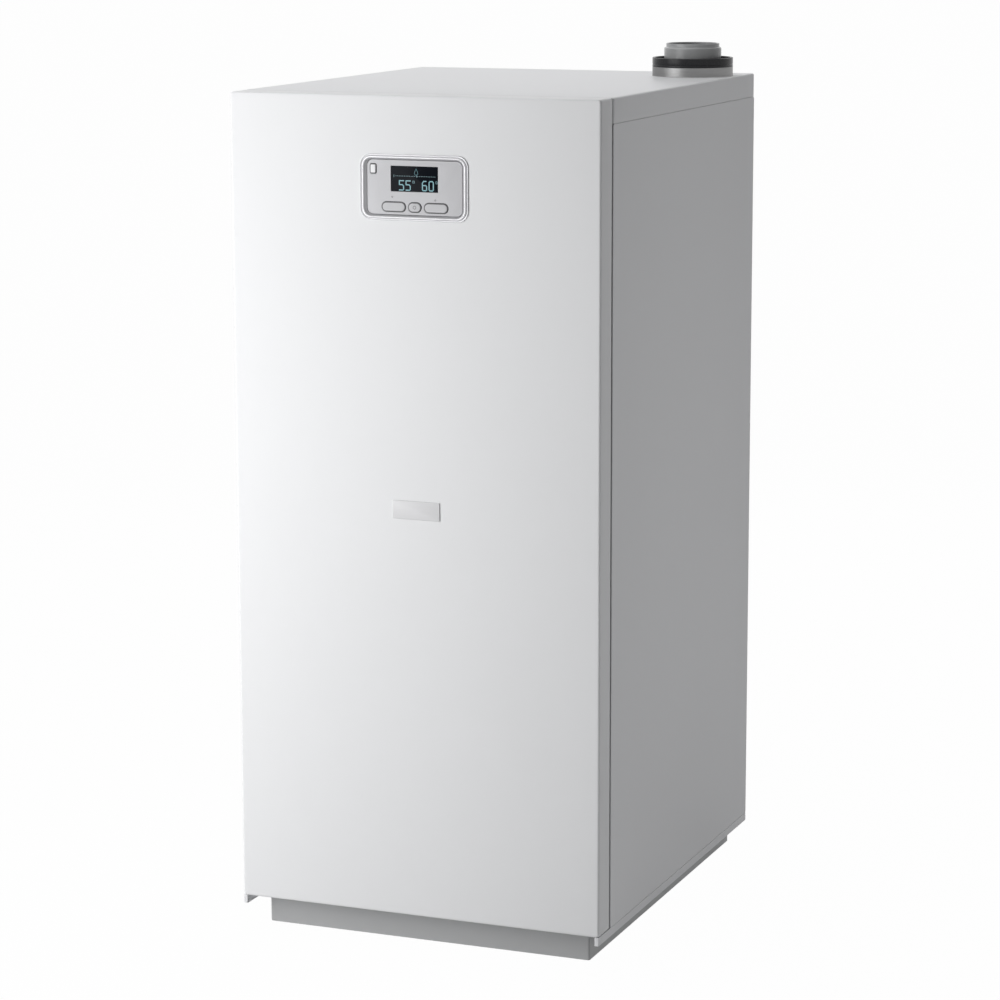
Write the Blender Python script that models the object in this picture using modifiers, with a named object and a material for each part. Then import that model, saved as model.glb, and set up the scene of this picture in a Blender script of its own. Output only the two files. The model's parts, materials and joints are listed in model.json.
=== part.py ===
"""Floor standing gas boiler, modelled as the pieces it comes apart into.

Metres, +Z up. The origin is on the floor under the middle of the casing, and the front
looks along -Y. The driving sizes stand at the top. Each piece has a function of its own.
"""

import math

import bmesh
import bpy
from mathutils import Matrix, Vector

# Casing
WIDTH = 0.570
DEPTH = 0.700
TOP = 1.255
CASING_FOOT = 0.050
SHEET = 0.0015
FOLD_RADIUS = 0.003
FRONT_TRAY = 0.044
FRONT_GAP = 0.006
COVER_SKIRT = 0.0355
FLANGE = 0.018
SEAM = 0.0008
STAY_INSET = 0.0070
STAY_HALF = 0.150
GAP = 0.0003
OVERRUN = 0.010

# Base
PLINTH_SIDE_INSET = 0.027
PLINTH_FRONT_INSET = 0.036
PLINTH_REAR_INSET = 0.010
PLINTH_WALL = 0.0020
FLOOR_CLEARANCE = 0.0020
PAN_HEIGHT = 0.0120
PAN_RAIL = 0.0065
PAN_PLATE = 0.0030
FOOT_INSET = 0.055
FOOT_RADIUS = 0.020
FOOT_PAD = 0.0080
FOOT_STEM = 0.0050
FOOT_NUT = 0.0100
FOOT_NUT_HEIGHT = 0.0080
FOOT_STEM_TOP = 0.072
FOOT_NECK_SHARE = 0.6

# Control panel in the front
PANEL_X = 0.0033
PANEL_DROP = 0.130
FRAME_WIDTH = 0.1664
FRAME_HEIGHT = 0.0940
FRAME_RADIUS = 0.0165
FRAME_PROUD = 0.0026
FRAME_SIDE = 0.0092
FRAME_EDGE = 0.0076
FRAME_NECK = 0.0030
FRAME_DEPTH = 0.0080
FASCIA_RECESS = 0.0015
FASCIA_WALL = 0.0020
FASCIA_GAP = 0.0006
FRAME_OPENING_RADIUS = 0.0095
FRAME_LIP_SHARE = 0.22
SCREEN_WIDTH = 0.0722
SCREEN_HEIGHT = 0.0358
SCREEN_PLACE = (-0.0003, 0.0124)
SCREEN_THICKNESS = 0.0012
KEY_GAP = 0.0005
KEY_PROUD = 0.0012
KEY_TRAVEL = 0.0008
KEY_FLANGE = 0.0012
KEY_LIP = 0.0006
ON_OFF_SIZE = (0.0095, 0.0138)
ON_OFF_PLACE = (-0.0637, 0.0258)
ROCKER_SIZE = (0.0365, 0.0140)
ROCKER_LEFT_PLACE = (-0.0322, -0.0277)
ROCKER_RIGHT_PLACE = (0.0330, -0.0280)
ROCKER_PIN = 0.0008
ROCKER_PIN_LENGTH = 0.0009
MODE_SIZE = (0.0200, 0.0140)
MODE_PLACE = (0.0002, -0.0278)
BOARD_THICKNESS = 0.0016
SWITCH_HEIGHT = 0.0012
SWITCH_RADIUS = 0.0018
SWITCH_SHARE = 0.3
BOX_SIDE_ROOM = 0.095
BOX_DEPTH = 0.095
BOX_PROUD = 0.0087
BOX_HEIGHT = 0.160
BOX_WALL = 0.0025
BOX_STANDOFF = 0.008
MAIN_BOARD_SHARE = 0.9
STANDOFF_SHARE = 0.92
BADGE_SIZE = (0.0740, 0.0270)
BADGE_PLACE = (0.0030, 0.6600)
BADGE_THICKNESS = 0.0012
BADGE_EDGE_SHARE = 0.4

# Fastening of the front panel
RAIL_HEIGHT = 0.0220
RAIL_DEPTH = 0.0180
BOTTOM_RAIL_RISE = 0.0260
CATCH_INSET = 0.060
CATCH_RADIUS = 0.0090
CATCH_BORE = 0.0050
CATCH_LENGTH = 0.0140
CATCH_WALL = 0.0020
CATCH_SLIT = 0.0012
CATCH_NOSE_SHARE = 0.8
STUD_BALL = 0.0045
STUD_SHANK = 0.0028
STUD_HEAD = 0.0080
STUD_HEAD_HEIGHT = 0.0020
BALL_STEPS = 4
BALL_SHARE = 0.8

# Flue connection in the right rear corner
FLUE_SIDE = 0.0720
FLUE_REAR = 0.0913
COLLAR_RADIUS = 0.0625
COLLAR_WALL = 0.0025
COLLAR_METAL = 0.0143
COLLAR_DARK = 0.0137
COLLAR_FLANGE = 0.0060
SOCKET_RADIUS = 0.0443
SOCKET_TOP_RADIUS = 0.0412
SOCKET_WALL = 0.0025
SOCKET_SHOULDER = 0.0430
SOCKET_TOP = 0.0500
SOCKET_BELOW = 0.0450
PIPE_INSERT = 0.0300
SEAL_HEIGHT = 0.0050
SEAL_LIP = 0.0025
SPIDER_HEIGHT = 0.0040
SPIDER_ARMS = 3
SPIDER_SHARE = 0.5
PIPE_RADIUS = 0.0380
PIPE_WALL = 0.0020
ELBOW_Z = 0.157
ELBOW_BEND = 0.060
ELBOW_END = 0.020

# Heat exchanger and burner
BODY_X = -0.040
BODY_BACK = 0.0287
JACKET_ROOM = 0.070
JACKET_WALL = 0.030
JACKET_EDGE_SHARE = 0.3
BAND_INSET = 0.110
BAND_HALF = 0.0090
BAND_DEPTH = 0.0030
VESSEL_WALL = 0.0030
VESSEL_FOOT = 0.205
VESSEL_HEADROOM = 0.430
CHAMBER_WATER = 0.055
CHAMBER_DEPTH = 0.300
CHAMBER_FLANGE = 0.0040
CHAMBER_WALL = 0.0025
TUBE_SHARE = 0.100
TUBE_WALL = 0.0020
TUBE_PITCH_SHARE = 0.323
TUBE_RINGS = 2
TUBE_PLATE = 0.0060
SUMP_INSET = 0.035
SUMP_HEIGHT = 0.095
SUMP_WALL = 0.0040
SUMP_SPIGOT = 0.0160
NOZZLE_DROP = 0.012
STAND_INSET = 0.007
STAND_WALL = 0.0030
STAND_WINDOW = 0.0150
DOOR_THICKNESS = 0.012
DOOR_INSET = 0.035
DOOR_NUTS = 6
DOOR_RIBS = 6
NUT_RADIUS = 0.0070
NUT_HEIGHT = 0.0065
NECK_RISE = 0.020
NECK_BORE = 0.030
NECK_OUTER = 0.046
BURNER_RADIUS = 0.035
BURNER_LENGTH = 0.190
BURNER_CROWN = 0.008
BURNER_WALL = 0.0015
BURNER_FLANGE = 0.0020
BURNER_LIP = 0.0060
ELECTRODE_RADIUS = 0.062
ELECTRODE_PIN = 0.0016
ELECTRODE_RISE = 0.024
ELECTRODE_DROP = 0.075
CERAMIC_RADIUS = 0.0050
CERAMIC_DROP = 0.020
SEAL_THICKNESS = 0.0040
FAN_RADIUS = 0.095
FAN_DEPTH = 0.060
FAN_FLANGE = 0.0050
FAN_LUGS = 4
FAN_RISE = 0.115
OUTLET_WIDTH = 0.056
SCROLL_START = 235
SCROLL_END = 540
SCROLL_STEPS = 28
SCROLL_TONGUE_SHARE = 0.72
SCROLL_TONGUE_WALLS_SHARE = 3
FAN_WALL = 0.0030
FAN_BLADES = 12
IMPELLER_RADIUS = 0.059
IMPELLER_GAP = 0.0040
HUB_RADIUS = 0.018
BLADE_THICKNESS = 0.0018
BLADE_STEPS = 4
BLADE_SWEEP = -42
BLADE_ROOT = 0.0290
IMPELLER_EYE = 0.034
IMPELLER_HEIGHT = 0.030
SHAFT_RADIUS = 0.0050
MOTOR_RADIUS = 0.045
MOTOR_HEIGHT = 0.048
MOTOR_EDGE_SHARE = 0.12
MOTOR_FINS = 12
SHAFT_REACH = 0.024
MIXER_LENGTH = 0.050
MIXER_THROAT_SHARE = 0.8
MIXER_PORT = 0.062
VALVE_LENGTH = 0.070
VALVE_WIDTH = 0.046
VALVE_COIL = 0.030
VALVE_COIL_SHARES = (0.28, 0.72)
VALVE_COIL_WIDTH_SHARE = 0.45
VALVE_REGULATOR_SHARE = 0.6

# Pipes
WATER_PIPE = 0.0170
GAS_PIPE = 0.0110
CONDENSATE_PIPE = 0.0105
LOOM_RADIUS = 0.0040
FLOW_DROP = 0.085
RETURN_RISE = 0.095
GAS_SIDE = 0.045
REAR_STUB = 0.030
STUB_END = 0.0010
PIPE_BEND_SHARE = 2.5
UNION_RISE = 0.0030
UNION_LENGTH = 0.0160
GLAND_SIDE = 0.135
GLAND_DROP = 0.105
GLAND_THREAD = 0.0100
GLAND_BORE = 0.0055
INTAKE_RADIUS = 0.0260
INTAKE_CUFF = 0.0100
INTAKE_BEND_SHARE = 1.6
INTAKE_REACH = 0.140
INTAKE_SIDE = 0.135
INTAKE_DROP = 0.115
SILENCER_RADIUS = 0.040
SILENCER_LENGTH = 0.080
SILENCER_SEAT = 0.020
TRAP_SIDE = 0.049
TRAP_BEHIND_FRONT = 0.0937
TRAP_RADIUS = 0.030
TRAP_HEIGHT = 0.075
TRAP_STEP = 0.0040
TRAP_KNOB = 0.0100
HOSE_Z = 0.081
HOSE_RUN = 0.0040
OUTLET_STEP = 0.026
DRAIN_Z = 0.250
DRAIN_RADIUS = 0.0095
DRAIN_WALL = 0.0040
DRAIN_REACH = 0.060
DRAIN_LEVER_REACH = 0.035
STEM_RADIUS = 0.0045
STEM_RISE = 0.0060
LEVER_LENGTH = 0.048
LEVER_THICKNESS = 0.0060
FITTING_INSET = 0.017
VENT_BEARING = 1.05
VENT_RADIUS = 0.0150
VENT_CAP = 0.0065
VENT_HEIGHT = 0.070
VENT_CAP_SHARE = 0.86
VENT_CROWN_SHARE = 0.78
VENT_NECK_SHARE = 0.3
SENSOR_BEARING = 0.62
SENSOR_RADIUS = 0.0070
SENSOR_HEIGHT = 0.030
LEAD_BEND = 0.015
LEAD_OFFSET = 0.023
LEAD_X = -0.135

COLLECTION = "floor_standing_gas_boiler"

# What follows from the sizes above
FINE = 28
PLAIN = 20
COARSE = 16
SMALL = 12
TUBE_SIDES = 7
MERGE = 0.00001
SHARE_FACING = 0.5
SHARE_HALF = 0.5
HALF_WIDTH = WIDTH / 2
FRONT = (FRAME_PROUD - DEPTH) / 2
REAR = FRONT + DEPTH
SEAM_Y = FRONT + FRONT_TRAY
BODY_FRONT = SEAM_Y + FRONT_GAP
REAR_FACE = REAR - REAR_STUB
CONNECTION_END = REAR - STUB_END
SKIRT_FOOT = TOP - COVER_SKIRT
TOP_RAIL_Z = SKIRT_FOOT - SEAM - SHEET - GAP - RAIL_HEIGHT / 2
BOTTOM_RAIL_Z = CASING_FOOT + BOTTOM_RAIL_RISE
PANEL_Z = TOP - PANEL_DROP
PANEL_PLACE = (PANEL_X, PANEL_Z)
BOX_HALF = HALF_WIDTH - BOX_SIDE_ROOM
CATCH_X = HALF_WIDTH - CATCH_INSET
FLUE_X = HALF_WIDTH - FLUE_SIDE
FLUE_Y = REAR - FLUE_REAR
BODY_Y = FRAME_PROUD / 2 + BODY_BACK
JACKET_RADIUS = HALF_WIDTH - JACKET_ROOM
NECK_WIDTH = FRAME_WIDTH - 2 * FRAME_NECK
NECK_HEIGHT = FRAME_HEIGHT - 2 * FRAME_NECK
NECK_RADIUS = FRAME_RADIUS - FRAME_NECK
POD_WIDTH = FRAME_WIDTH - 2 * (FRAME_SIDE + FASCIA_GAP)
POD_HEIGHT = FRAME_HEIGHT - 2 * (FRAME_EDGE + FASCIA_GAP)
POD_RADIUS = FRAME_OPENING_RADIUS - FASCIA_GAP
POD_EDGE = FASCIA_GAP
FASCIA_FRONT = FRONT + FASCIA_RECESS
BOARD_FRONT = FASCIA_FRONT + FASCIA_WALL + KEY_FLANGE + KEY_TRAVEL + SWITCH_HEIGHT + 3 * GAP
BOX_FRONT = BODY_FRONT - BOX_PROUD
BOX_TOP = TOP_RAIL_Z - RAIL_HEIGHT / 2 - GAP
BOX_FOOT = BOX_TOP - BOX_HEIGHT
KEY_PILL_SHARE = 0.98
KEY_ROUND_SHARE = 0.45
KEYS = (
    ("on_off_key", ON_OFF_SIZE, ON_OFF_PLACE, False),
    ("left_rocker_key", ROCKER_SIZE, ROCKER_LEFT_PLACE, True),
    ("mode_key", MODE_SIZE, MODE_PLACE, False),
    ("right_rocker_key", ROCKER_SIZE, ROCKER_RIGHT_PLACE, True),
)
BOARD_BLOCK_SHARES = (
    ((-0.70, 0.45), (0.16, 0.30, 0.45)),
    ((-0.28, 0.55), (0.12, 0.22, 0.25)),
    ((0.10, 0.55), (0.12, 0.22, 0.25)),
    ((0.62, 0.10), (0.14, 0.70, 0.18)),
    ((-0.45, -0.72), (0.40, 0.14, 0.20)),
)
VESSEL_RADIUS = JACKET_RADIUS - JACKET_WALL
VESSEL_TOP = TOP - VESSEL_HEADROOM
CHAMBER_RADIUS = VESSEL_RADIUS - CHAMBER_WATER
TUBE_RADIUS = CHAMBER_RADIUS * TUBE_SHARE
TUBE_PITCH = CHAMBER_RADIUS * TUBE_PITCH_SHARE
SUMP_RADIUS = VESSEL_RADIUS - SUMP_INSET
STAND_RADIUS = VESSEL_RADIUS - STAND_INSET
DOOR_RADIUS = VESSEL_RADIUS - DOOR_INSET
FITTING_RADIUS = VESSEL_RADIUS - FITTING_INSET
FLOW_Z = VESSEL_TOP - FLOW_DROP
RETURN_Z = VESSEL_FOOT + RETURN_RISE
GAS_X = GAS_SIDE - HALF_WIDTH
GLAND_X = HALF_WIDTH - GLAND_SIDE
GLAND_Z = TOP - GLAND_DROP
INTAKE_X = HALF_WIDTH - INTAKE_SIDE
INTAKE_Y = BODY_Y - INTAKE_REACH
INTAKE_Z = TOP - INTAKE_DROP
TRAP_X = TRAP_SIDE - HALF_WIDTH
TRAP_Y = BODY_FRONT + TRAP_BEHIND_FRONT
DRAIN_LEVER = JACKET_RADIUS + DRAIN_LEVER_REACH
SUMP_FOOT = VESSEL_FOOT - GAP - SUMP_HEIGHT
NECK_TOP = VESSEL_TOP + 2 * GAP + SEAL_THICKNESS + DOOR_THICKNESS + NECK_RISE
FAN_FOOT = NECK_TOP + GAP
FAN_X = BODY_X + FAN_RADIUS - OUTLET_WIDTH / 2
FAN_Z = FAN_FOOT + FAN_RISE
MIXER_Y = BODY_Y - FAN_DEPTH / 2 - GAP - MIXER_LENGTH / 2
MIXER_PORT_X = FAN_X - MIXER_PORT
GAS_Z = FAN_Z
DRAIN_OUT_Z = HOSE_Z + OUTLET_STEP
TRAP_BEARING = math.atan2(TRAP_X - BODY_X, BODY_Y - TRAP_Y)
STAND_WINDOWS = (TRAP_BEARING,)
STAND_WINDOW_Z = HOSE_Z
ELECTRODE_BEARING = 0.9
LEVER_SHARES = ((0, 1.4), (0.35, 1.0), (0.8, 1.3), (1, 0.9))


def clear_scene():
    for item in list(bpy.data.objects):
        bpy.data.objects.remove(item, do_unlink=True)


def new_collection(name):
    made = bpy.data.collections.new(name)
    bpy.context.scene.collection.children.link(made)
    return made


def new_material(name, colour, roughness, metallic=0.0):
    """A Principled finish; colour is linear RGB."""
    material = bpy.data.materials.new(name)
    material.use_nodes = True
    shader = material.node_tree.nodes["Principled BSDF"]
    shader.inputs["Base Color"].default_value = (*colour, 1.0)
    shader.inputs["Roughness"].default_value = roughness
    shader.inputs["Metallic"].default_value = metallic
    return material


def finish(item, name, material, origin=None, smooth=True):
    """Name the object as a piece, give it its finish and put its origin where it turns."""
    item.name = name
    item.data.name = name
    item.data.materials.clear()
    item.data.materials.append(material)
    if origin is not None:
        item.data.transform(Matrix.Translation(-Vector(origin)))
        item.location = origin
    if smooth and item.type == "MESH":
        item.data.shade_smooth()
        item.data.set_sharp_from_angle(angle=math.radians(35))
    return item


def object_from(bm, name, collection=None):
    """Put a bmesh into a new object of the parts collection, or of the given one."""
    bmesh.ops.recalc_face_normals(bm, faces=bm.faces)
    mesh = bpy.data.meshes.new(name)
    bm.to_mesh(mesh)
    bm.free()
    item = bpy.data.objects.new(name, mesh)
    (collection or PARTS).objects.link(item)
    return item


def box(name, low, high, collection=None):
    """A block between two corners."""
    bm = bmesh.new()
    bmesh.ops.create_cube(bm, size=1)
    low, high = Vector(low), Vector(high)
    bmesh.ops.scale(bm, vec=high - low, verts=bm.verts)
    bmesh.ops.translate(bm, vec=(low + high) / 2, verts=bm.verts)
    return object_from(bm, name, collection)


def rod(name, start, end, radius, sides=24, end_radius=None, collection=None):
    """A straight round bar or cone from one point to another."""
    start, end = Vector(start), Vector(end)
    run = end - start
    turn = run.to_track_quat("Z", "Y").to_matrix().to_4x4()
    bm = bmesh.new()
    bmesh.ops.create_cone(
        bm,
        cap_ends=True,
        segments=sides,
        radius1=radius,
        radius2=radius if end_radius is None else end_radius,
        depth=run.length,
        matrix=Matrix.Translation((start + end) / 2) @ turn,
    )
    return object_from(bm, name, collection)


def turned(name, profile, place, steps=24, axis="Z", collection=None):
    """A lathe shape. The profile is (radius, height) pairs down the outer side, closed by itself or on the axis."""
    points = list(profile)
    on_axis = min(radius for radius, _ in points) == 0
    bm = bmesh.new()
    corners = [bm.verts.new((radius, 0, height)) for radius, height in points]
    for first, second in zip(corners, corners[1:]):
        bm.edges.new((first, second))
    if not on_axis:
        bm.edges.new((corners[-1], corners[0]))
    bmesh.ops.spin(
        bm,
        geom=bm.verts[:] + bm.edges[:],
        axis=(0, 0, 1),
        cent=(0, 0, 0),
        angle=2 * math.pi,
        steps=steps,
        use_duplicate=False,
    )
    bmesh.ops.remove_doubles(bm, verts=bm.verts, dist=MERGE)
    if axis == "Y":
        bmesh.ops.rotate(bm, verts=bm.verts, cent=(0, 0, 0), matrix=Matrix.Rotation(math.pi / 2, 3, "X"))
    bmesh.ops.translate(bm, vec=Vector(place), verts=bm.verts)
    return object_from(bm, name, collection)


def rounded_outline(width, height, radius, corner_steps=4):
    """Points of a rectangle with round corners, counter-clockwise, as (across, up) pairs."""
    points = []
    for quarter, (side, rise) in enumerate(((1, 1), (-1, 1), (-1, -1), (1, -1))):
        centre = (side * (width / 2 - radius), rise * (height / 2 - radius))
        for step in range(corner_steps + 1):
            angle = math.pi / 2 * (quarter + step / corner_steps)
            points.append((centre[0] + radius * math.cos(angle), centre[1] + radius * math.sin(angle)))
    return points


def loft(name, rings, closed=False, collection=None):
    """Skin over rings of equally many points. Closed joins the last ring to the first, otherwise both ends are capped."""
    bm = bmesh.new()
    rows = [[bm.verts.new(point) for point in ring] for ring in rings]
    pairs = list(zip(rows, rows[1:]))
    if closed:
        pairs.append((rows[-1], rows[0]))
    for lower, upper in pairs:
        for index in range(len(lower)):
            after = (index + 1) % len(lower)
            bm.faces.new((lower[index], lower[after], upper[after], upper[index]))
    if not closed:
        bm.faces.new(rows[0])
        bm.faces.new(rows[-1])
    return object_from(bm, name, collection)


def front_ring(width, height, radius, y, place, corner_steps=4):
    """A rounded rectangle standing upright at depth y."""
    return [
        (place[0] + across, y, place[1] + up)
        for across, up in rounded_outline(width, height, radius, corner_steps)
    ]


def pill(name, size, radius, place, front, back, edge, corner_steps=4, collection=None):
    """A key or pod with rounded outline and a softened front edge."""
    width, height = size
    rings = [
        front_ring(width - 2 * edge, height - 2 * edge, radius - edge, front, place, corner_steps),
        front_ring(width, height, radius, front + edge, place, corner_steps),
        front_ring(width, height, radius, back, place, corner_steps),
    ]
    return loft(name, rings, collection=collection)


def cut(item, cutter):
    """Take the cutter's shape out of the object."""
    CUTTERS.objects.link(cutter)
    for home in list(cutter.users_collection):
        if home != CUTTERS:
            home.objects.unlink(cutter)
    cutter.hide_render = True
    cutter.display_type = "WIRE"
    boolean = item.modifiers.new("cut", "BOOLEAN")
    boolean.operation = "DIFFERENCE"
    boolean.solver = "EXACT"
    boolean.object = cutter
    return item


def join(item, other):
    """Fuse another shape into the object."""
    cut(item, other)
    boolean = item.modifiers[-1]
    boolean.name = "join"
    boolean.operation = "UNION"
    return item


def settle(item):
    """Keep the modified mesh, so that the object can be cut from or joined to another."""
    bpy.context.view_layer.update()
    graph = bpy.context.evaluated_depsgraph_get()
    mesh = bpy.data.meshes.new_from_object(item.evaluated_get(graph))
    bm = bmesh.new()
    bm.from_mesh(mesh)
    bmesh.ops.remove_doubles(bm, verts=bm.verts, dist=MERGE)
    bmesh.ops.recalc_face_normals(bm, faces=bm.faces)
    bm.to_mesh(mesh)
    bm.free()
    made = bpy.data.objects.new(item.name, mesh)
    made.matrix_world = item.matrix_world.copy()
    PARTS.objects.link(made)
    for modifier in item.modifiers:
        if modifier.type == "BOOLEAN":
            bpy.data.objects.remove(modifier.object, do_unlink=True)
    bpy.data.objects.remove(item, do_unlink=True)
    return made


def bent_points(corners, radius, steps=4):
    """Points along straight runs joined by round bends of one radius."""
    corners = [Vector(corner) for corner in corners]
    points = [corners[0]]
    for before, corner, after in zip(corners, corners[1:], corners[2:]):
        into, out = (corner - before).normalized(), (after - corner).normalized()
        half = into.angle(out) / 2
        reach = radius * math.tan(half)
        start, end = corner - into * reach, corner + out * reach
        centre = corner + (out - into).normalized() * (radius / math.cos(half))
        for step in range(steps + 1):
            share = step / steps
            arm = (start - centre).slerp(end - centre, share, Vector())
            points.append(centre + arm.normalized() * radius)
    points.append(corners[-1])
    return points


def tube(name, points, radius, resolution=2):
    """A bent bar: a poly curve with a round bevel and filled ends."""
    curve = bpy.data.curves.new(name, "CURVE")
    curve.dimensions = "3D"
    curve.bevel_depth = radius
    curve.bevel_resolution = resolution
    curve.use_fill_caps = True
    spline = curve.splines.new("POLY")
    spline.points.add(len(points) - 1)
    for target, point in zip(spline.points, points):
        target.co = (*point, 1)
    item = bpy.data.objects.new(name, curve)
    PARTS.objects.link(item)
    return item


def folded_tray(name, low, high, open_side, wall=None, radius=None):
    """Sheet metal folded into a tray: a block's faces without the open one, thickened inwards."""
    wall = SHEET if wall is None else wall
    radius = FOLD_RADIUS if radius is None else radius
    bm = bmesh.new()
    bmesh.ops.create_cube(bm, size=1)
    low, high = Vector(low), Vector(high)
    bmesh.ops.scale(bm, vec=high - low, verts=bm.verts)
    bmesh.ops.translate(bm, vec=(low + high) / 2, verts=bm.verts)
    gone = [face for face in bm.faces if any(face.normal.dot(Vector(side)) > SHARE_FACING for side in open_side)]
    bmesh.ops.delete(bm, geom=gone, context="FACES")
    mesh = bpy.data.meshes.new(name)
    bm.to_mesh(mesh)
    bm.free()
    item = bpy.data.objects.new(name, mesh)
    PARTS.objects.link(item)
    bevel = item.modifiers.new("folds", "BEVEL")
    bevel.width = radius
    bevel.segments = 1
    bevel.limit_method = "ANGLE"
    solid = item.modifiers.new("sheet", "SOLIDIFY")
    solid.thickness = wall
    solid.offset = -1
    solid.use_even_offset = True
    return item


def prism(name, outline, near, far, collection=None):
    """An upright outline of (x, z) points, swept from depth near to depth far."""
    return loft(name, [[(x, y, z) for x, z in outline] for y in (near, far)], collection=collection)


def foot_places():
    for side in (-1, 1):
        for y in (FRONT + PLINTH_FRONT_INSET + FOOT_INSET, REAR - PLINTH_REAR_INSET - FOOT_INSET):
            yield side * (HALF_WIDTH - PLINTH_SIDE_INSET - FOOT_INSET), y


def plinth():
    """Dark skirt under the casing, a ring of folded sheet that is open below."""
    across = HALF_WIDTH - PLINTH_SIDE_INSET
    low = (-across, FRONT + PLINTH_FRONT_INSET, FLOOR_CLEARANCE)
    high = (across, REAR - PLINTH_REAR_INSET, CASING_FOOT - GAP - PAN_PLATE - GAP)
    ring = folded_tray("plinth", low, high, [(0, 0, 1), (0, 0, -1)], wall=PLINTH_WALL)
    return finish(ring, "plinth", DARK_STEEL)


def base_pan():
    """Floor of the boiler: a plate between two hemmed rails, with a nut under it for each foot."""
    top = CASING_FOOT - GAP
    pan = box(
        "base_pan",
        (-HALF_WIDTH + PAN_RAIL / 2, FRONT + PLINTH_FRONT_INSET, top - PAN_PLATE),
        (HALF_WIDTH - PAN_RAIL / 2, REAR, top),
    )
    for side in (-1, 1):
        edges = sorted((side * HALF_WIDTH, side * (HALF_WIDTH - PAN_RAIL)))
        join(pan, box("rail", (edges[0], FRONT, top - PAN_HEIGHT), (edges[1], REAR, top)))
    for x, y in foot_places():
        under = top - PAN_PLATE
        join(pan, rod("nut", (x, y, under - FOOT_NUT_HEIGHT), (x, y, top - PAN_PLATE / 2), FOOT_NUT, sides=6))
    for x, y in foot_places():
        bore = rod("bore", (x, y, 0), (x, y, top + OVERRUN), FOOT_STEM + GAP, sides=12)
        cut(pan, bore)
    return finish(pan, "base_pan", GALVANISED)


def feet():
    """Levelling feet: a pad with a threaded stem through the nut in the pan."""
    neck = FOOT_PAD * FOOT_NECK_SHARE
    profile = (
        (0, FOOT_STEM_TOP),
        (FOOT_STEM, FOOT_STEM_TOP),
        (FOOT_STEM, FOOT_PAD + neck),
        (FOOT_NUT, FOOT_PAD + neck),
        (FOOT_RADIUS, FOOT_PAD),
        (FOOT_RADIUS, 0),
        (0, 0),
    )
    names = ("front_left_foot", "rear_left_foot", "front_right_foot", "rear_right_foot")
    for name, (x, y) in zip(names, foot_places()):
        foot = turned(name, profile, (x, y, 0), steps=16)
        finish(foot, name, BLACK_RUBBER, origin=(x, y, 0))


def side_panels():
    """Left and right casing sheets, with a flange turned in on all four edges."""
    for name, side in (("left_side_panel", -1), ("right_side_panel", 1)):
        edges = sorted((side * HALF_WIDTH, side * (HALF_WIDTH - FLANGE)))
        panel = folded_tray(
            name,
            (edges[0], BODY_FRONT, CASING_FOOT),
            (edges[1], REAR, SKIRT_FOOT - SEAM),
            [(-side, 0, 0)],
        )
        finish(panel, name, WHITE_PAINT)


def rear_holes():
    """Each hole in the rear panel: x, z and radius, for what passes through it."""
    yield BODY_X, FLOW_Z, WATER_PIPE
    yield BODY_X, RETURN_Z, WATER_PIPE
    yield GAS_X, GAS_Z, GAS_PIPE
    yield TRAP_X, DRAIN_OUT_Z, CONDENSATE_PIPE
    yield GLAND_X, GLAND_Z, GLAND_THREAD


def rear_panel():
    """Back sheet, set in so that the connections end inside the casing's depth."""
    across = HALF_WIDTH - FOLD_RADIUS - GAP
    panel = folded_tray(
        "rear_panel",
        (-across, REAR_FACE - FLANGE, CASING_FOOT + SHEET + GAP),
        (across, REAR_FACE, SKIRT_FOOT - SEAM - SHEET - GAP),
        [(0, -1, 0), (1, 0, 0), (-1, 0, 0)],
    )
    for x, z, radius in rear_holes():
        near, far = (x, REAR_FACE - OVERRUN, z), (x, REAR_FACE + OVERRUN, z)
        cut(panel, rod("hole", near, far, radius + GAP, sides=20))
    return finish(panel, "rear_panel", GALVANISED)


def top_cover():
    """Lid with a short skirt over the side sheets and a hole for the flue collar."""
    cover = folded_tray("top_cover", (-HALF_WIDTH, BODY_FRONT, SKIRT_FOOT), (HALF_WIDTH, REAR, TOP), [(0, 0, -1)])
    low, high = (FLUE_X, FLUE_Y, TOP - OVERRUN), (FLUE_X, FLUE_Y, TOP + OVERRUN)
    cut(cover, rod("flue_hole", low, high, COLLAR_RADIUS + GAP, sides=FINE))
    rest = SKIRT_FOOT - SEAM + GAP
    for side in (-1, 1):
        across = sorted((side * (HALF_WIDTH - STAY_INSET), side * (HALF_WIDTH - STAY_INSET - SHEET)))
        join(cover, box("stay", (across[0], -STAY_HALF, rest), (across[1], STAY_HALF, TOP - SHEET / 2)))
    return finish(cover, "top_cover", WHITE_PAINT)


def front_panel():
    """The door sheet: a deep tray that pulls off to the front, with a window for the control panel."""
    panel = folded_tray("front_panel", (-HALF_WIDTH, FRONT, CASING_FOOT), (HALF_WIDTH, SEAM_Y, TOP), [(0, 1, 0)])
    window = pill(
        "window",
        (NECK_WIDTH + 2 * GAP, NECK_HEIGHT + 2 * GAP),
        NECK_RADIUS,
        PANEL_PLACE,
        FRONT - OVERRUN,
        FRONT + OVERRUN,
        GAP,
    )
    cut(panel, window)
    for name, x, z in catch_places():
        join(panel, ball_stud(name, x, z))
    return finish(panel, "front_panel", WHITE_PAINT)


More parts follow.
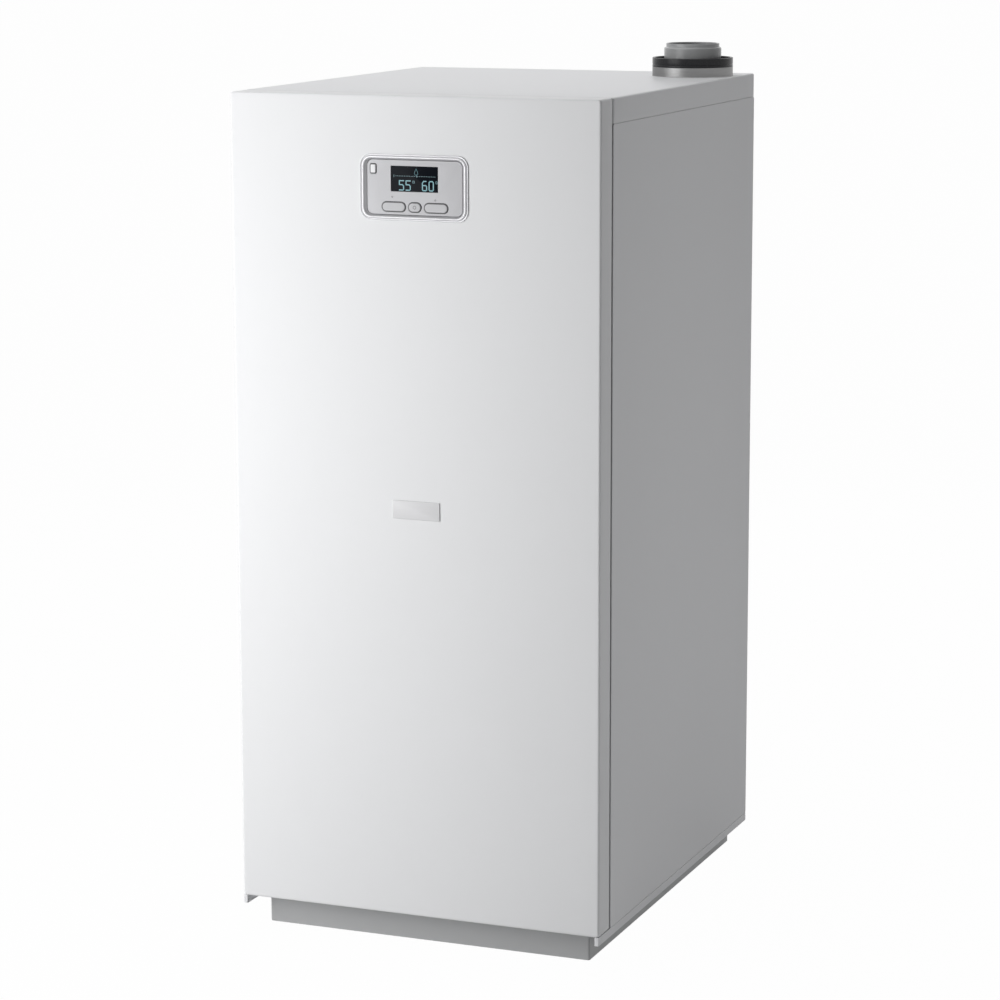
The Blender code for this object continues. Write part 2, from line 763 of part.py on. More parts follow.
def window_frame():
    """Moulded trim ring clipped into the window: a rounded lip outside and a neck through the sheet."""
    lip = FRAME_SIDE * FRAME_LIP_SHARE
    opening = (FRAME_WIDTH - 2 * FRAME_SIDE, FRAME_HEIGHT - 2 * FRAME_EDGE)
    crest = FRONT - FRAME_PROUD
    mitre = FRAME_OPENING_RADIUS
    stations = (
        (FRAME_WIDTH, FRAME_HEIGHT, FRAME_RADIUS, FRONT - GAP),
        (FRAME_WIDTH, FRAME_HEIGHT, FRAME_RADIUS, crest + lip),
        (FRAME_WIDTH - 2 * lip, FRAME_HEIGHT - 2 * lip, FRAME_RADIUS - lip, crest),
        (opening[0] + 2 * lip, opening[1] + 2 * lip, mitre + lip, crest),
        (opening[0], opening[1], mitre, FRONT),
        (opening[0], opening[1], mitre, FRONT + FRAME_DEPTH),
        (NECK_WIDTH, NECK_HEIGHT, NECK_RADIUS, FRONT + FRAME_DEPTH),
        (NECK_WIDTH, NECK_HEIGHT, NECK_RADIUS, FRONT - GAP),
    )
    rings = [front_ring(width, height, radius, y, PANEL_PLACE) for width, height, radius, y in stations]
    frame = loft("control_window_frame", rings, closed=True)
    return finish(frame, "control_window_frame", SILVER_PLASTIC)


def badge_plate():
    """Bare plate pressed onto the middle of the front."""
    plate = pill(
        "badge_plate",
        BADGE_SIZE,
        BADGE_THICKNESS,
        BADGE_PLACE,
        FRONT - GAP - BADGE_THICKNESS,
        FRONT - GAP,
        BADGE_THICKNESS * BADGE_EDGE_SHARE,
        corner_steps=2,
    )
    return finish(plate, "badge_plate", SILVER_PLASTIC)


def catch_places():
    for row, z in (("upper", TOP_RAIL_Z), ("lower", BOTTOM_RAIL_Z)):
        for hand, side in (("left", -1), ("right", 1)):
            yield f"{row}_{hand}", side * CATCH_X, z


def front_rails():
    """Cross rails behind the front panel, with the ball catches clipped to them."""
    across = HALF_WIDTH - FLANGE - GAP
    for name, z in (("top_front_rail", TOP_RAIL_Z), ("bottom_front_rail", BOTTOM_RAIL_Z)):
        low = (-across, BODY_FRONT, z - RAIL_HEIGHT / 2)
        high = (across, BODY_FRONT + RAIL_DEPTH, z + RAIL_HEIGHT / 2)
        rail = folded_tray(name, low, high, [(0, 1, 0), (1, 0, 0), (-1, 0, 0)])
        for label, x, catch_z in catch_places():
            if catch_z == z:
                join(rail, ball_catch(label, x, z))
        finish(rail, name, GALVANISED)


def ball_catch(label, x, z):
    """Socket on a rail, slit so that it snaps over a ball of the front panel."""
    base = BODY_FRONT + SHEET / 2
    profile = (
        (0, CATCH_WALL),
        (CATCH_BORE, CATCH_WALL),
        (CATCH_BORE, CATCH_LENGTH),
        (CATCH_RADIUS * CATCH_NOSE_SHARE, CATCH_LENGTH),
        (CATCH_RADIUS, CATCH_LENGTH - CATCH_WALL),
        (CATCH_RADIUS, 0),
        (0, 0),
    )
    catch = lathe_forward(f"{label}_catch", profile, (x, base, z), steps=SMALL)
    reach = CATCH_RADIUS + CATCH_WALL
    tip = base - CATCH_LENGTH
    for across, up in ((reach, CATCH_SLIT / 2), (CATCH_SLIT / 2, reach)):
        low = (x - across, tip - CATCH_WALL, z - up)
        high = (x + across, base - CATCH_LENGTH / 2, z + up)
        cut(catch, box("slit", low, high))
    return settle(catch)


def ball_stud(label, x, z):
    """Ball-headed stud riveted behind the front panel, as deep as the catch that it snaps into."""
    foot = FRONT + SHEET / 2
    ball = BODY_FRONT + SHEET / 2 - CATCH_WALL - GAP - STUD_BALL - foot
    profile = [(0, ball + STUD_BALL)]
    for step in range(1, BALL_STEPS):
        angle = math.pi * BALL_SHARE * step / BALL_STEPS
        profile.append((STUD_BALL * math.sin(angle), ball + STUD_BALL * math.cos(angle)))
    profile += [
        (STUD_SHANK, ball - STUD_BALL),
        (STUD_SHANK, STUD_HEAD_HEIGHT),
        (STUD_HEAD, STUD_HEAD_HEIGHT),
        (STUD_HEAD, 0),
        (0, 0),
    ]
    return lathe_back(f"{label}_stud", profile, (x, foot, z), steps=SMALL)


def lathe_forward(name, profile, place, steps=20):
    """A lathe shape whose height runs to the front, -Y, from its place."""
    item = turned(name, profile, (0, 0, 0), steps=steps)
    item.data.transform(Matrix.Translation(place) @ Matrix.Rotation(math.pi / 2, 4, "X"))
    return item


def panel_point(place):
    """A place on the control panel, given from its middle."""
    return PANEL_X + place[0], PANEL_Z + place[1]


def control_cover():
    """Front of the control box, with the pod that reaches through the window and holds screen and keys."""
    plate_back = BOX_FRONT - GAP
    plate = box(
        "control_cover",
        (-BOX_HALF, plate_back - BOX_WALL, BOX_FOOT),
        (BOX_HALF, plate_back, BOX_TOP),
    )
    pod = (POD_WIDTH, POD_HEIGHT)
    join(plate, pill("pod", pod, POD_RADIUS, PANEL_PLACE, FASCIA_FRONT, plate_back - BOX_WALL / 2, POD_EDGE))
    hollow = (POD_WIDTH - 2 * FASCIA_WALL, POD_HEIGHT - 2 * FASCIA_WALL)
    inside = FASCIA_FRONT + FASCIA_WALL
    back = BOX_FRONT + OVERRUN
    cut(plate, pill("hollow", hollow, POD_RADIUS - FASCIA_WALL, PANEL_PLACE, inside, back, GAP))
    near, far = FASCIA_FRONT - OVERRUN, inside + GAP
    screen = (SCREEN_WIDTH + 2 * GAP, SCREEN_HEIGHT + 2 * GAP)
    cut(plate, pill("screen_hole", screen, GAP, panel_point(SCREEN_PLACE), near, far, GAP / 2, corner_steps=1))
    for name, size, place, _ in KEYS:
        hole = (size[0] + 2 * KEY_GAP, size[1] + 2 * KEY_GAP)
        radius = key_radius(size) + KEY_GAP
        cut(plate, pill(f"{name}_hole", hole, radius, panel_point(place), near, far, GAP))
    return finish(plate, "control_cover", SILVER_PLASTIC)


def key_radius(size):
    return min(size) / 2 * (KEY_ROUND_SHARE if size == ON_OFF_SIZE else KEY_PILL_SHARE)


def display_screen():
    """Black glass of the display, let into the fascia."""
    front = FASCIA_FRONT + GAP
    screen = pill(
        "display_screen",
        (SCREEN_WIDTH, SCREEN_HEIGHT),
        GAP,
        panel_point(SCREEN_PLACE),
        front,
        front + SCREEN_THICKNESS,
        GAP / 2,
        corner_steps=1,
    )
    return finish(screen, "display_screen", BLACK_GLASS, smooth=False)


def display_module():
    """Display block behind the glass, on the circuit board that carries the key switches."""
    x, z = panel_point(SCREEN_PLACE)
    board_back = BOARD_FRONT + BOARD_THICKNESS
    half = (POD_WIDTH / 2 - FASCIA_WALL - GAP, POD_HEIGHT / 2 - FASCIA_WALL - GAP)
    board = pill(
        "display_board",
        (2 * half[0], 2 * half[1]),
        POD_RADIUS - FASCIA_WALL,
        PANEL_PLACE,
        BOARD_FRONT,
        board_back,
        GAP,
    )
    block_front = FASCIA_FRONT + GAP + SCREEN_THICKNESS + GAP
    low = (x - SCREEN_WIDTH / 2 + GAP, block_front, z - SCREEN_HEIGHT / 2 + GAP)
    high = (x + SCREEN_WIDTH / 2 - GAP, BOARD_FRONT + BOARD_THICKNESS / 2, z + SCREEN_HEIGHT / 2 - GAP)
    join(board, box("display_block", low, high))
    for _, size, place, rocks in KEYS:
        spots = (-size[0] * SWITCH_SHARE, size[0] * SWITCH_SHARE) if rocks else (0,)
        for offset in spots:
            across, up = panel_point((place[0] + offset, place[1]))
            start = (across, BOARD_FRONT - SWITCH_HEIGHT, up)
            join(board, rod("switch", start, (across, BOARD_FRONT + BOARD_THICKNESS * SWITCH_SHARE, up), SWITCH_RADIUS, sides=10))
    return finish(board, "display_board", BOARD_GREEN)


def keys():
    """Push keys held by a flange behind the fascia, and rocker keys on two small pins."""
    front = FASCIA_FRONT - KEY_PROUD
    inside = FASCIA_FRONT + FASCIA_WALL + GAP
    for name, size, place, rocks in KEYS:
        x, z = panel_point(place)
        radius = key_radius(size)
        if rocks:
            pivot = (x, inside + ROCKER_PIN, z)
            key = pill(name, size, radius, (x, z), front, pivot[1] + ROCKER_PIN, KEY_PROUD / 2)
            reach = size[1] / 2 + KEY_GAP + ROCKER_PIN_LENGTH
            low, high = (x, pivot[1], z - reach), (x, pivot[1], z + reach)
            join(key, rod("pin", low, high, ROCKER_PIN, sides=10))
        else:
            pivot = (x, inside, z)
            key = pill(name, size, radius, (x, z), front, inside + KEY_FLANGE, KEY_PROUD / 2)
            wide = (size[0] + 2 * (KEY_GAP + KEY_LIP), size[1] + 2 * (KEY_GAP + KEY_LIP))
            flange = pill("flange", wide, radius + KEY_GAP + KEY_LIP, (x, z), inside, inside + KEY_FLANGE, GAP)
            join(key, flange)
        finish(key, name, KEY_PLASTIC, origin=pivot)


def control_box():
    """Electronics housing behind the cover, hung under the top rail."""
    shell = folded_tray(
        "control_box",
        (-BOX_HALF, BOX_FRONT, BOX_FOOT),
        (BOX_HALF, BOX_FRONT + BOX_DEPTH, BOX_TOP),
        [(0, -1, 0)],
        wall=BOX_WALL,
    )
    return finish(shell, "control_box", BLACK_PLASTIC)


def control_electronics():
    """Main board on stand-offs, with its transformer, relays and terminal blocks."""
    back = BOX_FRONT + BOX_DEPTH - BOX_WALL - GAP
    front = back - BOX_STANDOFF
    half = BOX_HALF * MAIN_BOARD_SHARE
    rise = (BOX_TOP - BOX_FOOT) / 2 * MAIN_BOARD_SHARE
    middle = (BOX_TOP + BOX_FOOT) / 2
    board = box(
        "main_board",
        (-half, front - BOARD_THICKNESS, middle - rise),
        (half, front, middle + rise),
    )
    for across, up in ((-1, -1), (-1, 1), (1, -1), (1, 1)):
        x, z = across * half * STANDOFF_SHARE, middle + up * rise * STANDOFF_SHARE
        join(board, rod("standoff", (x, front - GAP, z), (x, back, z), FOOT_STEM, sides=8))
    for place, size in BOARD_BLOCK_SHARES:
        x, z = half * place[0], middle + rise * place[1]
        low = (x - half * size[0], front - BOARD_THICKNESS - BOX_DEPTH * size[2], z - rise * size[1])
        high = (x + half * size[0], front - BOARD_THICKNESS / 2, z + rise * size[1])
        join(board, box("block", low, high))
    return finish(board, "main_board", BOARD_GREEN, smooth=False)


def flue_collar():
    """Air ring of the flue connection: a metal foot through the cover and a dark plastic upper band."""
    flange_top = TOP - SHEET - GAP
    metal = (
        (COLLAR_RADIUS, TOP + COLLAR_METAL),
        (COLLAR_RADIUS, flange_top),
        (COLLAR_RADIUS + COLLAR_FLANGE, flange_top),
        (COLLAR_RADIUS + COLLAR_FLANGE, flange_top - SHEET),
        (COLLAR_RADIUS - COLLAR_WALL, flange_top - SHEET),
        (COLLAR_RADIUS - COLLAR_WALL, TOP + COLLAR_METAL),
    )
    foot = turned("flue_collar", metal, (FLUE_X, FLUE_Y, 0), steps=FINE)
    finish(foot, "flue_collar", STAINLESS)
    bottom = TOP + COLLAR_METAL + GAP
    top = bottom + COLLAR_DARK
    bead = COLLAR_WALL / 2
    dark = (
        (COLLAR_RADIUS - bead, top),
        (COLLAR_RADIUS, top - bead),
        (COLLAR_RADIUS, bottom),
        (COLLAR_RADIUS - COLLAR_WALL - bead, bottom),
        (COLLAR_RADIUS - COLLAR_WALL - bead, top),
    )
    ring = turned("air_ring", dark, (FLUE_X, FLUE_Y, 0), steps=FINE)
    finish(ring, "air_ring", BLACK_PLASTIC)


def flue_spider():
    """Three-armed spacer that centres the flue socket in the air ring."""
    top = TOP - SHEET - GAP - SHEET - GAP
    hub = (
        (SOCKET_RADIUS + GAP + SHEET * 2, top),
        (SOCKET_RADIUS + GAP + SHEET * 2, top - SPIDER_HEIGHT),
        (SOCKET_RADIUS + GAP, top - SPIDER_HEIGHT),
        (SOCKET_RADIUS + GAP, top),
    )
    spider = turned("flue_spacer", hub, (FLUE_X, FLUE_Y, 0), steps=FINE)
    for index in range(SPIDER_ARMS):
        angle = 2 * math.pi * index / SPIDER_ARMS + math.pi / 2
        direction = Vector((math.cos(angle), math.sin(angle), 0))
        start = Vector((FLUE_X, FLUE_Y, top - SPIDER_HEIGHT / 2)) + direction * (SOCKET_RADIUS + GAP + SHEET)
        end = start + direction * (COLLAR_RADIUS + COLLAR_FLANGE * SPIDER_SHARE - SOCKET_RADIUS)
        join(spider, rod("arm", start, end, SPIDER_HEIGHT / 2, sides=8))
    return finish(spider, "flue_spacer", GALVANISED)


def flue_pipes():
    """Exhaust route: an elbow from the sump, the rising pipe and the socket that ends above the cover."""
    foot = TOP - SOCKET_BELOW
    wide, narrow = SOCKET_RADIUS, SOCKET_TOP_RADIUS
    step = TOP + SOCKET_SHOULDER
    socket = (
        (narrow - SOCKET_WALL / 2, TOP + SOCKET_TOP),
        (narrow, TOP + SOCKET_TOP - SOCKET_WALL / 2),
        (narrow, step + SOCKET_WALL / 2),
        (wide, step),
        (wide, foot + PIPE_INSERT),
        (PIPE_RADIUS + GAP + SOCKET_WALL, foot + PIPE_INSERT / 2),
        (PIPE_RADIUS + GAP + SOCKET_WALL, foot),
        (PIPE_RADIUS + GAP, foot),
        (PIPE_RADIUS + GAP, foot + PIPE_INSERT),
        (narrow - SOCKET_WALL, foot + PIPE_INSERT + SOCKET_WALL),
        (narrow - SOCKET_WALL, TOP + SOCKET_TOP),
    )
    finish(turned("flue_socket", socket, (FLUE_X, FLUE_Y, 0), steps=FINE), "flue_socket", GREY_PLASTIC)
    seal_top = TOP + SOCKET_TOP - SOCKET_WALL
    lip = (
        (narrow - SOCKET_WALL - GAP, seal_top),
        (narrow - SOCKET_WALL - GAP, seal_top - SEAL_HEIGHT),
        (narrow - SOCKET_WALL - GAP - SEAL_LIP, seal_top - SEAL_HEIGHT / 2),
    )
    finish(turned("socket_lip_seal", lip, (FLUE_X, FLUE_Y, 0), steps=FINE), "socket_lip_seal", BLACK_RUBBER)
    low, high = ELBOW_Z + ELBOW_BEND + ELBOW_END, foot + PIPE_INSERT - GAP
    pipe = (
        (PIPE_RADIUS, high),
        (PIPE_RADIUS, low + GAP),
        (PIPE_RADIUS - PIPE_WALL, low + GAP),
        (PIPE_RADIUS - PIPE_WALL, high),
    )
    finish(turned("flue_pipe", pipe, (FLUE_X, FLUE_Y, 0), steps=FINE), "flue_pipe", GREY_PLASTIC)
    to_flue = Vector((FLUE_X - BODY_X, FLUE_Y - BODY_Y, 0)).normalized()
    middle = Vector((BODY_X, BODY_Y, ELBOW_Z))
    start = middle + to_flue * (SUMP_RADIUS + SUMP_SPIGOT + GAP)
    corner = Vector((FLUE_X, FLUE_Y, ELBOW_Z))
    route = [start, corner, Vector((FLUE_X, FLUE_Y, low))]
    elbow = pipe_of("flue_elbow", route, ELBOW_BEND, PIPE_RADIUS, PIPE_WALL, resolution=5)
    finish(elbow, "flue_elbow", GREY_PLASTIC)


def pipe_of(name, corners, bend, radius, wall, resolution=2):
    """A bent pipe with its bore cut through both ends."""
    points = bent_points(corners, bend)
    outer = settle(tube(name, points, radius, resolution))
    first = (points[0] - points[1]).normalized() * OVERRUN
    last = (points[-1] - points[-2]).normalized() * OVERRUN
    bore = settle(tube("bore", [points[0] + first, *points, points[-1] + last], radius - wall, resolution))
    return cut(outer, bore)


def around(radius, angle, z):
    """A point at a bearing round the boiler body; zero looks to the front."""
    return Vector((BODY_X + radius * math.sin(angle), BODY_Y - radius * math.cos(angle), z))


def vessel_stand():
    """Rolled ring on the base pan that carries the vessel, with a window for the elbow and one for the drain."""
    foot, top = CASING_FOOT, VESSEL_FOOT - GAP
    wall = STAND_RADIUS - STAND_WALL
    ring = ((STAND_RADIUS, top), (STAND_RADIUS, foot), (wall, foot), (wall, top))
    stand = turned("vessel_stand", ring, (BODY_X, BODY_Y, 0), steps=PLAIN)
    to_flue = Vector((FLUE_X - BODY_X, FLUE_Y - BODY_Y, 0)).normalized()
    start = Vector((BODY_X, BODY_Y, ELBOW_Z)) + to_flue * SUMP_RADIUS
    end = start + to_flue * (2 * (STAND_RADIUS - SUMP_RADIUS) + OVERRUN)
    cut(stand, rod("elbow_window", start, end, PIPE_RADIUS + STAND_WALL, sides=COARSE))
    for angle in STAND_WINDOWS:
        near, far = around(SUMP_RADIUS, angle, STAND_WINDOW_Z), around(STAND_RADIUS + OVERRUN, angle, STAND_WINDOW_Z)
        cut(stand, rod("window", near, far, STAND_WINDOW, sides=20))
    return finish(stand, "vessel_stand", GALVANISED)


def condensate_sump():
    """Bowl under the vessel that gathers exhaust gas and condensate, with a side port and a drain nozzle."""
    top, foot = VESSEL_FOOT - GAP, VESSEL_FOOT - GAP - SUMP_HEIGHT
    inner = SUMP_RADIUS - SUMP_WALL
    bowl = (
        (SUMP_RADIUS, top),
        (SUMP_RADIUS, foot + SUMP_WALL),
        (CONDENSATE_PIPE + SUMP_WALL, foot),
        (CONDENSATE_PIPE + SUMP_WALL, foot - NOZZLE_DROP),
        (CONDENSATE_PIPE, foot - NOZZLE_DROP),
        (CONDENSATE_PIPE, foot + SUMP_WALL),
        (inner, foot + 2 * SUMP_WALL),
        (inner, top),
    )
    sump = turned("condensate_sump", bowl, (BODY_X, BODY_Y, 0), steps=PLAIN)
    to_flue = Vector((FLUE_X - BODY_X, FLUE_Y - BODY_Y, 0)).normalized()
    start = Vector((BODY_X, BODY_Y, ELBOW_Z)) + to_flue * (SUMP_RADIUS - OVERRUN)
    spigot = Vector((BODY_X, BODY_Y, ELBOW_Z)) + to_flue * (SUMP_RADIUS + SUMP_SPIGOT)
    join(sump, rod("spigot", start + to_flue * OVERRUN * SHARE_HALF, spigot, PIPE_RADIUS, sides=COARSE))
    cut(sump, rod("port", start - to_flue * OVERRUN, spigot + to_flue * OVERRUN, PIPE_RADIUS - PIPE_WALL, sides=COARSE))
    return finish(sump, "condensate_sump", BLACK_PLASTIC)


def tube_places():
    """Middle of the bundle and its rings, six more tubes in each ring."""
    yield 0, 0
    for ring in range(1, TUBE_RINGS + 1):
        for index in range(6 * ring):
            angle = 2 * math.pi * index / (6 * ring)
            yield ring * TUBE_PITCH * math.sin(angle), ring * TUBE_PITCH * math.cos(angle)


def tube_bundle():
    """Smoke tubes welded between two tube plates; the gas goes down them through the water."""
    middle = (BODY_X, BODY_Y, 0)
    low_top = VESSEL_FOOT + TUBE_PLATE
    high = VESSEL_TOP - CHAMBER_DEPTH - GAP
    radius = VESSEL_RADIUS
    bundle = turned("tube_bundle", ((0, low_top), (radius, low_top), (radius, VESSEL_FOOT), (0, VESSEL_FOOT)), middle, steps=PLAIN)
    upper = ((0, high), (CHAMBER_RADIUS, high), (CHAMBER_RADIUS, high - TUBE_PLATE), (0, high - TUBE_PLATE))
    join(bundle, turned("upper_plate", upper, middle, steps=COARSE))
    for x, y in tube_places():
        place = Vector((BODY_X + x, BODY_Y + y, 0))
        low_end = place + Vector((0, 0, low_top - TUBE_PLATE / 2))
        high_end = place + Vector((0, 0, high - TUBE_PLATE / 2))
        join(bundle, rod("tube", low_end, high_end, TUBE_RADIUS, sides=TUBE_SIDES))
    for x, y in tube_places():
        place = Vector((BODY_X + x, BODY_Y + y, 0))
        low_end, high_end = place + Vector((0, 0, VESSEL_FOOT - OVERRUN)), place + Vector((0, 0, high + OVERRUN))
        cut(bundle, rod("bore", low_end, high_end, TUBE_RADIUS - TUBE_WALL, sides=TUBE_SIDES))
    return finish(bundle, "smoke_tube_bundle", STAINLESS)


def combustion_chamber():
    """Open drum over the tubes in which the burner fires, hung from its top flange."""
    flange = VESSEL_TOP - CHAMBER_FLANGE
    drum = (
        (VESSEL_RADIUS, VESSEL_TOP),
        (VESSEL_RADIUS, flange),
        (CHAMBER_RADIUS, flange),
        (CHAMBER_RADIUS, VESSEL_TOP - CHAMBER_DEPTH),
        (CHAMBER_RADIUS - CHAMBER_WALL, VESSEL_TOP - CHAMBER_DEPTH),
        (CHAMBER_RADIUS - CHAMBER_WALL, VESSEL_TOP),
    )
    chamber = turned("combustion_chamber", drum, (BODY_X, BODY_Y, 0), steps=PLAIN)
    return finish(chamber, "combustion_chamber", STAINLESS)


def vessel_shell():
    """Outer wall of the water space, standing on the lower tube plate."""
    foot, top = VESSEL_FOOT + TUBE_PLATE + GAP, VESSEL_TOP - CHAMBER_FLANGE - GAP
    inner = VESSEL_RADIUS - VESSEL_WALL
    wall = ((VESSEL_RADIUS, top), (VESSEL_RADIUS, foot), (inner, foot), (inner, top))
    shell = turned("vessel_shell", wall, (BODY_X, BODY_Y, 0), steps=PLAIN)
    for z in (FLOW_Z, RETURN_Z):
        start = (BODY_X, BODY_Y + inner - OVERRUN, z)
        cut(shell, rod("port", start, (BODY_X, BODY_Y + VESSEL_RADIUS + OVERRUN, z), WATER_PIPE + GAP, sides=20))
    start = (BODY_X, BODY_Y - inner + OVERRUN, DRAIN_Z)
    cut(shell, rod("drain_port", start, (BODY_X, BODY_Y - VESSEL_RADIUS - OVERRUN, DRAIN_Z), DRAIN_RADIUS + GAP, sides=16))
    return finish(shell, "vessel_shell", STAINLESS)


def insulation():
    """Two moulded foam half shells round the vessel, split left and right."""
    top, foot = VESSEL_TOP, VESSEL_FOOT
    inner = VESSEL_RADIUS + 2 * GAP
    edge = JACKET_WALL * JACKET_EDGE_SHARE
    wall = (
        (JACKET_RADIUS - edge, top),
        (JACKET_RADIUS, top - edge),
        (JACKET_RADIUS, foot + edge),
        (JACKET_RADIUS - edge, foot),
        (inner, foot),
        (inner, top),
    )
    for name, side in (("left_insulation_shell", -1), ("right_insulation_shell", 1)):
        half = turned(name, wall, (BODY_X, BODY_Y, 0), steps=PLAIN)
        reach = JACKET_RADIUS + OVERRUN
        edges = sorted((BODY_X - side * (GAP / 2 + reach), BODY_X + side * GAP / 2))
        low = (edges[0], BODY_Y - reach, foot - OVERRUN)
        high = (edges[1], BODY_Y + reach, top + OVERRUN)
        cut(half, box("other_half", low, high))
        for z, radius, rear in ((FLOW_Z, WATER_PIPE, 1), (RETURN_Z, WATER_PIPE, 1), (DRAIN_Z, DRAIN_RADIUS, -1)):
            start = (BODY_X, BODY_Y + rear * (VESSEL_RADIUS - OVERRUN), z)
            end = (BODY_X, BODY_Y + rear * (JACKET_RADIUS + OVERRUN), z)
            cut(half, rod("port", start, end, radius + 2 * GAP, sides=20))
        for z in (VESSEL_FOOT + BAND_INSET, VESSEL_TOP - BAND_INSET):
            groove = ((JACKET_RADIUS + OVERRUN, z + BAND_HALF), (JACKET_RADIUS + OVERRUN, z - BAND_HALF))
            depth = JACKET_RADIUS - BAND_DEPTH
            ring = (*groove, (depth, z - BAND_HALF), (depth, z + BAND_HALF))
            cut(half, turned("band_groove", ring, (BODY_X, BODY_Y, 0), steps=PLAIN))
        finish(half, name, GREY_FOAM)


def burner_door():
    """Cast cover over the chamber with a raised neck for the fan and a ring of nuts."""
    foot = VESSEL_TOP + GAP + SEAL_THICKNESS + GAP
    top = foot + DOOR_THICKNESS
    neck = top + NECK_RISE
    door = (
        (NECK_BORE, neck),
        (NECK_OUTER, neck),
        (NECK_OUTER, neck - DOOR_THICKNESS / 2),
        (NECK_BORE + DOOR_THICKNESS / 2, neck - DOOR_THICKNESS),
        (NECK_BORE + DOOR_THICKNESS, top),
        (DOOR_RADIUS, top),
        (DOOR_RADIUS, foot),
        (NECK_BORE, foot),
    )
    cover = turned("burner_door", door, (BODY_X, BODY_Y, 0), steps=PLAIN)
    for index in range(DOOR_NUTS):
        angle = 2 * math.pi * (index + SHARE_HALF) / DOOR_NUTS
        base = around(DOOR_RADIUS - DOOR_THICKNESS, angle, top - GAP)
        join(cover, rod("nut", base, base + Vector((0, 0, NUT_HEIGHT)), NUT_RADIUS, sides=6))
    for index in range(DOOR_RIBS):
        angle = 2 * math.pi * index / DOOR_RIBS
        inner = around(NECK_BORE + DOOR_THICKNESS, angle, top)
        outer = around(DOOR_RADIUS - DOOR_THICKNESS, angle, top)
        join(cover, rod("rib", inner, outer, DOOR_THICKNESS / 2, sides=8, end_radius=DOOR_THICKNESS / 4))
    place = around(ELECTRODE_RADIUS, ELECTRODE_BEARING, 0)
    low, high = place + Vector((0, 0, foot - OVERRUN)), place + Vector((0, 0, top + NECK_RISE))
    cut(cover, rod("electrode_hole", low, high, CERAMIC_RADIUS + GAP, sides=16))
    return finish(cover, "burner_door", CAST_ALUMINIUM)


def door_seal():
    """Heat-proof gasket between the chamber flange and the burner door."""
    foot = VESSEL_TOP + GAP
    inner = CHAMBER_RADIUS - CHAMBER_WALL
    ring = (
        (DOOR_RADIUS - DOOR_THICKNESS, foot + SEAL_THICKNESS),
        (DOOR_RADIUS - DOOR_THICKNESS, foot),
        (inner, foot),
        (inner, foot + SEAL_THICKNESS),
    )
    return finish(turned("door_seal", ring, (BODY_X, BODY_Y, 0), steps=PLAIN), "burner_door_seal", SEAL_FIBRE)


def burner():
    """Closed-end burner tube hung in the neck of the door; its flame holes are in the finish."""
    seat = VESSEL_TOP + GAP + SEAL_THICKNESS
    wall = (
        (BURNER_RADIUS, seat - BURNER_FLANGE),
        (BURNER_RADIUS, seat - BURNER_LENGTH),
        (0, seat - BURNER_LENGTH - BURNER_CROWN),
        (0, seat - BURNER_LENGTH - BURNER_CROWN + BURNER_WALL),
        (BURNER_RADIUS - BURNER_WALL, seat - BURNER_LENGTH + BURNER_WALL),
        (BURNER_RADIUS - BURNER_WALL, seat),
        (BURNER_RADIUS + BURNER_LIP, seat),
        (BURNER_RADIUS + BURNER_LIP, seat - BURNER_FLANGE),
    )
    start = wall.index((0, seat - BURNER_LENGTH - BURNER_CROWN + BURNER_WALL))
    profile = (*wall[start:], *wall[:start])
    return finish(turned("burner_tube", profile, (BODY_X, BODY_Y, 0), steps=PLAIN), "burner_tube", STAINLESS)


def electrode():
    """Rod that lights and senses the flame, in a ceramic sleeve through the door."""
    foot = VESSEL_TOP + GAP + SEAL_THICKNESS + GAP
    top = foot + DOOR_THICKNESS
    shape = (
        (0, top + ELECTRODE_RISE),
        (ELECTRODE_PIN, top + ELECTRODE_RISE),
        (ELECTRODE_PIN, top + ELECTRODE_RISE * SHARE_HALF),
        (CERAMIC_RADIUS, top + ELECTRODE_RISE * SHARE_HALF),
        (CERAMIC_RADIUS, foot - CERAMIC_DROP),
        (ELECTRODE_PIN, foot - CERAMIC_DROP),
        (ELECTRODE_PIN, foot - ELECTRODE_DROP),
        (0, foot - ELECTRODE_DROP),
    )
    place = around(ELECTRODE_RADIUS, ELECTRODE_BEARING, 0)
    finish(turned("ignition_electrode", shape, place, steps=12), "ignition_electrode", CERAMIC)


def scroll_outline(wall, foot):
    """Fan scroll as (x, z) points: a spiral that widens to a straight outlet going down."""
    points = []
    tongue = FAN_RADIUS * SCROLL_TONGUE_SHARE
    start = SCROLL_START - math.degrees(SCROLL_TONGUE_WALLS_SHARE * wall / tongue)
    end = SCROLL_END
    for step in range(SCROLL_STEPS + 1):
        share = step / SCROLL_STEPS
        angle = math.radians(start + (end - start) * share)
        radius = tongue + (FAN_RADIUS - tongue) * share - wall
        points.append((FAN_X + radius * math.cos(angle), FAN_Z + radius * math.sin(angle)))
    points.append((BODY_X - OUTLET_WIDTH / 2 + wall, foot))
    points.append((BODY_X + OUTLET_WIDTH / 2 - wall, foot))
    return points


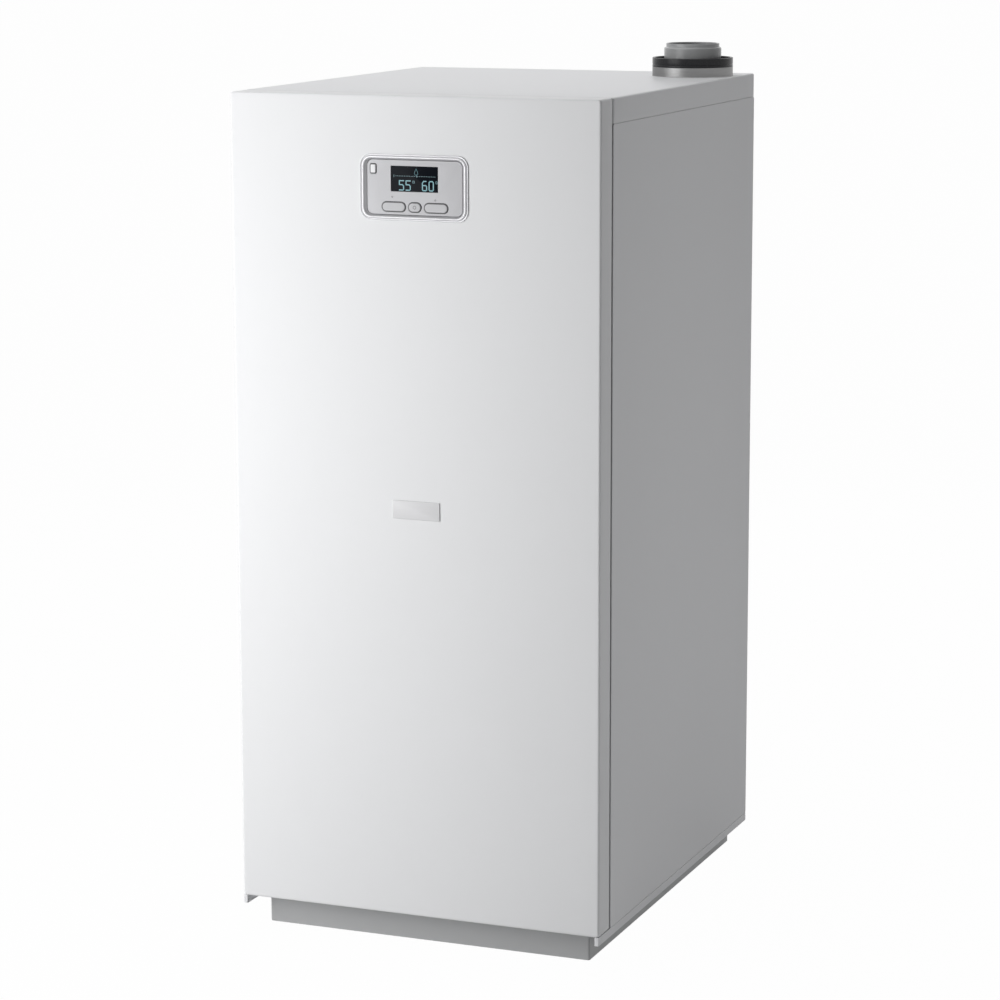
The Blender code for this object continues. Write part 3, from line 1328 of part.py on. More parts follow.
def fan_housing():
    """Scroll of the premix fan: eye in front, shaft hole behind, outlet flange down on the door's neck."""
    half = FAN_DEPTH / 2
    housing = prism("fan_housing", scroll_outline(0, FAN_FOOT), BODY_Y - half, BODY_Y + half)
    low = (BODY_X - NECK_OUTER, BODY_Y - NECK_OUTER, FAN_FOOT)
    high = (BODY_X + NECK_OUTER, BODY_Y + NECK_OUTER, FAN_FOOT + FAN_FLANGE)
    join(housing, box("flange", low, high))
    for turn in range(FAN_LUGS):
        angle = 2 * math.pi * (turn + SHARE_HALF) / FAN_LUGS
        x, z = FAN_X + MOTOR_RADIUS * math.cos(angle), FAN_Z + MOTOR_RADIUS * math.sin(angle)
        start, end = (x, BODY_Y + half - GAP, z), (x, BODY_Y + half + FAN_FLANGE, z)
        join(housing, rod("lug", start, end, NUT_RADIUS, sides=12))
    inside = half - FAN_WALL
    cavity = prism("cavity", scroll_outline(FAN_WALL, FAN_FOOT - OVERRUN), BODY_Y - inside, BODY_Y + inside)
    cut(housing, cavity)
    front, rear = BODY_Y - half - OVERRUN, BODY_Y + half + OVERRUN
    cut(housing, rod("eye", (FAN_X, front, FAN_Z), (FAN_X, BODY_Y, FAN_Z), IMPELLER_EYE, sides=COARSE))
    cut(housing, rod("shaft_hole", (FAN_X, BODY_Y, FAN_Z), (FAN_X, rear, FAN_Z), SHAFT_RADIUS + GAP, sides=16))
    return finish(housing, "fan_housing", CAST_ALUMINIUM)


def blade_outline(angle):
    """One backward-curved blade seen along the shaft: its centre line, thickened to both sides."""
    near, far = [], []
    for step in range(BLADE_STEPS + 1):
        share = step / BLADE_STEPS
        radius = BLADE_ROOT + (IMPELLER_RADIUS - BLADE_THICKNESS - BLADE_ROOT) * share
        bearing = angle + math.radians(BLADE_SWEEP) * share
        half = BLADE_THICKNESS / 2 / radius
        for side, points in ((-1, near), (1, far)):
            turned_by = bearing + side * half
            points.append((FAN_X + radius * math.cos(turned_by), FAN_Z + radius * math.sin(turned_by)))
    return [*near, *reversed(far)]


def impeller():
    """Fan wheel: back plate, hub and shaft in one with a ring of backward-curved blades."""
    rear = BODY_Y + FAN_DEPTH / 2 - FAN_WALL - IMPELLER_GAP
    front = rear - IMPELLER_HEIGHT
    shaft_end = BODY_Y + FAN_DEPTH / 2 + GAP + SHAFT_REACH
    profile = (
        (0, shaft_end),
        (SHAFT_RADIUS, shaft_end),
        (SHAFT_RADIUS, rear),
        (IMPELLER_RADIUS, rear),
        (IMPELLER_RADIUS, rear - BLADE_THICKNESS),
        (HUB_RADIUS, rear - BLADE_THICKNESS),
        (HUB_RADIUS * SHARE_HALF, front),
        (0, front),
    )
    wheel = lathe_back("fan_impeller", profile, (FAN_X, 0, FAN_Z), steps=PLAIN)
    for index in range(FAN_BLADES):
        outline = blade_outline(2 * math.pi * index / FAN_BLADES)
        join(wheel, prism("blade", outline, front, rear - BLADE_THICKNESS / 2))
    return finish(wheel, "fan_impeller", BLACK_PLASTIC, origin=(FAN_X, BODY_Y, FAN_Z))


def lathe_back(name, profile, place, steps=20):
    """A lathe shape whose height runs to the rear, +Y, from its place."""
    item = turned(name, profile, (0, 0, 0), steps=steps)
    item.data.transform(Matrix.Translation(place) @ Matrix.Rotation(-math.pi / 2, 4, "X"))
    return item


def fan_motor():
    """Round motor behind the scroll, with a blind bore for the shaft."""
    front = BODY_Y + FAN_DEPTH / 2 + GAP + FAN_FLANGE
    bore = SHAFT_RADIUS + GAP
    bore_end = BODY_Y + FAN_DEPTH / 2 + 2 * GAP + SHAFT_REACH
    edge = MOTOR_RADIUS * MOTOR_EDGE_SHARE
    profile = (
        (0, front + MOTOR_HEIGHT),
        (MOTOR_RADIUS - edge, front + MOTOR_HEIGHT),
        (MOTOR_RADIUS, front + MOTOR_HEIGHT - edge),
        (MOTOR_RADIUS, front),
        (bore, front),
        (bore, bore_end),
        (0, bore_end),
    )
    motor = lathe_back("fan_motor", profile, (FAN_X, 0, FAN_Z), steps=COARSE)
    for index in range(MOTOR_FINS):
        angle = 2 * math.pi * index / MOTOR_FINS
        x, z = FAN_X + MOTOR_RADIUS * math.cos(angle), FAN_Z + MOTOR_RADIUS * math.sin(angle)
        start, end = (x, front + edge, z), (x, front + MOTOR_HEIGHT - 2 * edge, z)
        cut(motor, rod("slot", start, end, edge / 2, sides=8))
    return finish(motor, "fan_motor", BLACK_PLASTIC)


def gas_air_mixer():
    """Venturi in front of the fan eye, with the gas port on its left."""
    rear = BODY_Y - FAN_DEPTH / 2 - GAP
    throat = IMPELLER_EYE * MIXER_THROAT_SHARE
    wall = FAN_WALL
    outer = IMPELLER_EYE + wall
    profile = (
        (outer, MIXER_LENGTH),
        (outer, 0),
        (IMPELLER_EYE, 0),
        (throat, MIXER_LENGTH * SHARE_HALF),
        (IMPELLER_EYE, MIXER_LENGTH),
    )
    mixer = lathe_forward("gas_air_mixer", profile, (FAN_X, rear, FAN_Z), steps=COARSE)
    y = MIXER_Y
    start, end = (FAN_X - outer + wall * SHARE_HALF, y, FAN_Z), (MIXER_PORT_X, y, FAN_Z)
    join(mixer, rod("port", start, end, GAS_PIPE + wall, sides=16))
    start = (FAN_X - throat + wall, y, FAN_Z)
    cut(mixer, rod("port_bore", start, (MIXER_PORT_X - OVERRUN, y, FAN_Z), GAS_PIPE, sides=16))
    return finish(mixer, "gas_air_mixer", CAST_ALUMINIUM)


def gas_valve():
    """Valve block with two coils on top and a round pressure regulator below."""
    right = MIXER_PORT_X - GAP
    left = right - VALVE_LENGTH
    half = VALVE_WIDTH / 2
    block = box(
        "gas_valve",
        (left, MIXER_Y - half, FAN_Z - half),
        (right, MIXER_Y + half, FAN_Z + half),
    )
    for share in VALVE_COIL_SHARES:
        x = left + VALVE_LENGTH * share
        low, high = (x, MIXER_Y, FAN_Z + half - GAP), (x, MIXER_Y, FAN_Z + half + VALVE_COIL)
        join(block, rod("coil", low, high, half * VALVE_COIL_WIDTH_SHARE, sides=20))
    x = (left + right) / 2
    low, high = (x, MIXER_Y - half - VALVE_COIL / 2, FAN_Z), (x, MIXER_Y - half + GAP, FAN_Z)
    join(block, rod("regulator", low, high, half * VALVE_REGULATOR_SHARE, sides=COARSE))
    return finish(block, "gas_valve", BRASS)


def gas_pipe():
    """Steel pipe from the rear connection along the left side to the valve."""
    left = MIXER_PORT_X - GAP - VALVE_LENGTH - GAP
    corners = [(GAS_X, CONNECTION_END, GAS_Z), (GAS_X, MIXER_Y, GAS_Z), (left, MIXER_Y, GAS_Z)]
    pipe = pipe_of("gas_pipe", corners, GAS_PIPE * PIPE_BEND_SHARE, GAS_PIPE, PIPE_WALL)
    return finish(pipe, "gas_pipe", YELLOW_PAINT)


def air_intake():
    """Hose from the mixer up behind the control box, and the silencer at its end."""
    start_y = BODY_Y - FAN_DEPTH / 2 - GAP - MIXER_LENGTH - GAP
    corners = [(FAN_X, start_y, FAN_Z), (FAN_X, INTAKE_Y, FAN_Z), (FAN_X, INTAKE_Y, INTAKE_Z), (INTAKE_X, INTAKE_Y, INTAKE_Z)]
    hose = pipe_of("air_intake_hose", corners, INTAKE_RADIUS * INTAKE_BEND_SHARE, INTAKE_RADIUS, FAN_WALL, resolution=5)
    hose = settle(hose)
    bore, cuff = INTAKE_RADIUS - FAN_WALL / 2, IMPELLER_EYE + FAN_WALL
    ring = ((cuff, INTAKE_CUFF), (cuff, 0), (bore, 0), (bore, INTAKE_CUFF))
    join(hose, lathe_forward("cuff", ring, (FAN_X, start_y, FAN_Z), steps=PLAIN + 1))
    shape = (
        (SILENCER_RADIUS - FAN_WALL, SILENCER_LENGTH),
        (SILENCER_RADIUS, SILENCER_LENGTH - FAN_WALL),
        (SILENCER_RADIUS, FAN_WALL),
        (SILENCER_RADIUS - FAN_WALL, 0),
        (INTAKE_RADIUS - FAN_WALL / 2, 0),
        (INTAKE_RADIUS - FAN_WALL / 2, SILENCER_LENGTH),
    )
    silencer = turned("silencer", shape, (0, 0, 0), steps=PLAIN + 1)
    place = (INTAKE_X - SILENCER_SEAT, INTAKE_Y, INTAKE_Z)
    silencer.data.transform(Matrix.Translation(place) @ Matrix.Rotation(math.pi / 2, 4, "Y"))
    join(hose, silencer)
    finish(hose, "air_intake_hose", BLACK_PLASTIC)


def water_pipes():
    """Flow and return stubs from the vessel wall through the rear panel, each with a union ring at its end."""
    for name, z in (("flow_pipe", FLOW_Z), ("return_pipe", RETURN_Z)):
        start = BODY_Y + math.sqrt((VESSEL_RADIUS - VESSEL_WALL) ** 2 - WATER_PIPE**2) - GAP
        bore = WATER_PIPE - PIPE_WALL
        shape = (
            (WATER_PIPE, start),
            (bore, start),
            (bore, CONNECTION_END),
            (WATER_PIPE + UNION_RISE, CONNECTION_END),
            (WATER_PIPE + UNION_RISE, CONNECTION_END - UNION_LENGTH),
            (WATER_PIPE, CONNECTION_END - UNION_LENGTH - UNION_RISE),
        )
        finish(lathe_back(name, shape, (BODY_X, 0, z), steps=24), name, BRASS)



def condensate_trap():
    """Trap cup on the floor pan, its hose from the sump and its outlet pipe to the rear."""
    foot, top = CASING_FOOT, CASING_FOOT + TRAP_HEIGHT
    cup = (
        (0, top + TRAP_KNOB),
        (TRAP_RADIUS / 2, top + TRAP_KNOB),
        (TRAP_RADIUS / 2, top),
        (TRAP_RADIUS - TRAP_STEP, top),
        (TRAP_RADIUS, top - TRAP_STEP),
        (TRAP_RADIUS, foot + TRAP_STEP),
        (TRAP_RADIUS - TRAP_STEP, foot),
        (0, foot),
    )
    finish(turned("condensate_trap", cup, (TRAP_X, TRAP_Y, 0), steps=PLAIN), "condensate_trap", GREY_PLASTIC)
    nozzle_end = SUMP_FOOT - NOZZLE_DROP - GAP
    middle, trap = Vector((BODY_X, BODY_Y, 0)), Vector((TRAP_X, TRAP_Y, 0))
    to_trap = (trap - middle).normalized()
    rise = Vector((0, 0, HOSE_Z))
    hose_end = trap - to_trap * (TRAP_RADIUS + GAP) + rise
    corners = [(BODY_X, BODY_Y, nozzle_end), middle + rise, hose_end]
    hose = pipe_of("condensate_hose", corners, nozzle_end - HOSE_Z - HOSE_RUN, CONDENSATE_PIPE, PIPE_WALL)
    finish(hose, "condensate_hose", BLACK_RUBBER)
    start = TRAP_Y + TRAP_RADIUS + GAP
    bore = CONDENSATE_PIPE - PIPE_WALL
    shape = ((CONDENSATE_PIPE, start), (bore, start), (bore, CONNECTION_END), (CONDENSATE_PIPE, CONNECTION_END))
    outlet = lathe_back("condensate_outlet", shape, (TRAP_X, 0, DRAIN_OUT_Z), steps=16)
    finish(outlet, "condensate_outlet", GREY_PLASTIC)


def drain_valve():
    """Drain cock at the foot of the vessel: body with hose nozzle, and the lever on its stem."""
    start = math.sqrt((VESSEL_RADIUS - VESSEL_WALL) ** 2 - DRAIN_RADIUS**2) + GAP
    nozzle = JACKET_RADIUS + DRAIN_REACH
    nut = DRAIN_RADIUS + UNION_RISE
    bore = DRAIN_RADIUS - DRAIN_WALL
    shape = (
        (bore, nozzle),
        (DRAIN_RADIUS - GAP, nozzle),
        (DRAIN_RADIUS, nozzle - UNION_RISE),
        (DRAIN_RADIUS, DRAIN_LEVER + UNION_LENGTH / 2),
        (nut, DRAIN_LEVER + UNION_LENGTH / 2),
        (nut, DRAIN_LEVER - UNION_LENGTH / 2),
        (DRAIN_RADIUS, DRAIN_LEVER - UNION_LENGTH / 2),
        (DRAIN_RADIUS, start),
        (bore, start),
    )
    body = lathe_forward("drain_valve_body", shape, (BODY_X, BODY_Y, DRAIN_Z), steps=24)
    lever_y = BODY_Y - DRAIN_LEVER
    stem_foot, stem_top = DRAIN_Z + bore + DRAIN_WALL / 2, DRAIN_Z + nut + STEM_RISE
    join(body, rod("stem", (BODY_X, lever_y, stem_foot), (BODY_X, lever_y, stem_top), STEM_RADIUS, sides=16))
    finish(body, "drain_valve_body", BRASS)
    hub_foot = stem_top + GAP
    hub_top = hub_foot + LEVER_THICKNESS
    pivot = (BODY_X, lever_y, hub_foot)
    lever = rod("drain_lever", pivot, (BODY_X, lever_y, hub_top), STEM_RADIUS * 2, sides=COARSE)
    sections = []
    for share, half in LEVER_SHARES:
        x = BODY_X - LEVER_LENGTH * share
        half_width = STEM_RADIUS * half
        low, high = hub_foot, hub_top - LEVER_THICKNESS * share * SHARE_HALF
        sections.append(
            [
                (x, lever_y - half_width, low),
                (x, lever_y + half_width, low),
                (x, lever_y + half_width, high),
                (x, lever_y - half_width, high),
            ]
        )
    join(lever, loft("arm", sections))
    finish(lever, "drain_lever", RED_PLASTIC, origin=pivot)


def vessel_fittings():
    """Automatic air vent and temperature sensor on the top flange of the vessel."""
    foot = VESSEL_TOP + GAP
    vent = (
        (0, foot + VENT_HEIGHT),
        (VENT_CAP, foot + VENT_HEIGHT),
        (VENT_CAP, foot + VENT_HEIGHT * VENT_CAP_SHARE),
        (VENT_RADIUS * VENT_CROWN_SHARE, foot + VENT_HEIGHT * VENT_CAP_SHARE),
        (VENT_RADIUS, foot + VENT_HEIGHT * VENT_CROWN_SHARE),
        (VENT_RADIUS, foot + VENT_HEIGHT * VENT_NECK_SHARE),
        (VENT_CAP, foot + VENT_HEIGHT * VENT_NECK_SHARE * VENT_CROWN_SHARE),
        (VENT_CAP, foot),
        (0, foot),
    )
    place = around(FITTING_RADIUS, VENT_BEARING, 0)
    finish(turned("air_vent", vent, place, steps=20), "air_vent", BRASS)
    place = around(FITTING_RADIUS, SENSOR_BEARING, 0)
    probe = (
        (0, foot + SENSOR_HEIGHT),
        (LOOM_RADIUS, foot + SENSOR_HEIGHT),
        (SENSOR_RADIUS, foot + SENSOR_HEIGHT * SHARE_HALF),
        (SENSOR_RADIUS, foot),
        (0, foot),
    )
    finish(turned("flow_temperature_sensor", probe, place, steps=12), "flow_temperature_sensor", BLACK_PLASTIC)


def wiring():
    """Fan lead from under the control box, and the cable gland in the rear panel."""
    lead_y = BOX_FRONT + BOX_DEPTH / 2
    under = BOX_FOOT - GAP
    level = FAN_Z + LEAD_OFFSET
    reach = math.sqrt(MOTOR_RADIUS**2 - (LEAD_OFFSET - LOOM_RADIUS) ** 2)
    end_x, motor_y = FAN_X - reach - GAP, BODY_Y + FAN_DEPTH / 2 + GAP + FAN_FLANGE + MOTOR_HEIGHT / 2
    corners = [
        (LEAD_X, lead_y, under),
        (LEAD_X, lead_y, level),
        (LEAD_X, motor_y, level),
        (end_x, motor_y, level),
    ]
    lead = tube("fan_lead", bent_points(corners, LEAD_BEND), LOOM_RADIUS)
    finish(lead, "fan_lead", BLACK_RUBBER)
    inside = REAR_FACE - SHEET - GAP
    nut = GLAND_THREAD + UNION_RISE
    shape = (
        (GLAND_THREAD, REAR_FACE + UNION_LENGTH + GLAND_THREAD),
        (nut, REAR_FACE + UNION_LENGTH),
        (nut, REAR_FACE + GAP),
        (GLAND_THREAD, REAR_FACE + GAP),
        (GLAND_THREAD, inside),
        (nut, inside),
        (nut, inside - UNION_LENGTH / 2),
        (GLAND_BORE, inside - UNION_LENGTH / 2),
        (GLAND_BORE, REAR_FACE + UNION_LENGTH + GLAND_THREAD),
    )
    gland = lathe_back("mains_gland", shape, (GLAND_X, 0, GLAND_Z), steps=20)
    finish(gland, "mains_gland", BLACK_PLASTIC)


clear_scene()
PARTS = new_collection(COLLECTION)
CUTTERS = new_collection("cutters")
CUTTERS.hide_render = True

WHITE_PAINT = new_material("white powder coat", (0.76, 0.77, 0.78), 0.38)
DARK_STEEL = new_material("dark plinth steel", (0.20, 0.205, 0.21), 0.5, 0.1)
GALVANISED = new_material("galvanised sheet", (0.52, 0.53, 0.54), 0.45, 0.8)
SILVER_PLASTIC = new_material("silver lacquered plastic", (0.56, 0.56, 0.58), 0.35, 0.3)
KEY_PLASTIC = new_material("light key plastic", (0.66, 0.66, 0.68), 0.4)
BLACK_PLASTIC = new_material("black plastic", (0.02, 0.02, 0.022), 0.45)
GREY_PLASTIC = new_material("light grey exhaust plastic", (0.50, 0.51, 0.52), 0.45)
BLACK_GLASS = new_material("display glass", (0.004, 0.006, 0.009), 0.08)
BOARD_GREEN = new_material("circuit board", (0.02, 0.16, 0.06), 0.4)
BLACK_RUBBER = new_material("black rubber", (0.025, 0.025, 0.025), 0.8)
STAINLESS = new_material("stainless steel", (0.58, 0.58, 0.57), 0.28, 1.0)
CAST_ALUMINIUM = new_material("cast aluminium", (0.56, 0.57, 0.58), 0.5, 0.9)
BRASS = new_material("brass", (0.62, 0.45, 0.20), 0.32, 1.0)
GREY_FOAM = new_material("grey foam", (0.16, 0.17, 0.18), 0.9)
SEAL_FIBRE = new_material("gasket fibre", (0.70, 0.67, 0.60), 0.9)
CERAMIC = new_material("ceramic", (0.82, 0.81, 0.77), 0.35)
YELLOW_PAINT = new_material("yellow gas pipe paint", (0.72, 0.50, 0.03), 0.4)
RED_PLASTIC = new_material("red lever coating", (0.55, 0.03, 0.02), 0.4)

plinth()
base_pan()
feet()
side_panels()
rear_panel()
top_cover()
front_panel()
window_frame()
badge_plate()
front_rails()
control_box()
control_cover()
control_electronics()
display_screen()
display_module()
keys()
vessel_stand()
condensate_sump()
tube_bundle()
combustion_chamber()
vessel_shell()
insulation()
door_seal()
burner()
burner_door()
electrode()
fan_housing()
impeller()
fan_motor()
gas_air_mixer()
gas_valve()
gas_pipe()
air_intake()
water_pipes()
condensate_trap()
drain_valve()
vessel_fittings()
flue_collar()
flue_spider()
flue_pipes()
wiring()
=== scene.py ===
"""Looks of a floor standing gas boiler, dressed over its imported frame.

Metres, Z up, the front with the control panel looks to -Y. Each section holds one piece or one group of like
pieces.
"""

import json
import math

import bpy
import numpy as np
from mathutils import Matrix, Vector

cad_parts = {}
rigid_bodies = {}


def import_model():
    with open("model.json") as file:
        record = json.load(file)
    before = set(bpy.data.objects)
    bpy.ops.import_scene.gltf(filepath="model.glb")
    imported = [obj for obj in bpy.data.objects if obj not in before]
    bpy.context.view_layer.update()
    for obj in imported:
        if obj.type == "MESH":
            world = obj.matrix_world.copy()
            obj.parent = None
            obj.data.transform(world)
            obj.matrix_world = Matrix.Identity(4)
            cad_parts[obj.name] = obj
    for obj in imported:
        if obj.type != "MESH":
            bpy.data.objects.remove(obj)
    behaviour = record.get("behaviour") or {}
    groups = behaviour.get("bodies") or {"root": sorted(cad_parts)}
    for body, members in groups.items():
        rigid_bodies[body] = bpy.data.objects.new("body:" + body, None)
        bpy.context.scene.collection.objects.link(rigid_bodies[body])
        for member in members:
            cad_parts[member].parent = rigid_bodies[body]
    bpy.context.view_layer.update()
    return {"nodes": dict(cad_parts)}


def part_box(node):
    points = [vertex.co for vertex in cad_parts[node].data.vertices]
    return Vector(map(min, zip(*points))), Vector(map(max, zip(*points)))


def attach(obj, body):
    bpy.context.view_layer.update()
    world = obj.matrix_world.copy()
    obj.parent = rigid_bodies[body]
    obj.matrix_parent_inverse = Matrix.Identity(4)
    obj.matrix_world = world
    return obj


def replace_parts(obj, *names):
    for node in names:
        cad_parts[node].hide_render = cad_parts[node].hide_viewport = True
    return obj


for leftover in list(bpy.data.objects):
    bpy.data.objects.remove(leftover, do_unlink=True)
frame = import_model()
nodes = frame["nodes"]

# Front panel
# The door sheet: 1.5 mm steel folded back on four sides into a tray and powder coated white.
# It hangs on ball catches, and its window is pressed out for the control panel's trim ring.
SHEET = 0.0015
FOLD = 0.0030


def box_of(node):
    """The low and the high corner of a node's box in the frame, as arrays."""
    low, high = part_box(node)
    return np.array(low), np.array(high)


panel_low, panel_high = box_of("front_panel")
HALF_WIDTH = panel_high[0]
FRONT_Y = panel_low[1]
CASING_FOOT, CASING_TOP = panel_low[2], panel_high[2]
frame_low, frame_high = box_of("control_window_frame")
PANEL_MIDDLE = ((frame_low[0] + frame_high[0]) / 2, (frame_low[2] + frame_high[2]) / 2)


def outline(width, height, radius, middle, depth, corner=8, side=10):
    """A rounded rectangle upright at one depth, as (N, 3) points.

    Each quarter is an arc, centre + radius * (cos a, sin a), followed by evenly spaced points along the next
    side. A round end keeps a short straight side, so that the outline never crosses itself.
    """
    radius = min(radius, 0.49 * width, 0.49 * height)
    centre = np.array([[1, 1], [-1, 1], [-1, -1], [1, -1]]) * (np.array([width, height]) / 2 - radius)
    turn = (np.arange(4)[:, None] + np.linspace(0, 1, corner + 1)) * np.pi / 2
    arcs = centre[:, None] + radius * np.stack([np.cos(turn), np.sin(turn)], -1)
    share = np.linspace(0, 1, side + 1)[1:-1, None]
    sides = arcs[:, -1:] * (1 - share) + np.roll(arcs[:, :1], -1, 0) * share
    flat = np.concatenate([arcs, sides], 1).reshape(-1, 2)
    return np.stack([flat[:, 0] + middle[0], np.full(len(flat), depth), flat[:, 1] + middle[1]], -1)


def surface(name, rows, loop=False, caps=False, sharp=32, brace=0.0):
    """A mesh object over a grid of points (rows, around, 3) that closes round each row.

    Loop joins the last row to the first. Caps closes the two end rows with one flat face each. Brace puts one
    more row inside each cap, drawn to its middle by that share, so that the cap is shaded flat.
    """
    rows = np.asarray(rows, float)
    if brace:
        first, last = (row + (row.mean(0) - row) * brace for row in (rows[0], rows[-1]))
        rows = np.concatenate([first[None], rows, last[None]])
    count, around = rows.shape[:2]
    index = np.arange(count * around).reshape(count, around)
    low = index if loop else index[:-1]
    high = np.roll(index, -1, 0) if loop else index[1:]
    faces = np.stack([low, np.roll(low, -1, 1), np.roll(high, -1, 1), high], -1).reshape(-1, 4)
    ends = [index[0][::-1].tolist(), index[-1].tolist()] if caps else []
    mesh = bpy.data.meshes.new(name)
    mesh.from_pydata(rows.reshape(-1, 3).tolist(), [], faces.tolist() + ends)
    mesh.shade_smooth()
    mesh.set_sharp_from_angle(angle=math.radians(sharp))
    mesh.update()
    piece = bpy.data.objects.new(name, mesh)
    bpy.context.scene.collection.objects.link(piece)
    volume = np.einsum("ij,ij->i", np.cross(*corners_of(mesh)[:2]), corners_of(mesh)[2]).sum()
    if volume < 0:
        mesh.flip_normals()
    return piece


def corners_of(mesh):
    """The first, second and third corners of every triangle, as three (T, 3) arrays."""
    mesh.calc_loop_triangles()
    points = np.empty(len(mesh.vertices) * 3)
    mesh.vertices.foreach_get("co", points)
    index = np.empty(len(mesh.loop_triangles) * 3, np.int32)
    mesh.loop_triangles.foreach_get("vertices", index)
    return np.moveaxis(points.reshape(-1, 3)[index.reshape(-1, 3)], 1, 0)


def surface_group():
    """Node group for what a coat or a casting shows close up: a broad cloud of tone, and grain from two
    noises."""
    group = bpy.data.node_groups.new("coat_variation", "ShaderNodeTree")
    for label, kind in (
        ("Vector", "NodeSocketVector"), ("Cloud Scale", "NodeSocketFloat"),
        ("Grain Scale", "NodeSocketFloat"),
    ):
        group.interface.new_socket(label, in_out="INPUT", socket_type=kind)
    for label in ("Cloud", "Grain"):
        group.interface.new_socket(label, in_out="OUTPUT", socket_type="NodeSocketFloat")
    source = group.nodes.new("NodeGroupInput")
    out = group.nodes.new("NodeGroupOutput")
    cloud = group.nodes.new("ShaderNodeTexNoise")
    cloud.inputs["Detail"].default_value = 3
    grain = group.nodes.new("ShaderNodeTexNoise")
    grain.inputs["Detail"].default_value = 4
    grain.inputs["Roughness"].default_value = 0.6
    for noise, scale in ((cloud, "Cloud Scale"), (grain, "Grain Scale")):
        group.links.new(source.outputs["Vector"], noise.inputs["Vector"])
        group.links.new(source.outputs[scale], noise.inputs["Scale"])
    group.links.new(cloud.outputs["Fac"], out.inputs["Cloud"])
    group.links.new(grain.outputs["Fac"], out.inputs["Grain"])
    return group


COAT_VARIATION = surface_group()


def finish_of(
    name, colour, shade, rough, grain, bump, metallic=0.0, cloud=6.0, stretch=(1, 1, 1), rough_span=0.05,
    gloss=0.5,
):
    """A Principled finish. Its colour runs from shade to colour with the cloud, its roughness swings by
    rough_span with the grain, and the grain stands bump metres high. Stretch draws the pattern out along
    an axis, as brushing does, and gloss is the share of mirror light."""
    material = bpy.data.materials.new(name)
    material.use_nodes = True
    tree = material.node_tree
    shader = tree.nodes["Principled BSDF"]
    place = tree.nodes.new("ShaderNodeTexCoord")
    scale = tree.nodes.new("ShaderNodeMapping")
    scale.inputs["Scale"].default_value = stretch
    tree.links.new(place.outputs["Object"], scale.inputs["Vector"])
    look = tree.nodes.new("ShaderNodeGroup")
    look.node_tree = COAT_VARIATION
    look.inputs["Cloud Scale"].default_value = cloud
    look.inputs["Grain Scale"].default_value = grain
    tree.links.new(scale.outputs["Vector"], look.inputs["Vector"])
    tone = tree.nodes.new("ShaderNodeMix")
    tone.data_type = "RGBA"
    tone.inputs["A"].default_value = (*shade, 1)
    tone.inputs["B"].default_value = (*colour, 1)
    tree.links.new(look.outputs["Cloud"], tone.inputs["Factor"])
    tree.links.new(tone.outputs["Result"], shader.inputs["Base Color"])
    swing = tree.nodes.new("ShaderNodeMapRange")
    swing.inputs["To Min"].default_value = rough - rough_span
    swing.inputs["To Max"].default_value = rough + rough_span
    tree.links.new(look.outputs["Grain"], swing.inputs["Value"])
    tree.links.new(swing.outputs["Result"], shader.inputs["Roughness"])
    relief = tree.nodes.new("ShaderNodeBump")
    relief.inputs["Strength"].default_value = 0.6
    relief.inputs["Distance"].default_value = bump
    tree.links.new(look.outputs["Grain"], relief.inputs["Height"])
    tree.links.new(relief.outputs["Normal"], shader.inputs["Normal"])
    shader.inputs["Metallic"].default_value = metallic
    shader.inputs["Specular IOR Level"].default_value = gloss
    return material


def wear(piece, material):
    """The piece takes this one finish in place of what it had."""
    piece.data.materials.clear()
    piece.data.materials.append(material)
    return piece


WHITE_COAT = finish_of(
    "white_powder_coat", (0.81, 0.815, 0.825), (0.785, 0.79, 0.80), 0.36, 420, 0.00002, cloud=2.5, gloss=0.15,
)


def front_panel_rows():
    """Rows from the back edge of the window, out over the front, round the fold and back along the inside of
    the tray.

    The flat front is the straight blend of the window's outline into the panel's, and the fold is a quarter
    circle.
    """
    window = (frame_high[0] - frame_low[0] - 0.0054, frame_high[2] - frame_low[2] - 0.0054, 0.0135)
    middle = (0, (CASING_FOOT + CASING_TOP) / 2)
    wide, tall = 2 * HALF_WIDTH, CASING_TOP - CASING_FOOT

    def opening(grow, depth):
        return outline(
            window[0] + 2 * grow, window[1] + 2 * grow, window[2] + grow, PANEL_MIDDLE, FRONT_Y + depth,
        )

    def tray(inset, depth, radius=0.0042):
        return outline(
            wide - 2 * inset, tall - 2 * inset, max(radius - inset, 0.0006), middle, FRONT_Y + depth,
        )

    rows = [
        opening(0.002, SHEET), opening(0, SHEET), opening(0, 0.0005), opening(0.0005, 0), opening(0.002, 0),
    ]
    rows += [tray(0.0045, 0)] + [
        tray(FOLD * (1 - math.sin(a)), FOLD * (1 - math.cos(a))) for a in np.linspace(0, math.pi / 2, 7)
    ]
    rows += [tray(0, 0.0434), tray(0.0004, 0.0438), tray(SHEET, 0.0438), tray(SHEET, FOLD)]
    rows += [tray(FOLD, SHEET), tray(FOLD + 0.001, SHEET)]
    return rows


front_panel = wear(surface("front_panel_sheet", front_panel_rows(), loop=True), WHITE_COAT)
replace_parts(front_panel, "front_panel")
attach(front_panel, "front_panel")

# Ball studs
# Four ball-headed studs riveted behind the door sheet, which snap into the catches on the rails.
# They are turned from steel and zinc plated.
STUD_X = 0.225
ZINC = finish_of(
    "zinc_plating", (0.62, 0.63, 0.66), (0.52, 0.52, 0.50), 0.32, 300, 0.00001, metallic=1.0, cloud=60,
)


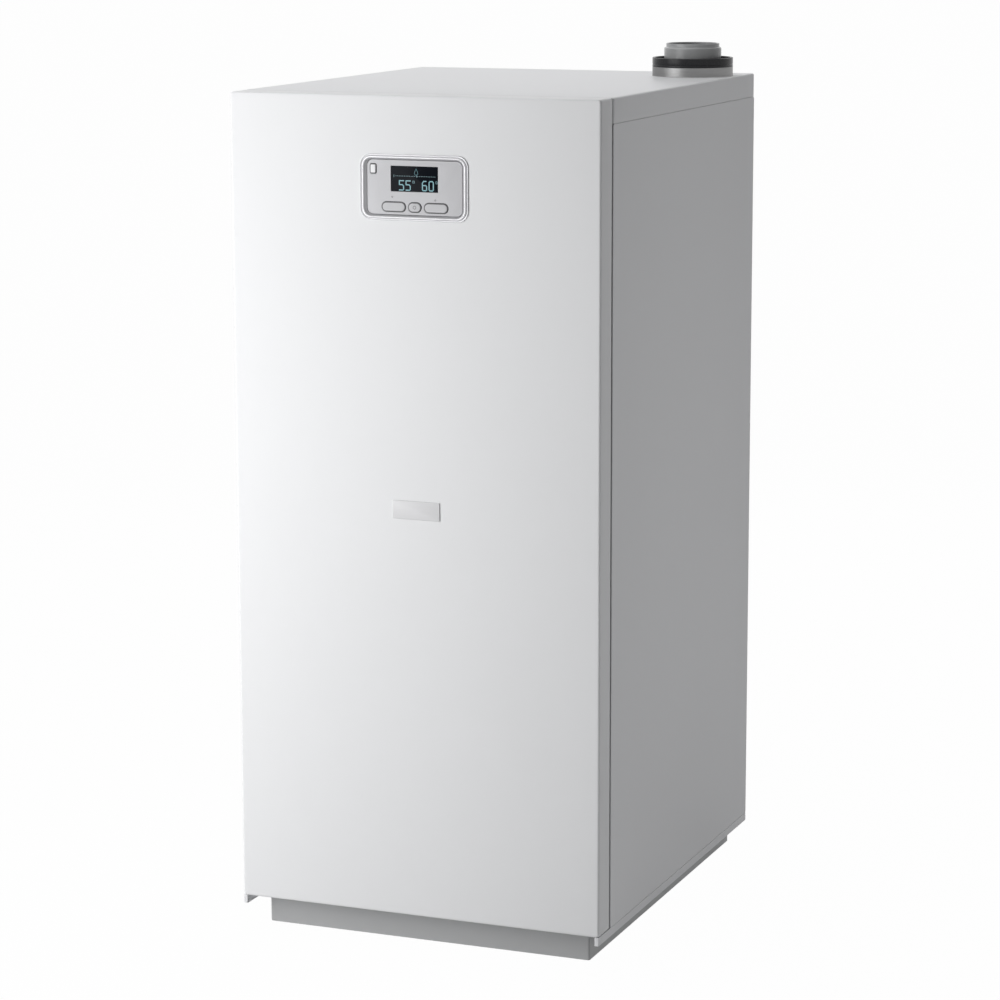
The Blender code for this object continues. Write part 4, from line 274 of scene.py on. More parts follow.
def soften(profile, radius, steps=4):
    """The corners of a closed profile rounded off: each becomes the curve (1-t)^2 a + 2t(1-t) p + t^2 b
    between two points a and b, which lie on its sides no further than the radius or 0.45 of the side from
    the corner p."""
    profile = np.asarray(profile, float)
    before, after = np.roll(profile, 1, 0), np.roll(profile, -1, 0)

    def towards(other):
        run = other - profile
        length = np.linalg.norm(run, axis=1, keepdims=True)
        return profile + run / length * np.minimum(radius, 0.45 * length)

    t = np.linspace(0, 1, steps + 1)[None, :, None]
    start, end = towards(before)[:, None], towards(after)[:, None]
    return ((1 - t) ** 2 * start + 2 * t * (1 - t) * profile[:, None] + t**2 * end).reshape(-1, 2)


def carried_round(radius, rows, angle, middle, axis):
    """Points (r cos a, r sin a, h) for every row's radius and height, laid along the axis and moved to the
    middle."""
    flat = [
        radius * np.cos(angle), radius * np.sin(angle),
        np.broadcast_to(rows[:, 1:], (len(rows), len(angle))),
    ]
    order = {"Z": (0, 1, 2), "Y": (0, 2, 1), "X": (2, 0, 1)}[axis]
    return np.stack([flat[i] for i in order], -1) + np.asarray(middle, float)


def turned(name, profile, middle, axis="Z", round_off=0.0, around=64, sharp=35):
    """A lathe shape: the closed profile's (radius, height) pairs carried round the axis, (r cos a, r sin a,
    h).

    Axis Y runs the height backwards from the front, and X runs it to the right. A profile with a side on the
    axis is solid there: that side is left out, and a face 0.1 mm wide closes each of its two ends.
    """
    rows = np.asarray(profile, float) if round_off == 0 else soften(profile, round_off)
    angle = np.linspace(0, 2 * np.pi, around, endpoint=False)
    on_axis = rows[:, 0] <= 0.00005
    solid = on_axis.any()
    if solid:
        first = np.flatnonzero(on_axis & ~np.roll(on_axis, -1))[0]
        rows, on_axis = np.roll(rows, -first, 0), np.roll(on_axis, -first)
        last = np.flatnonzero(~on_axis)[-1]
        rows = np.concatenate([rows[: last + 1], rows[(last + 1) % len(rows)][None]])
    radius = np.maximum(rows[:, :1], 0.00005)
    points = carried_round(radius, rows, angle, middle, axis)
    return surface(name, points, loop=not solid, caps=bool(solid), sharp=sharp)


for stud_index, (stud_x, stud_z) in enumerate((x, z) for x in (-STUD_X, STUD_X) for z in (0.076, 1.2059)):
    ball = 0.0435
    arc = np.linspace(0, 0.8 * np.pi, 12)
    stud_profile = [(0.0045 * math.sin(a), ball + 0.0045 * math.cos(a)) for a in arc]
    stud_profile += [(0.0028, 0.0022), (0.0080, 0.0020), (0.0080, 0), (0, 0)]
    stud = turned(
        f"ball_stud_{stud_index + 1}", stud_profile, (stud_x, FRONT_Y + SHEET - 0.0002, stud_z), "Y",
        around=24,
    )
    wear(stud, ZINC)
    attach(stud, "front_panel")

# Trim ring
# Moulded ring round the control panel: a thin outer lip, a groove that stays dark, a broad bright bead and a
# neck clipped into the window. Injection moulded and silver lacquered.
SILVER_LACQUER = finish_of(
    "silver_lacquer", (0.60, 0.60, 0.615), (0.57, 0.57, 0.585), 0.34, 900, 0.00001, 0.35, cloud=25, gloss=0.3,
)
RING_WIDE, RING_TALL = frame_high[0] - frame_low[0], frame_high[2] - frame_low[2]
RING_RADIUS = 0.0165


def ring_rows(stations, middle=PANEL_MIDDLE):
    """One rounded outline for each (inset from the ring's edge, height over the door) station."""
    return [
        outline(
            RING_WIDE - 2 * inset, RING_TALL - 2 * inset * shrink, max(RING_RADIUS - inset * 0.78, 0.001),
            middle,
            FRONT_Y - height,
        )
        for inset, height, shrink in stations
    ]


RING_STATIONS = (
    (0.0000, 0.0003, 1.0),
    (0.0000, 0.0012, 1.0),
    (0.0003, 0.0015, 1.0),
    (0.0007, 0.0015, 1.0),
    (0.0010, 0.0012, 1.0),
    (0.0012, 0.0004, 1.0),
    (0.0019, 0.0003, 1.0),
    (0.0022, 0.0006, 1.0),
    (0.0027, 0.0017, 1.0),
    (0.0036, 0.0024, 1.0),
    (0.0047, 0.0026, 0.97),
    (0.0058, 0.0022, 0.93),
    (0.0066, 0.0012, 0.90),
    (0.0072, -0.0002, 0.87),
    (0.0084, -0.0014, 0.84),
    (0.0092, -0.0022, 0.826),
    (0.0092, -0.0080, 0.826),
    (0.0032, -0.0080, 1.0),
    (0.0032, 0.0002, 1.0),
)
trim_ring = wear(surface("trim_ring", ring_rows(RING_STATIONS), loop=True, sharp=50), SILVER_LACQUER)
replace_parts(trim_ring, "control_window_frame")
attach(trim_ring, "front_panel")

# Badge plate
# Bare plate pressed onto the middle of the door, with a narrow bevel all round.
# Aluminium, satin anodised, held by tape.
badge_low, badge_high = box_of("badge_plate")
BADGE_MIDDLE = ((badge_low[0] + badge_high[0]) / 2, (badge_low[2] + badge_high[2]) / 2)
ANODISED = finish_of(
    "satin_anodising", (0.62, 0.62, 0.63), (0.59, 0.59, 0.60), 0.50, 900, 0.000006, 0.15, cloud=25,
    stretch=(1, 1, 14), gloss=0.2,
)


def plate_rows(width, height, radius, middle, back, front, edge, steps=4):
    """Rows over a flat plate: up its side from the back and round a quarter-circle edge to its flat front."""
    rows = [outline(width, height, radius, middle, back)]
    for a in np.linspace(0, np.pi / 2, steps + 1):
        inset = edge * (1 - math.cos(a))
        depth = front + edge * (1 - math.sin(a)) if back > front else front - edge * (1 - math.sin(a))
        rows.append(
            outline(width - 2 * inset, height - 2 * inset, max(radius - inset, 0.0001), middle, depth)
        )
    return rows


badge = plate_rows(0.0740, 0.0270, 0.0016, BADGE_MIDDLE, FRONT_Y - 0.0003, FRONT_Y - 0.0014, 0.0006)
badge = wear(surface("bare_badge", badge, caps=True), ANODISED)
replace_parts(badge, "badge_plate")
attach(badge, "front_panel")

# Side sheets
# Left and right casing sheets, folded in on four edges and powder coated; they stand behind the door with a
# dark joint. The top cover's skirt comes down to them.
side_low, side_high = box_of("right_side_panel")
SIDE_COAT = finish_of(
    "white_coat_sides", (0.80, 0.805, 0.82), (0.775, 0.78, 0.795), 0.38, 420, 0.00002, cloud=2.0, gloss=0.15,
)
SIDE_FOLD = 0.0010


def tray_rows(low, high, wall, fold, flange, corner=0.0035):
    """Rows for a folded sheet whose flat face looks along +X: inner face, round the inside of the fold,
    flange edge, round the outside of the fold, outer face. Each row is a rounded rectangle in Y and Z at
    one X. The fold's outside is the quarter circle (fold (1 - cos a), face - fold (1 - sin a))."""
    size = np.array(high) - np.array(low)
    middle = ((low[1] + high[1]) / 2, (low[2] + high[2]) / 2)
    face = high[0]

    def row(inset, x):
        ring = outline(size[1] - 2 * inset, size[2] - 2 * inset, max(corner - inset, 0.0005), middle, 0)
        return np.stack([np.full(len(ring), x), ring[:, 0], ring[:, 2]], -1)

    rows = [row(fold, face - wall), row(wall, face - fold), row(wall, face - flange), row(0, face - flange)]
    rows += [
        row(fold * (1 - math.cos(a)), face - fold * (1 - math.sin(a))) for a in np.linspace(0, np.pi / 2, 7)
    ]
    return rows


for side_name, side in (("left", -1), ("right", 1)):
    rows = np.array(tray_rows(side_low, side_high, SHEET, SIDE_FOLD, side_high[0] - side_low[0]))
    rows[..., 0] *= side
    sheet = wear(surface(f"{side_name}_side_sheet", rows, caps=True, brace=0.004), SIDE_COAT)
    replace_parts(sheet, f"{side_name}_side_panel")
    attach(sheet, "boiler")

# Top cover
# Lid with a short skirt folded down on four sides, and a round hole for the flue collar. Two stays inside it
# rest on the side sheets. Folded steel, powder coated as one with the sides.
cover_low, cover_high = box_of("top_cover")
collar_low, collar_high = box_of("air_ring")
FLUE_X, FLUE_Y = (collar_low[:2] + collar_high[:2]) / 2
COLLAR_RADIUS = (collar_high[0] - collar_low[0]) / 2
TOP = cover_high[2]


def level_ring(width, depth, radius, middle, height):
    """The rounded rectangle laid flat at one height."""
    ring = outline(width, depth, radius, middle, 0, side=16)
    return np.stack([ring[:, 0], ring[:, 2], np.full(len(ring), height)], -1)


def circle_facing(ring, middle, radius, height):
    """The points of a circle that lie in the same directions from its middle as the ring's points do."""
    away = ring[:, :2] - middle
    away = away / np.linalg.norm(away, axis=1, keepdims=True)
    return np.concatenate([middle + radius * away, np.full((len(ring), 1), height)], 1)


def cover_rows():
    """Rows from the flue hole out over the lid, round the fold, down the skirt and back underneath to the
    hole."""
    middle = (cover_low[:2] + cover_high[:2]) / 2
    wide, deep = (cover_high - cover_low)[:2]

    def row(inset, height):
        return level_ring(wide - 2 * inset, deep - 2 * inset, max(0.004 - inset, 0.0006), middle, height)

    fold = [
        row(FOLD * (1 - math.sin(a)), TOP - FOLD * (1 - math.cos(a))) for a in np.linspace(0, np.pi / 2, 8)
    ]
    fold = [row(FOLD + 0.0012, TOP), *fold]
    hole = circle_facing(fold[0], (FLUE_X, FLUE_Y), COLLAR_RADIUS + 0.0003, TOP)
    drop = np.array([0, 0, SHEET])
    under = [
        row(0, cover_low[2] + 0.0003), row(0.0003, cover_low[2]), row(SHEET, cover_low[2]),
        row(SHEET, TOP - FOLD),
        row(FOLD, TOP - SHEET),
    ]
    return [hole - drop, hole, *fold, *under]


top_cover = wear(surface("top_cover_sheet", cover_rows(), loop=True), SIDE_COAT)
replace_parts(top_cover, "top_cover")
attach(top_cover, "boiler")
for side_name, side in (("left", -1), ("right", 1)):
    stay = [
        level_ring(0.0015, 0.300, 0.0006, (side * (HALF_WIDTH - 0.00775), 0), z)
        for z in (1.2190, TOP - SHEET + 0.0002)
    ]
    stay = wear(surface(f"{side_name}_cover_stay", stay, caps=True), SIDE_COAT)
    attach(stay, "boiler")

# Plinth
# Skirt set back under the casing: folded steel in grey textured paint, open below for the feet.
plinth_low, plinth_high = box_of("plinth")
PLINTH_PAINT = finish_of(
    "plinth_paint", (0.48, 0.485, 0.49), (0.44, 0.445, 0.45), 0.46, 700, 0.00005, cloud=4, gloss=0.2,
)


def skirt_rows(low, high, wall, radius):
    """Rows up the outside of an upright band and down its inside, with the corners of its plan rounded."""
    middle = (low[:2] + high[:2]) / 2
    wide, deep = (high - low)[:2]

    def row(inset, height):
        return level_ring(wide - 2 * inset, deep - 2 * inset, radius - inset, middle, height)

    edge = wall / 4
    rise = [(edge, low[2]), (0, low[2] + edge), (0, high[2] - edge), (edge, high[2])]
    fall = [(wall - edge, high[2]), (wall, high[2] - edge), (wall, low[2] + edge), (wall - edge, low[2])]
    return [row(inset, height) for inset, height in rise + fall]


plinth = wear(
    surface("plinth_skirt", skirt_rows(plinth_low, plinth_high, 0.002, 0.0035), loop=True), PLINTH_PAINT,
)
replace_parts(plinth, "plinth")
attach(plinth, "boiler")

# Base pan
# Floor of the boiler: galvanised sheet, whose zinc has frozen in flakes of many tones, with a nut under it
# for each foot. The rails at its two sides hang below the casing and are coated white with it.


def spangle_group():
    """Node group for hot-dip zinc: Voronoi flakes, each with its own tone and its own roughness."""
    group = bpy.data.node_groups.new("zinc_spangle", "ShaderNodeTree")
    for label, kind in (
        ("Vector", "NodeSocketVector"), ("Flake Scale", "NodeSocketFloat"), ("Light", "NodeSocketColor"),
        ("Dark", "NodeSocketColor"),
    ):
        group.interface.new_socket(label, in_out="INPUT", socket_type=kind)
    group.interface.new_socket("Colour", in_out="OUTPUT", socket_type="NodeSocketColor")
    group.interface.new_socket("Roughness", in_out="OUTPUT", socket_type="NodeSocketFloat")
    source = group.nodes.new("NodeGroupInput")
    out = group.nodes.new("NodeGroupOutput")
    flakes = group.nodes.new("ShaderNodeTexVoronoi")
    group.links.new(source.outputs["Vector"], flakes.inputs["Vector"])
    group.links.new(source.outputs["Flake Scale"], flakes.inputs["Scale"])
    split = group.nodes.new("ShaderNodeSeparateColor")
    group.links.new(flakes.outputs["Color"], split.inputs["Color"])
    tone = group.nodes.new("ShaderNodeMix")
    tone.data_type = "RGBA"
    group.links.new(split.outputs["Red"], tone.inputs["Factor"])
    group.links.new(source.outputs["Dark"], tone.inputs["A"])
    group.links.new(source.outputs["Light"], tone.inputs["B"])
    group.links.new(tone.outputs["Result"], out.inputs["Colour"])
    rough = group.nodes.new("ShaderNodeMapRange")
    rough.inputs["To Min"].default_value = 0.34
    rough.inputs["To Max"].default_value = 0.52
    group.links.new(split.outputs["Green"], rough.inputs["Value"])
    group.links.new(rough.outputs["Result"], out.inputs["Roughness"])
    return group


def zinc_finish(name, light, dark, flake):
    """Galvanised sheet: the spangle group drives colour and roughness, and a fine noise stands as its
    height."""
    material = bpy.data.materials.new(name)
    material.use_nodes = True
    tree = material.node_tree
    shader = tree.nodes["Principled BSDF"]
    place = tree.nodes.new("ShaderNodeTexCoord")
    look = tree.nodes.new("ShaderNodeGroup")
    look.node_tree = SPANGLE
    look.inputs["Flake Scale"].default_value = flake
    look.inputs["Light"].default_value = (*light, 1)
    look.inputs["Dark"].default_value = (*dark, 1)
    tree.links.new(place.outputs["Object"], look.inputs["Vector"])
    tree.links.new(look.outputs["Colour"], shader.inputs["Base Color"])
    tree.links.new(look.outputs["Roughness"], shader.inputs["Roughness"])
    fine = tree.nodes.new("ShaderNodeTexNoise")
    fine.inputs["Scale"].default_value = 260
    tree.links.new(place.outputs["Object"], fine.inputs["Vector"])
    relief = tree.nodes.new("ShaderNodeBump")
    relief.inputs["Strength"].default_value = 0.4
    relief.inputs["Distance"].default_value = 0.00002
    tree.links.new(fine.outputs["Fac"], relief.inputs["Height"])
    tree.links.new(relief.outputs["Normal"], shader.inputs["Normal"])
    shader.inputs["Metallic"].default_value = 0.85
    return material


def cut_by(piece, cutters):
    """The piece with the cutters' shapes taken out of it, kept as its own mesh."""
    for cutter in cutters:
        boolean = piece.modifiers.new("hole", "BOOLEAN")
        boolean.solver = "EXACT"
        boolean.object = cutter
    bpy.context.view_layer.update()
    made = bpy.data.meshes.new_from_object(piece.evaluated_get(bpy.context.evaluated_depsgraph_get()))
    piece.modifiers.clear()
    piece.data = made
    for cutter in cutters:
        bpy.data.objects.remove(cutter, do_unlink=True)
    made.set_sharp_from_angle(angle=math.radians(32))
    return piece


def hexagon(name, middle, width, foot, top, stud=0.0):
    """A nut standing up: a hexagon whose corners a cone rounds off at both faces, and the end of its stud."""
    turn = np.linspace(0, 2 * np.pi, 72, endpoint=False)
    flat = (width / 2) / np.cos((turn % (np.pi / 3)) - np.pi / 6)
    chamfer = 0.10 * width
    rows = []
    for limit, height in (
        (width / 2 * 1.01, foot), (width, foot + chamfer * 0.5), (width, top - chamfer * 0.5),
        (width / 2 * 1.01, top),
    ):
        radius = np.minimum(flat, limit)
        rows.append(np.stack([radius * np.cos(turn), radius * np.sin(turn), np.full_like(turn, height)], -1))
    if stud:
        for radius, height in ((stud, top), (stud, top + stud), (stud * 0.8, top + stud * 1.2)):
            rows.append(
                np.stack([radius * np.cos(turn), radius * np.sin(turn), np.full_like(turn, height)], -1)
            )
    return surface(name, np.array(rows) + np.array([*middle, 0]), caps=True, sharp=25)


SPANGLE = spangle_group()
GALVANISED = zinc_finish("galvanised_sheet", (0.62, 0.63, 0.64), (0.46, 0.47, 0.48), 90)
pan_low, pan_high = box_of("base_pan")
PAN_TOP = pan_high[2]
RAIL = 0.0065


def level_slab(name, low, high, radius, edge, foot, top):
    """A slab with a rounded plan between two heights, its rims drawn in by a 45 degree edge."""
    middle = ((low[0] + high[0]) / 2, (low[1] + high[1]) / 2)
    wide, deep = high[0] - low[0], high[1] - low[1]
    rows = [
        level_ring(wide - 2 * inset, deep - 2 * inset, radius - inset, middle, height)
        for inset, height in ((edge, foot), (0, foot + edge), (0, top - edge), (edge, top))
    ]
    return surface(name, rows, caps=True, brace=0.004)


FEET = ("front_left_foot", "rear_left_foot", "front_right_foot", "rear_right_foot")
pan_inner = (plinth_low[1], pan_high[0] - RAIL + 0.0002)
plate = level_slab(
    "pan_plate", (-pan_inner[1], pan_inner[0]), (pan_inner[1], pan_high[1]), 0.002, 0.0003, PAN_TOP - 0.003,
    PAN_TOP,
)
STEM_BORE = 0.0053
STEM_CUT_LONG = 0.1


def stem_cutter(place):
    """A cylinder of the stem's bore, from the floor up through the pan and its nut."""
    side = [(0, 0), (STEM_BORE, 0), (STEM_BORE, STEM_CUT_LONG), (0, STEM_CUT_LONG)]
    return turned("cutter", side, (*place, 0), around=32)


stems = []
for foot_name in FEET:
    stem_low, stem_high = box_of(foot_name)
    x, y = (stem_low[:2] + stem_high[:2]) / 2
    stems.append((x, y))
plate = wear(
    cut_by(
        plate,
        [stem_cutter(place) for place in stems],
    ),
    GALVANISED,
)
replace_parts(plate, "base_pan")
pieces = [(plate, "galvanised")]
for index, place in enumerate(stems):
    nut = hexagon(f"pan_nut_{index + 1}", place, 0.0173, PAN_TOP - 0.011, PAN_TOP - 0.0028)
    nut = cut_by(nut, [stem_cutter(place)])
    pieces.append((wear(nut, ZINC), "galvanised"))
for side_name, side in (("left", -1), ("right", 1)):
    x = sorted((side * pan_high[0], side * (pan_high[0] - RAIL)))
    rail = level_slab(
        f"{side_name}_pan_rail", (x[0], pan_low[1]), (x[1], pan_high[1]), 0.0012, 0.0002, PAN_TOP - 0.012,
        PAN_TOP + 0.0002,
    )
    pieces.append((wear(rail, SIDE_COAT), "white_coat"))
for piece, slot_name in pieces:
    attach(piece, "boiler")

# Levelling feet
# Four feet inside the plinth's corners: a broad moulded pad on a threaded stem, which screws through the
# pan's nut.
THREAD_PITCH = 0.00125
FOOT_RUBBER = finish_of(
    "foot_rubber", (0.030, 0.030, 0.031), (0.022, 0.022, 0.023), 0.78, 500, 0.00006, cloud=20,
)
for foot_name in FEET:
    foot_low, foot_high = box_of(foot_name)
    turn = np.arange(0.016, foot_high[2] - 0.001, THREAD_PITCH / 2)
    thread = [(0.0050 - 0.0007 * (index % 2), height) for index, height in enumerate(turn)]
    foot_profile = [
        (0, 0), (0.0175, 0), (0.0190, 0.0008), (0.0200, 0.0022), (0.0200, 0.0080), (0.0192, 0.0094),
    ]
    foot_profile += [(0.0130, 0.0122), (0.0100, 0.0128), (0.0062, 0.0128), (0.0050, 0.0140)]
    foot_profile += thread + [(0.0040, foot_high[2]), (0, foot_high[2])]
    foot_middle = ((foot_low[0] + foot_high[0]) / 2, (foot_low[1] + foot_high[1]) / 2, 0)
    foot = wear(turned(foot_name + "_threaded", foot_profile, foot_middle, around=48), FOOT_RUBBER)
    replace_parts(foot, foot_name)
    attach(foot, foot_name)

# Control cover
# Front of the control box: a plate with a raised pod that reaches through the door's window. One moulding,
# lacquered silver, with holes for the screen and the four keys.
screen_low, screen_high = box_of("display_screen")
cover_plate_low, cover_plate_high = box_of("control_cover")
FASCIA_Y = cover_plate_low[1]
POD = (RING_WIDE - 0.0196, RING_TALL - 0.0164, 0.0089)
FASCIA_LACQUER = finish_of(
    "fascia_lacquer", (0.50, 0.50, 0.515), (0.47, 0.47, 0.485), 0.48, 1100, 0.000008, 0.10, cloud=30,
    gloss=0.2,
)
KEY_HOLES = {
    "on_off_key": (0.0105, 0.0148, 0.0026),
    "mode_key": (0.0210, 0.0150, 0.0073),
    "left_rocker_key": (0.0375, 0.0150, 0.0073),
    "right_rocker_key": (0.0375, 0.0150, 0.0073),
}


def middle_of(node):
    """The middle of a node's box as (x, z), from its front."""
    low, high = box_of(node)
    return (low[0] + high[0]) / 2, (low[2] + high[2]) / 2


def plug(width, height, radius, middle, near, far, flare=0.0):
    """A cutter through the fascia, wider at its front end by the flare."""
    steps = (flare, near), (0, near + flare), (0, far)
    rows = [outline(width + 2 * grow, height + 2 * grow, radius + grow, middle, depth) for grow, depth in steps]
    return surface("cutter", rows, caps=True)


pod_front = plate_rows(POD[0], POD[1], POD[2], PANEL_MIDDLE, cover_plate_high[1], FASCIA_Y, 0.0007)
pod = surface("fascia_pod", pod_front, caps=True)
holes = [
    plug(
        POD[0] - 0.004, POD[1] - 0.004, POD[2] - 0.002, PANEL_MIDDLE, FASCIA_Y + 0.002,
        cover_plate_high[1] + 0.01,
    )
]
screen_middle = middle_of("display_screen")
screen_size = (screen_high - screen_low)[[0, 2]]
holes.append(
    plug(
        screen_size[0] + 0.0006, screen_size[1] + 0.0006, 0.0008, screen_middle, FASCIA_Y - 0.0002,
        FASCIA_Y + 0.004,
        0.0004,
    )
)
for key, (wide, tall, radius) in KEY_HOLES.items():
    holes.append(plug(wide, tall, radius, middle_of(key), FASCIA_Y - 0.0002, FASCIA_Y + 0.004, 0.0005))
pod = wear(cut_by(pod, holes), FASCIA_LACQUER)
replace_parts(pod, "control_cover")
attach(pod, "boiler")
plate_middle = (
    (cover_plate_low[0] + cover_plate_high[0]) / 2, (cover_plate_low[2] + cover_plate_high[2]) / 2,
)
plate_size = (cover_plate_high - cover_plate_low)[[0, 2]]
plate_front = cover_plate_high[1] - 0.0025
plate = [
    outline(POD[0] - 0.0001, POD[1] - 0.0001, POD[2], PANEL_MIDDLE, d)
    for d in (cover_plate_high[1], plate_front)
]
for inset, depth in (
    (0.0016, plate_front), (0.0010, plate_front + 0.0002), (0, plate_front + 0.0012),
    (0, cover_plate_high[1]),
):
    plate.append(
        outline(plate_size[0] - 2 * inset, plate_size[1] - 2 * inset, 0.004 - inset, plate_middle, depth)
    )
plate = wear(surface("cover_plate", plate, loop=True), FASCIA_LACQUER)
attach(plate, "boiler")

# Display screen
# Black glass let into the fascia. Behind it glow two temperatures, a dotted scale with two ticks, and a small
# drop.
GLASS = finish_of(
    "display_glass", (0.004, 0.006, 0.010), (0.003, 0.004, 0.007), 0.14, 900, 0.000001, cloud=40,
    rough_span=0.02,
    gloss=0.04,
)
glass = plate_rows(
    screen_size[0], screen_size[1], 0.0006, screen_middle, screen_high[1], screen_low[1], 0.0002,
)
glass = wear(surface("display_glass_pane", glass, caps=True), GLASS)
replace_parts(glass, "display_screen")
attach(glass, "boiler")


def glow(name, colour, strength):
    """A lit display mark: dark glass that gives off its colour, dimmer where a fine noise is low."""
    material = bpy.data.materials.new(name)
    material.use_nodes = True
    tree = material.node_tree
    shader = tree.nodes["Principled BSDF"]
    shader.inputs["Base Color"].default_value = (0.01, 0.02, 0.02, 1)
    shader.inputs["Roughness"].default_value = 0.3
    shader.inputs["Emission Strength"].default_value = strength
    place = tree.nodes.new("ShaderNodeTexCoord")
    noise = tree.nodes.new("ShaderNodeTexNoise")
    noise.inputs["Scale"].default_value = 1500
    tree.links.new(place.outputs["Object"], noise.inputs["Vector"])
    tone = tree.nodes.new("ShaderNodeMix")
    tone.data_type = "RGBA"
    tone.inputs["A"].default_value = (*[part * 0.75 for part in colour], 1)
    tone.inputs["B"].default_value = (*colour, 1)
    tree.links.new(noise.outputs["Fac"], tone.inputs["Factor"])
    tree.links.new(tone.outputs["Result"], shader.inputs["Emission Color"])
    return material


SEGMENTS = {
    "0": ((0.2, 0), (0.8, 0), (1, 0.25), (1, 1.75), (0.8, 2), (0.2, 2), (0, 1.75), (0, 0.25), (0.2, 0)),
    "5": ((1, 2), (0, 2), (0, 1.15), (0.75, 1.15), (1, 0.85), (1, 0.15), (0.8, 0), (0, 0)),
    "6": (
        (0.85, 2), (0.3, 2), (0, 1.6), (0, 0.2), (0.2, 0), (0.8, 0), (1, 0.2), (1, 0.9), (0.8, 1.1),
        (0, 1.1),
    ),
    "degree": ((0, 1.55), (0, 2), (0.4, 2), (0.4, 1.55), (0, 1.55)),
}


def strokes(name, lines, thick, y):
    """Flat marks drawn as lines of one thickness: every run of a line is a thin bar, and the bars overlap in
    the corners.

    A bar's corners are its ends pushed out along the run and across it by half the thickness.
    """
    pairs = np.array([(a, b) for line in lines for a, b in zip(line, line[1:])], float)
    run = pairs[:, 1] - pairs[:, 0]
    along = run / np.linalg.norm(run, axis=1, keepdims=True) * thick / 2
    across = np.stack([-along[:, 1], along[:, 0]], -1)
    corners = np.stack(
        [
            pairs[:, 0] - along - across, pairs[:, 1] + along - across, pairs[:, 1] + along + across,
            pairs[:, 0] - along + across,
        ],
        1,
    )
    points = [np.insert(corners, 1, depth, axis=2).reshape(-1, 3) for depth in (y, y + 0.00005)]
    base = np.arange(len(pairs))[:, None] * 4
    other = len(points[0])
    front, rear = base + np.arange(4), base + np.arange(4)[::-1] + other
    sides = [
        np.stack(
            [base + i, base + i + other, base + (i + 1) % 4 + other, base + (i + 1) % 4], -1,
        ).reshape(-1, 4)
        for i in range(4)
    ]
    mesh = bpy.data.meshes.new(name)
    mesh.from_pydata(np.concatenate(points).tolist(), [], np.concatenate([front, rear, *sides]).tolist())
    mesh.update()
    piece = bpy.data.objects.new(name, mesh)
    bpy.context.scene.collection.objects.link(piece)
    return piece


GLOW = glow("display_glow", (0.24, 0.50, 0.56), 0.85)
FAINT_GLOW = glow("display_glow_faint", (0.16, 0.36, 0.42), 0.45)
DIGIT_WIDE, DIGIT_TALL, PITCH = 0.0065, 0.0066, 0.0103
left_edge, foot_z = screen_low[0], screen_low[2] + 0.0020
figures, degrees = [], []
for text, start_x in (("55", 0.0129), ("60", 0.0484)):
    for place, figure in enumerate([*text, "degree"]):
        x = left_edge + start_x + place * PITCH
        line = [(x + px * DIGIT_WIDE, foot_z + pz * DIGIT_TALL) for px, pz in SEGMENTS[figure]]
        (degrees if figure == "degree" else figures).append(line)
figures = wear(strokes("lit_figures", figures, 0.0014, screen_low[1] - 0.00004), GLOW)
line_z = screen_high[2] - 0.0140
dots = [
    [(x, line_z), (x + 0.0007, line_z)] for x in np.arange(left_edge + 0.0075, left_edge + 0.0695, 0.0026)
]
ticks = [[(left_edge + x, line_z - 0.0014), (left_edge + x, line_z + 0.0014)] for x in (0.0045, 0.0400)]
drop_turn = np.linspace(0, 2 * np.pi, 25)
drop_wide = 0.0036 * np.sin(drop_turn) * np.sin(drop_turn / 2) ** 1.5
drop_high = 0.0044 * np.cos(drop_turn)
drop = [(left_edge + 0.0388 + x, screen_high[2] - 0.0078 + z) for x, z in zip(drop_wide, drop_high)]
marks = wear(
    strokes("lit_scale", [*dots, *ticks, *degrees, drop], 0.0008, screen_low[1] - 0.00004), FAINT_GLOW,
)
for lit in (figures, marks):
    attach(lit, "boiler")

# Keys
# On-off key, mode key and two rockers, moulded plastic. Each is a soft-edged body with a pale cap pressed
# into it. The body is coloured dark, so its rim round the cap is painted shade for the gap round the
# key. A small ring is printed on the mode key, and one over each rocker, in the same dark colour.
# Dark plastic: on the key bodies it is painted shade for the gap round each key, and it is also the ink of the
# printed rings.
KEY_SHADE_AND_PRINT = finish_of(
    "key_rim_shade_and_print", (0.165, 0.165, 0.17), (0.14, 0.14, 0.145), 0.45, 900, 0.00001, cloud=60, gloss=0.3,
)
KEY_CAP = finish_of(
    "key_cap_plastic", (0.54, 0.54, 0.555), (0.51, 0.51, 0.525), 0.36, 900, 0.00001, cloud=60, gloss=0.3,
)
WHITE_CAP = finish_of(
    "white_cap_plastic", (0.82, 0.82, 0.83), (0.79, 0.79, 0.80), 0.32, 900, 0.00001, cloud=60, gloss=0.3,
)


def domed_rows(width, height, radius, middle, back, front, edge, crown):
    """Rows of a key: straight side, quarter-circle edge, then rows that rise by a parabola to a flat
    middle."""
    rows = plate_rows(width, height, radius, middle, back, front + crown, edge)
    half = min(width, height) / 2 - edge
    for share in (0.25, 0.5, 0.75):
        inset = edge + half * share
        rise = crown * (1 - (1 - share / 0.75) ** 2)
        rows.append(
            outline(
                width - 2 * inset, height - 2 * inset, max(radius - inset, 0.0001), middle,
                front + crown - rise,
            )
        )
    return rows


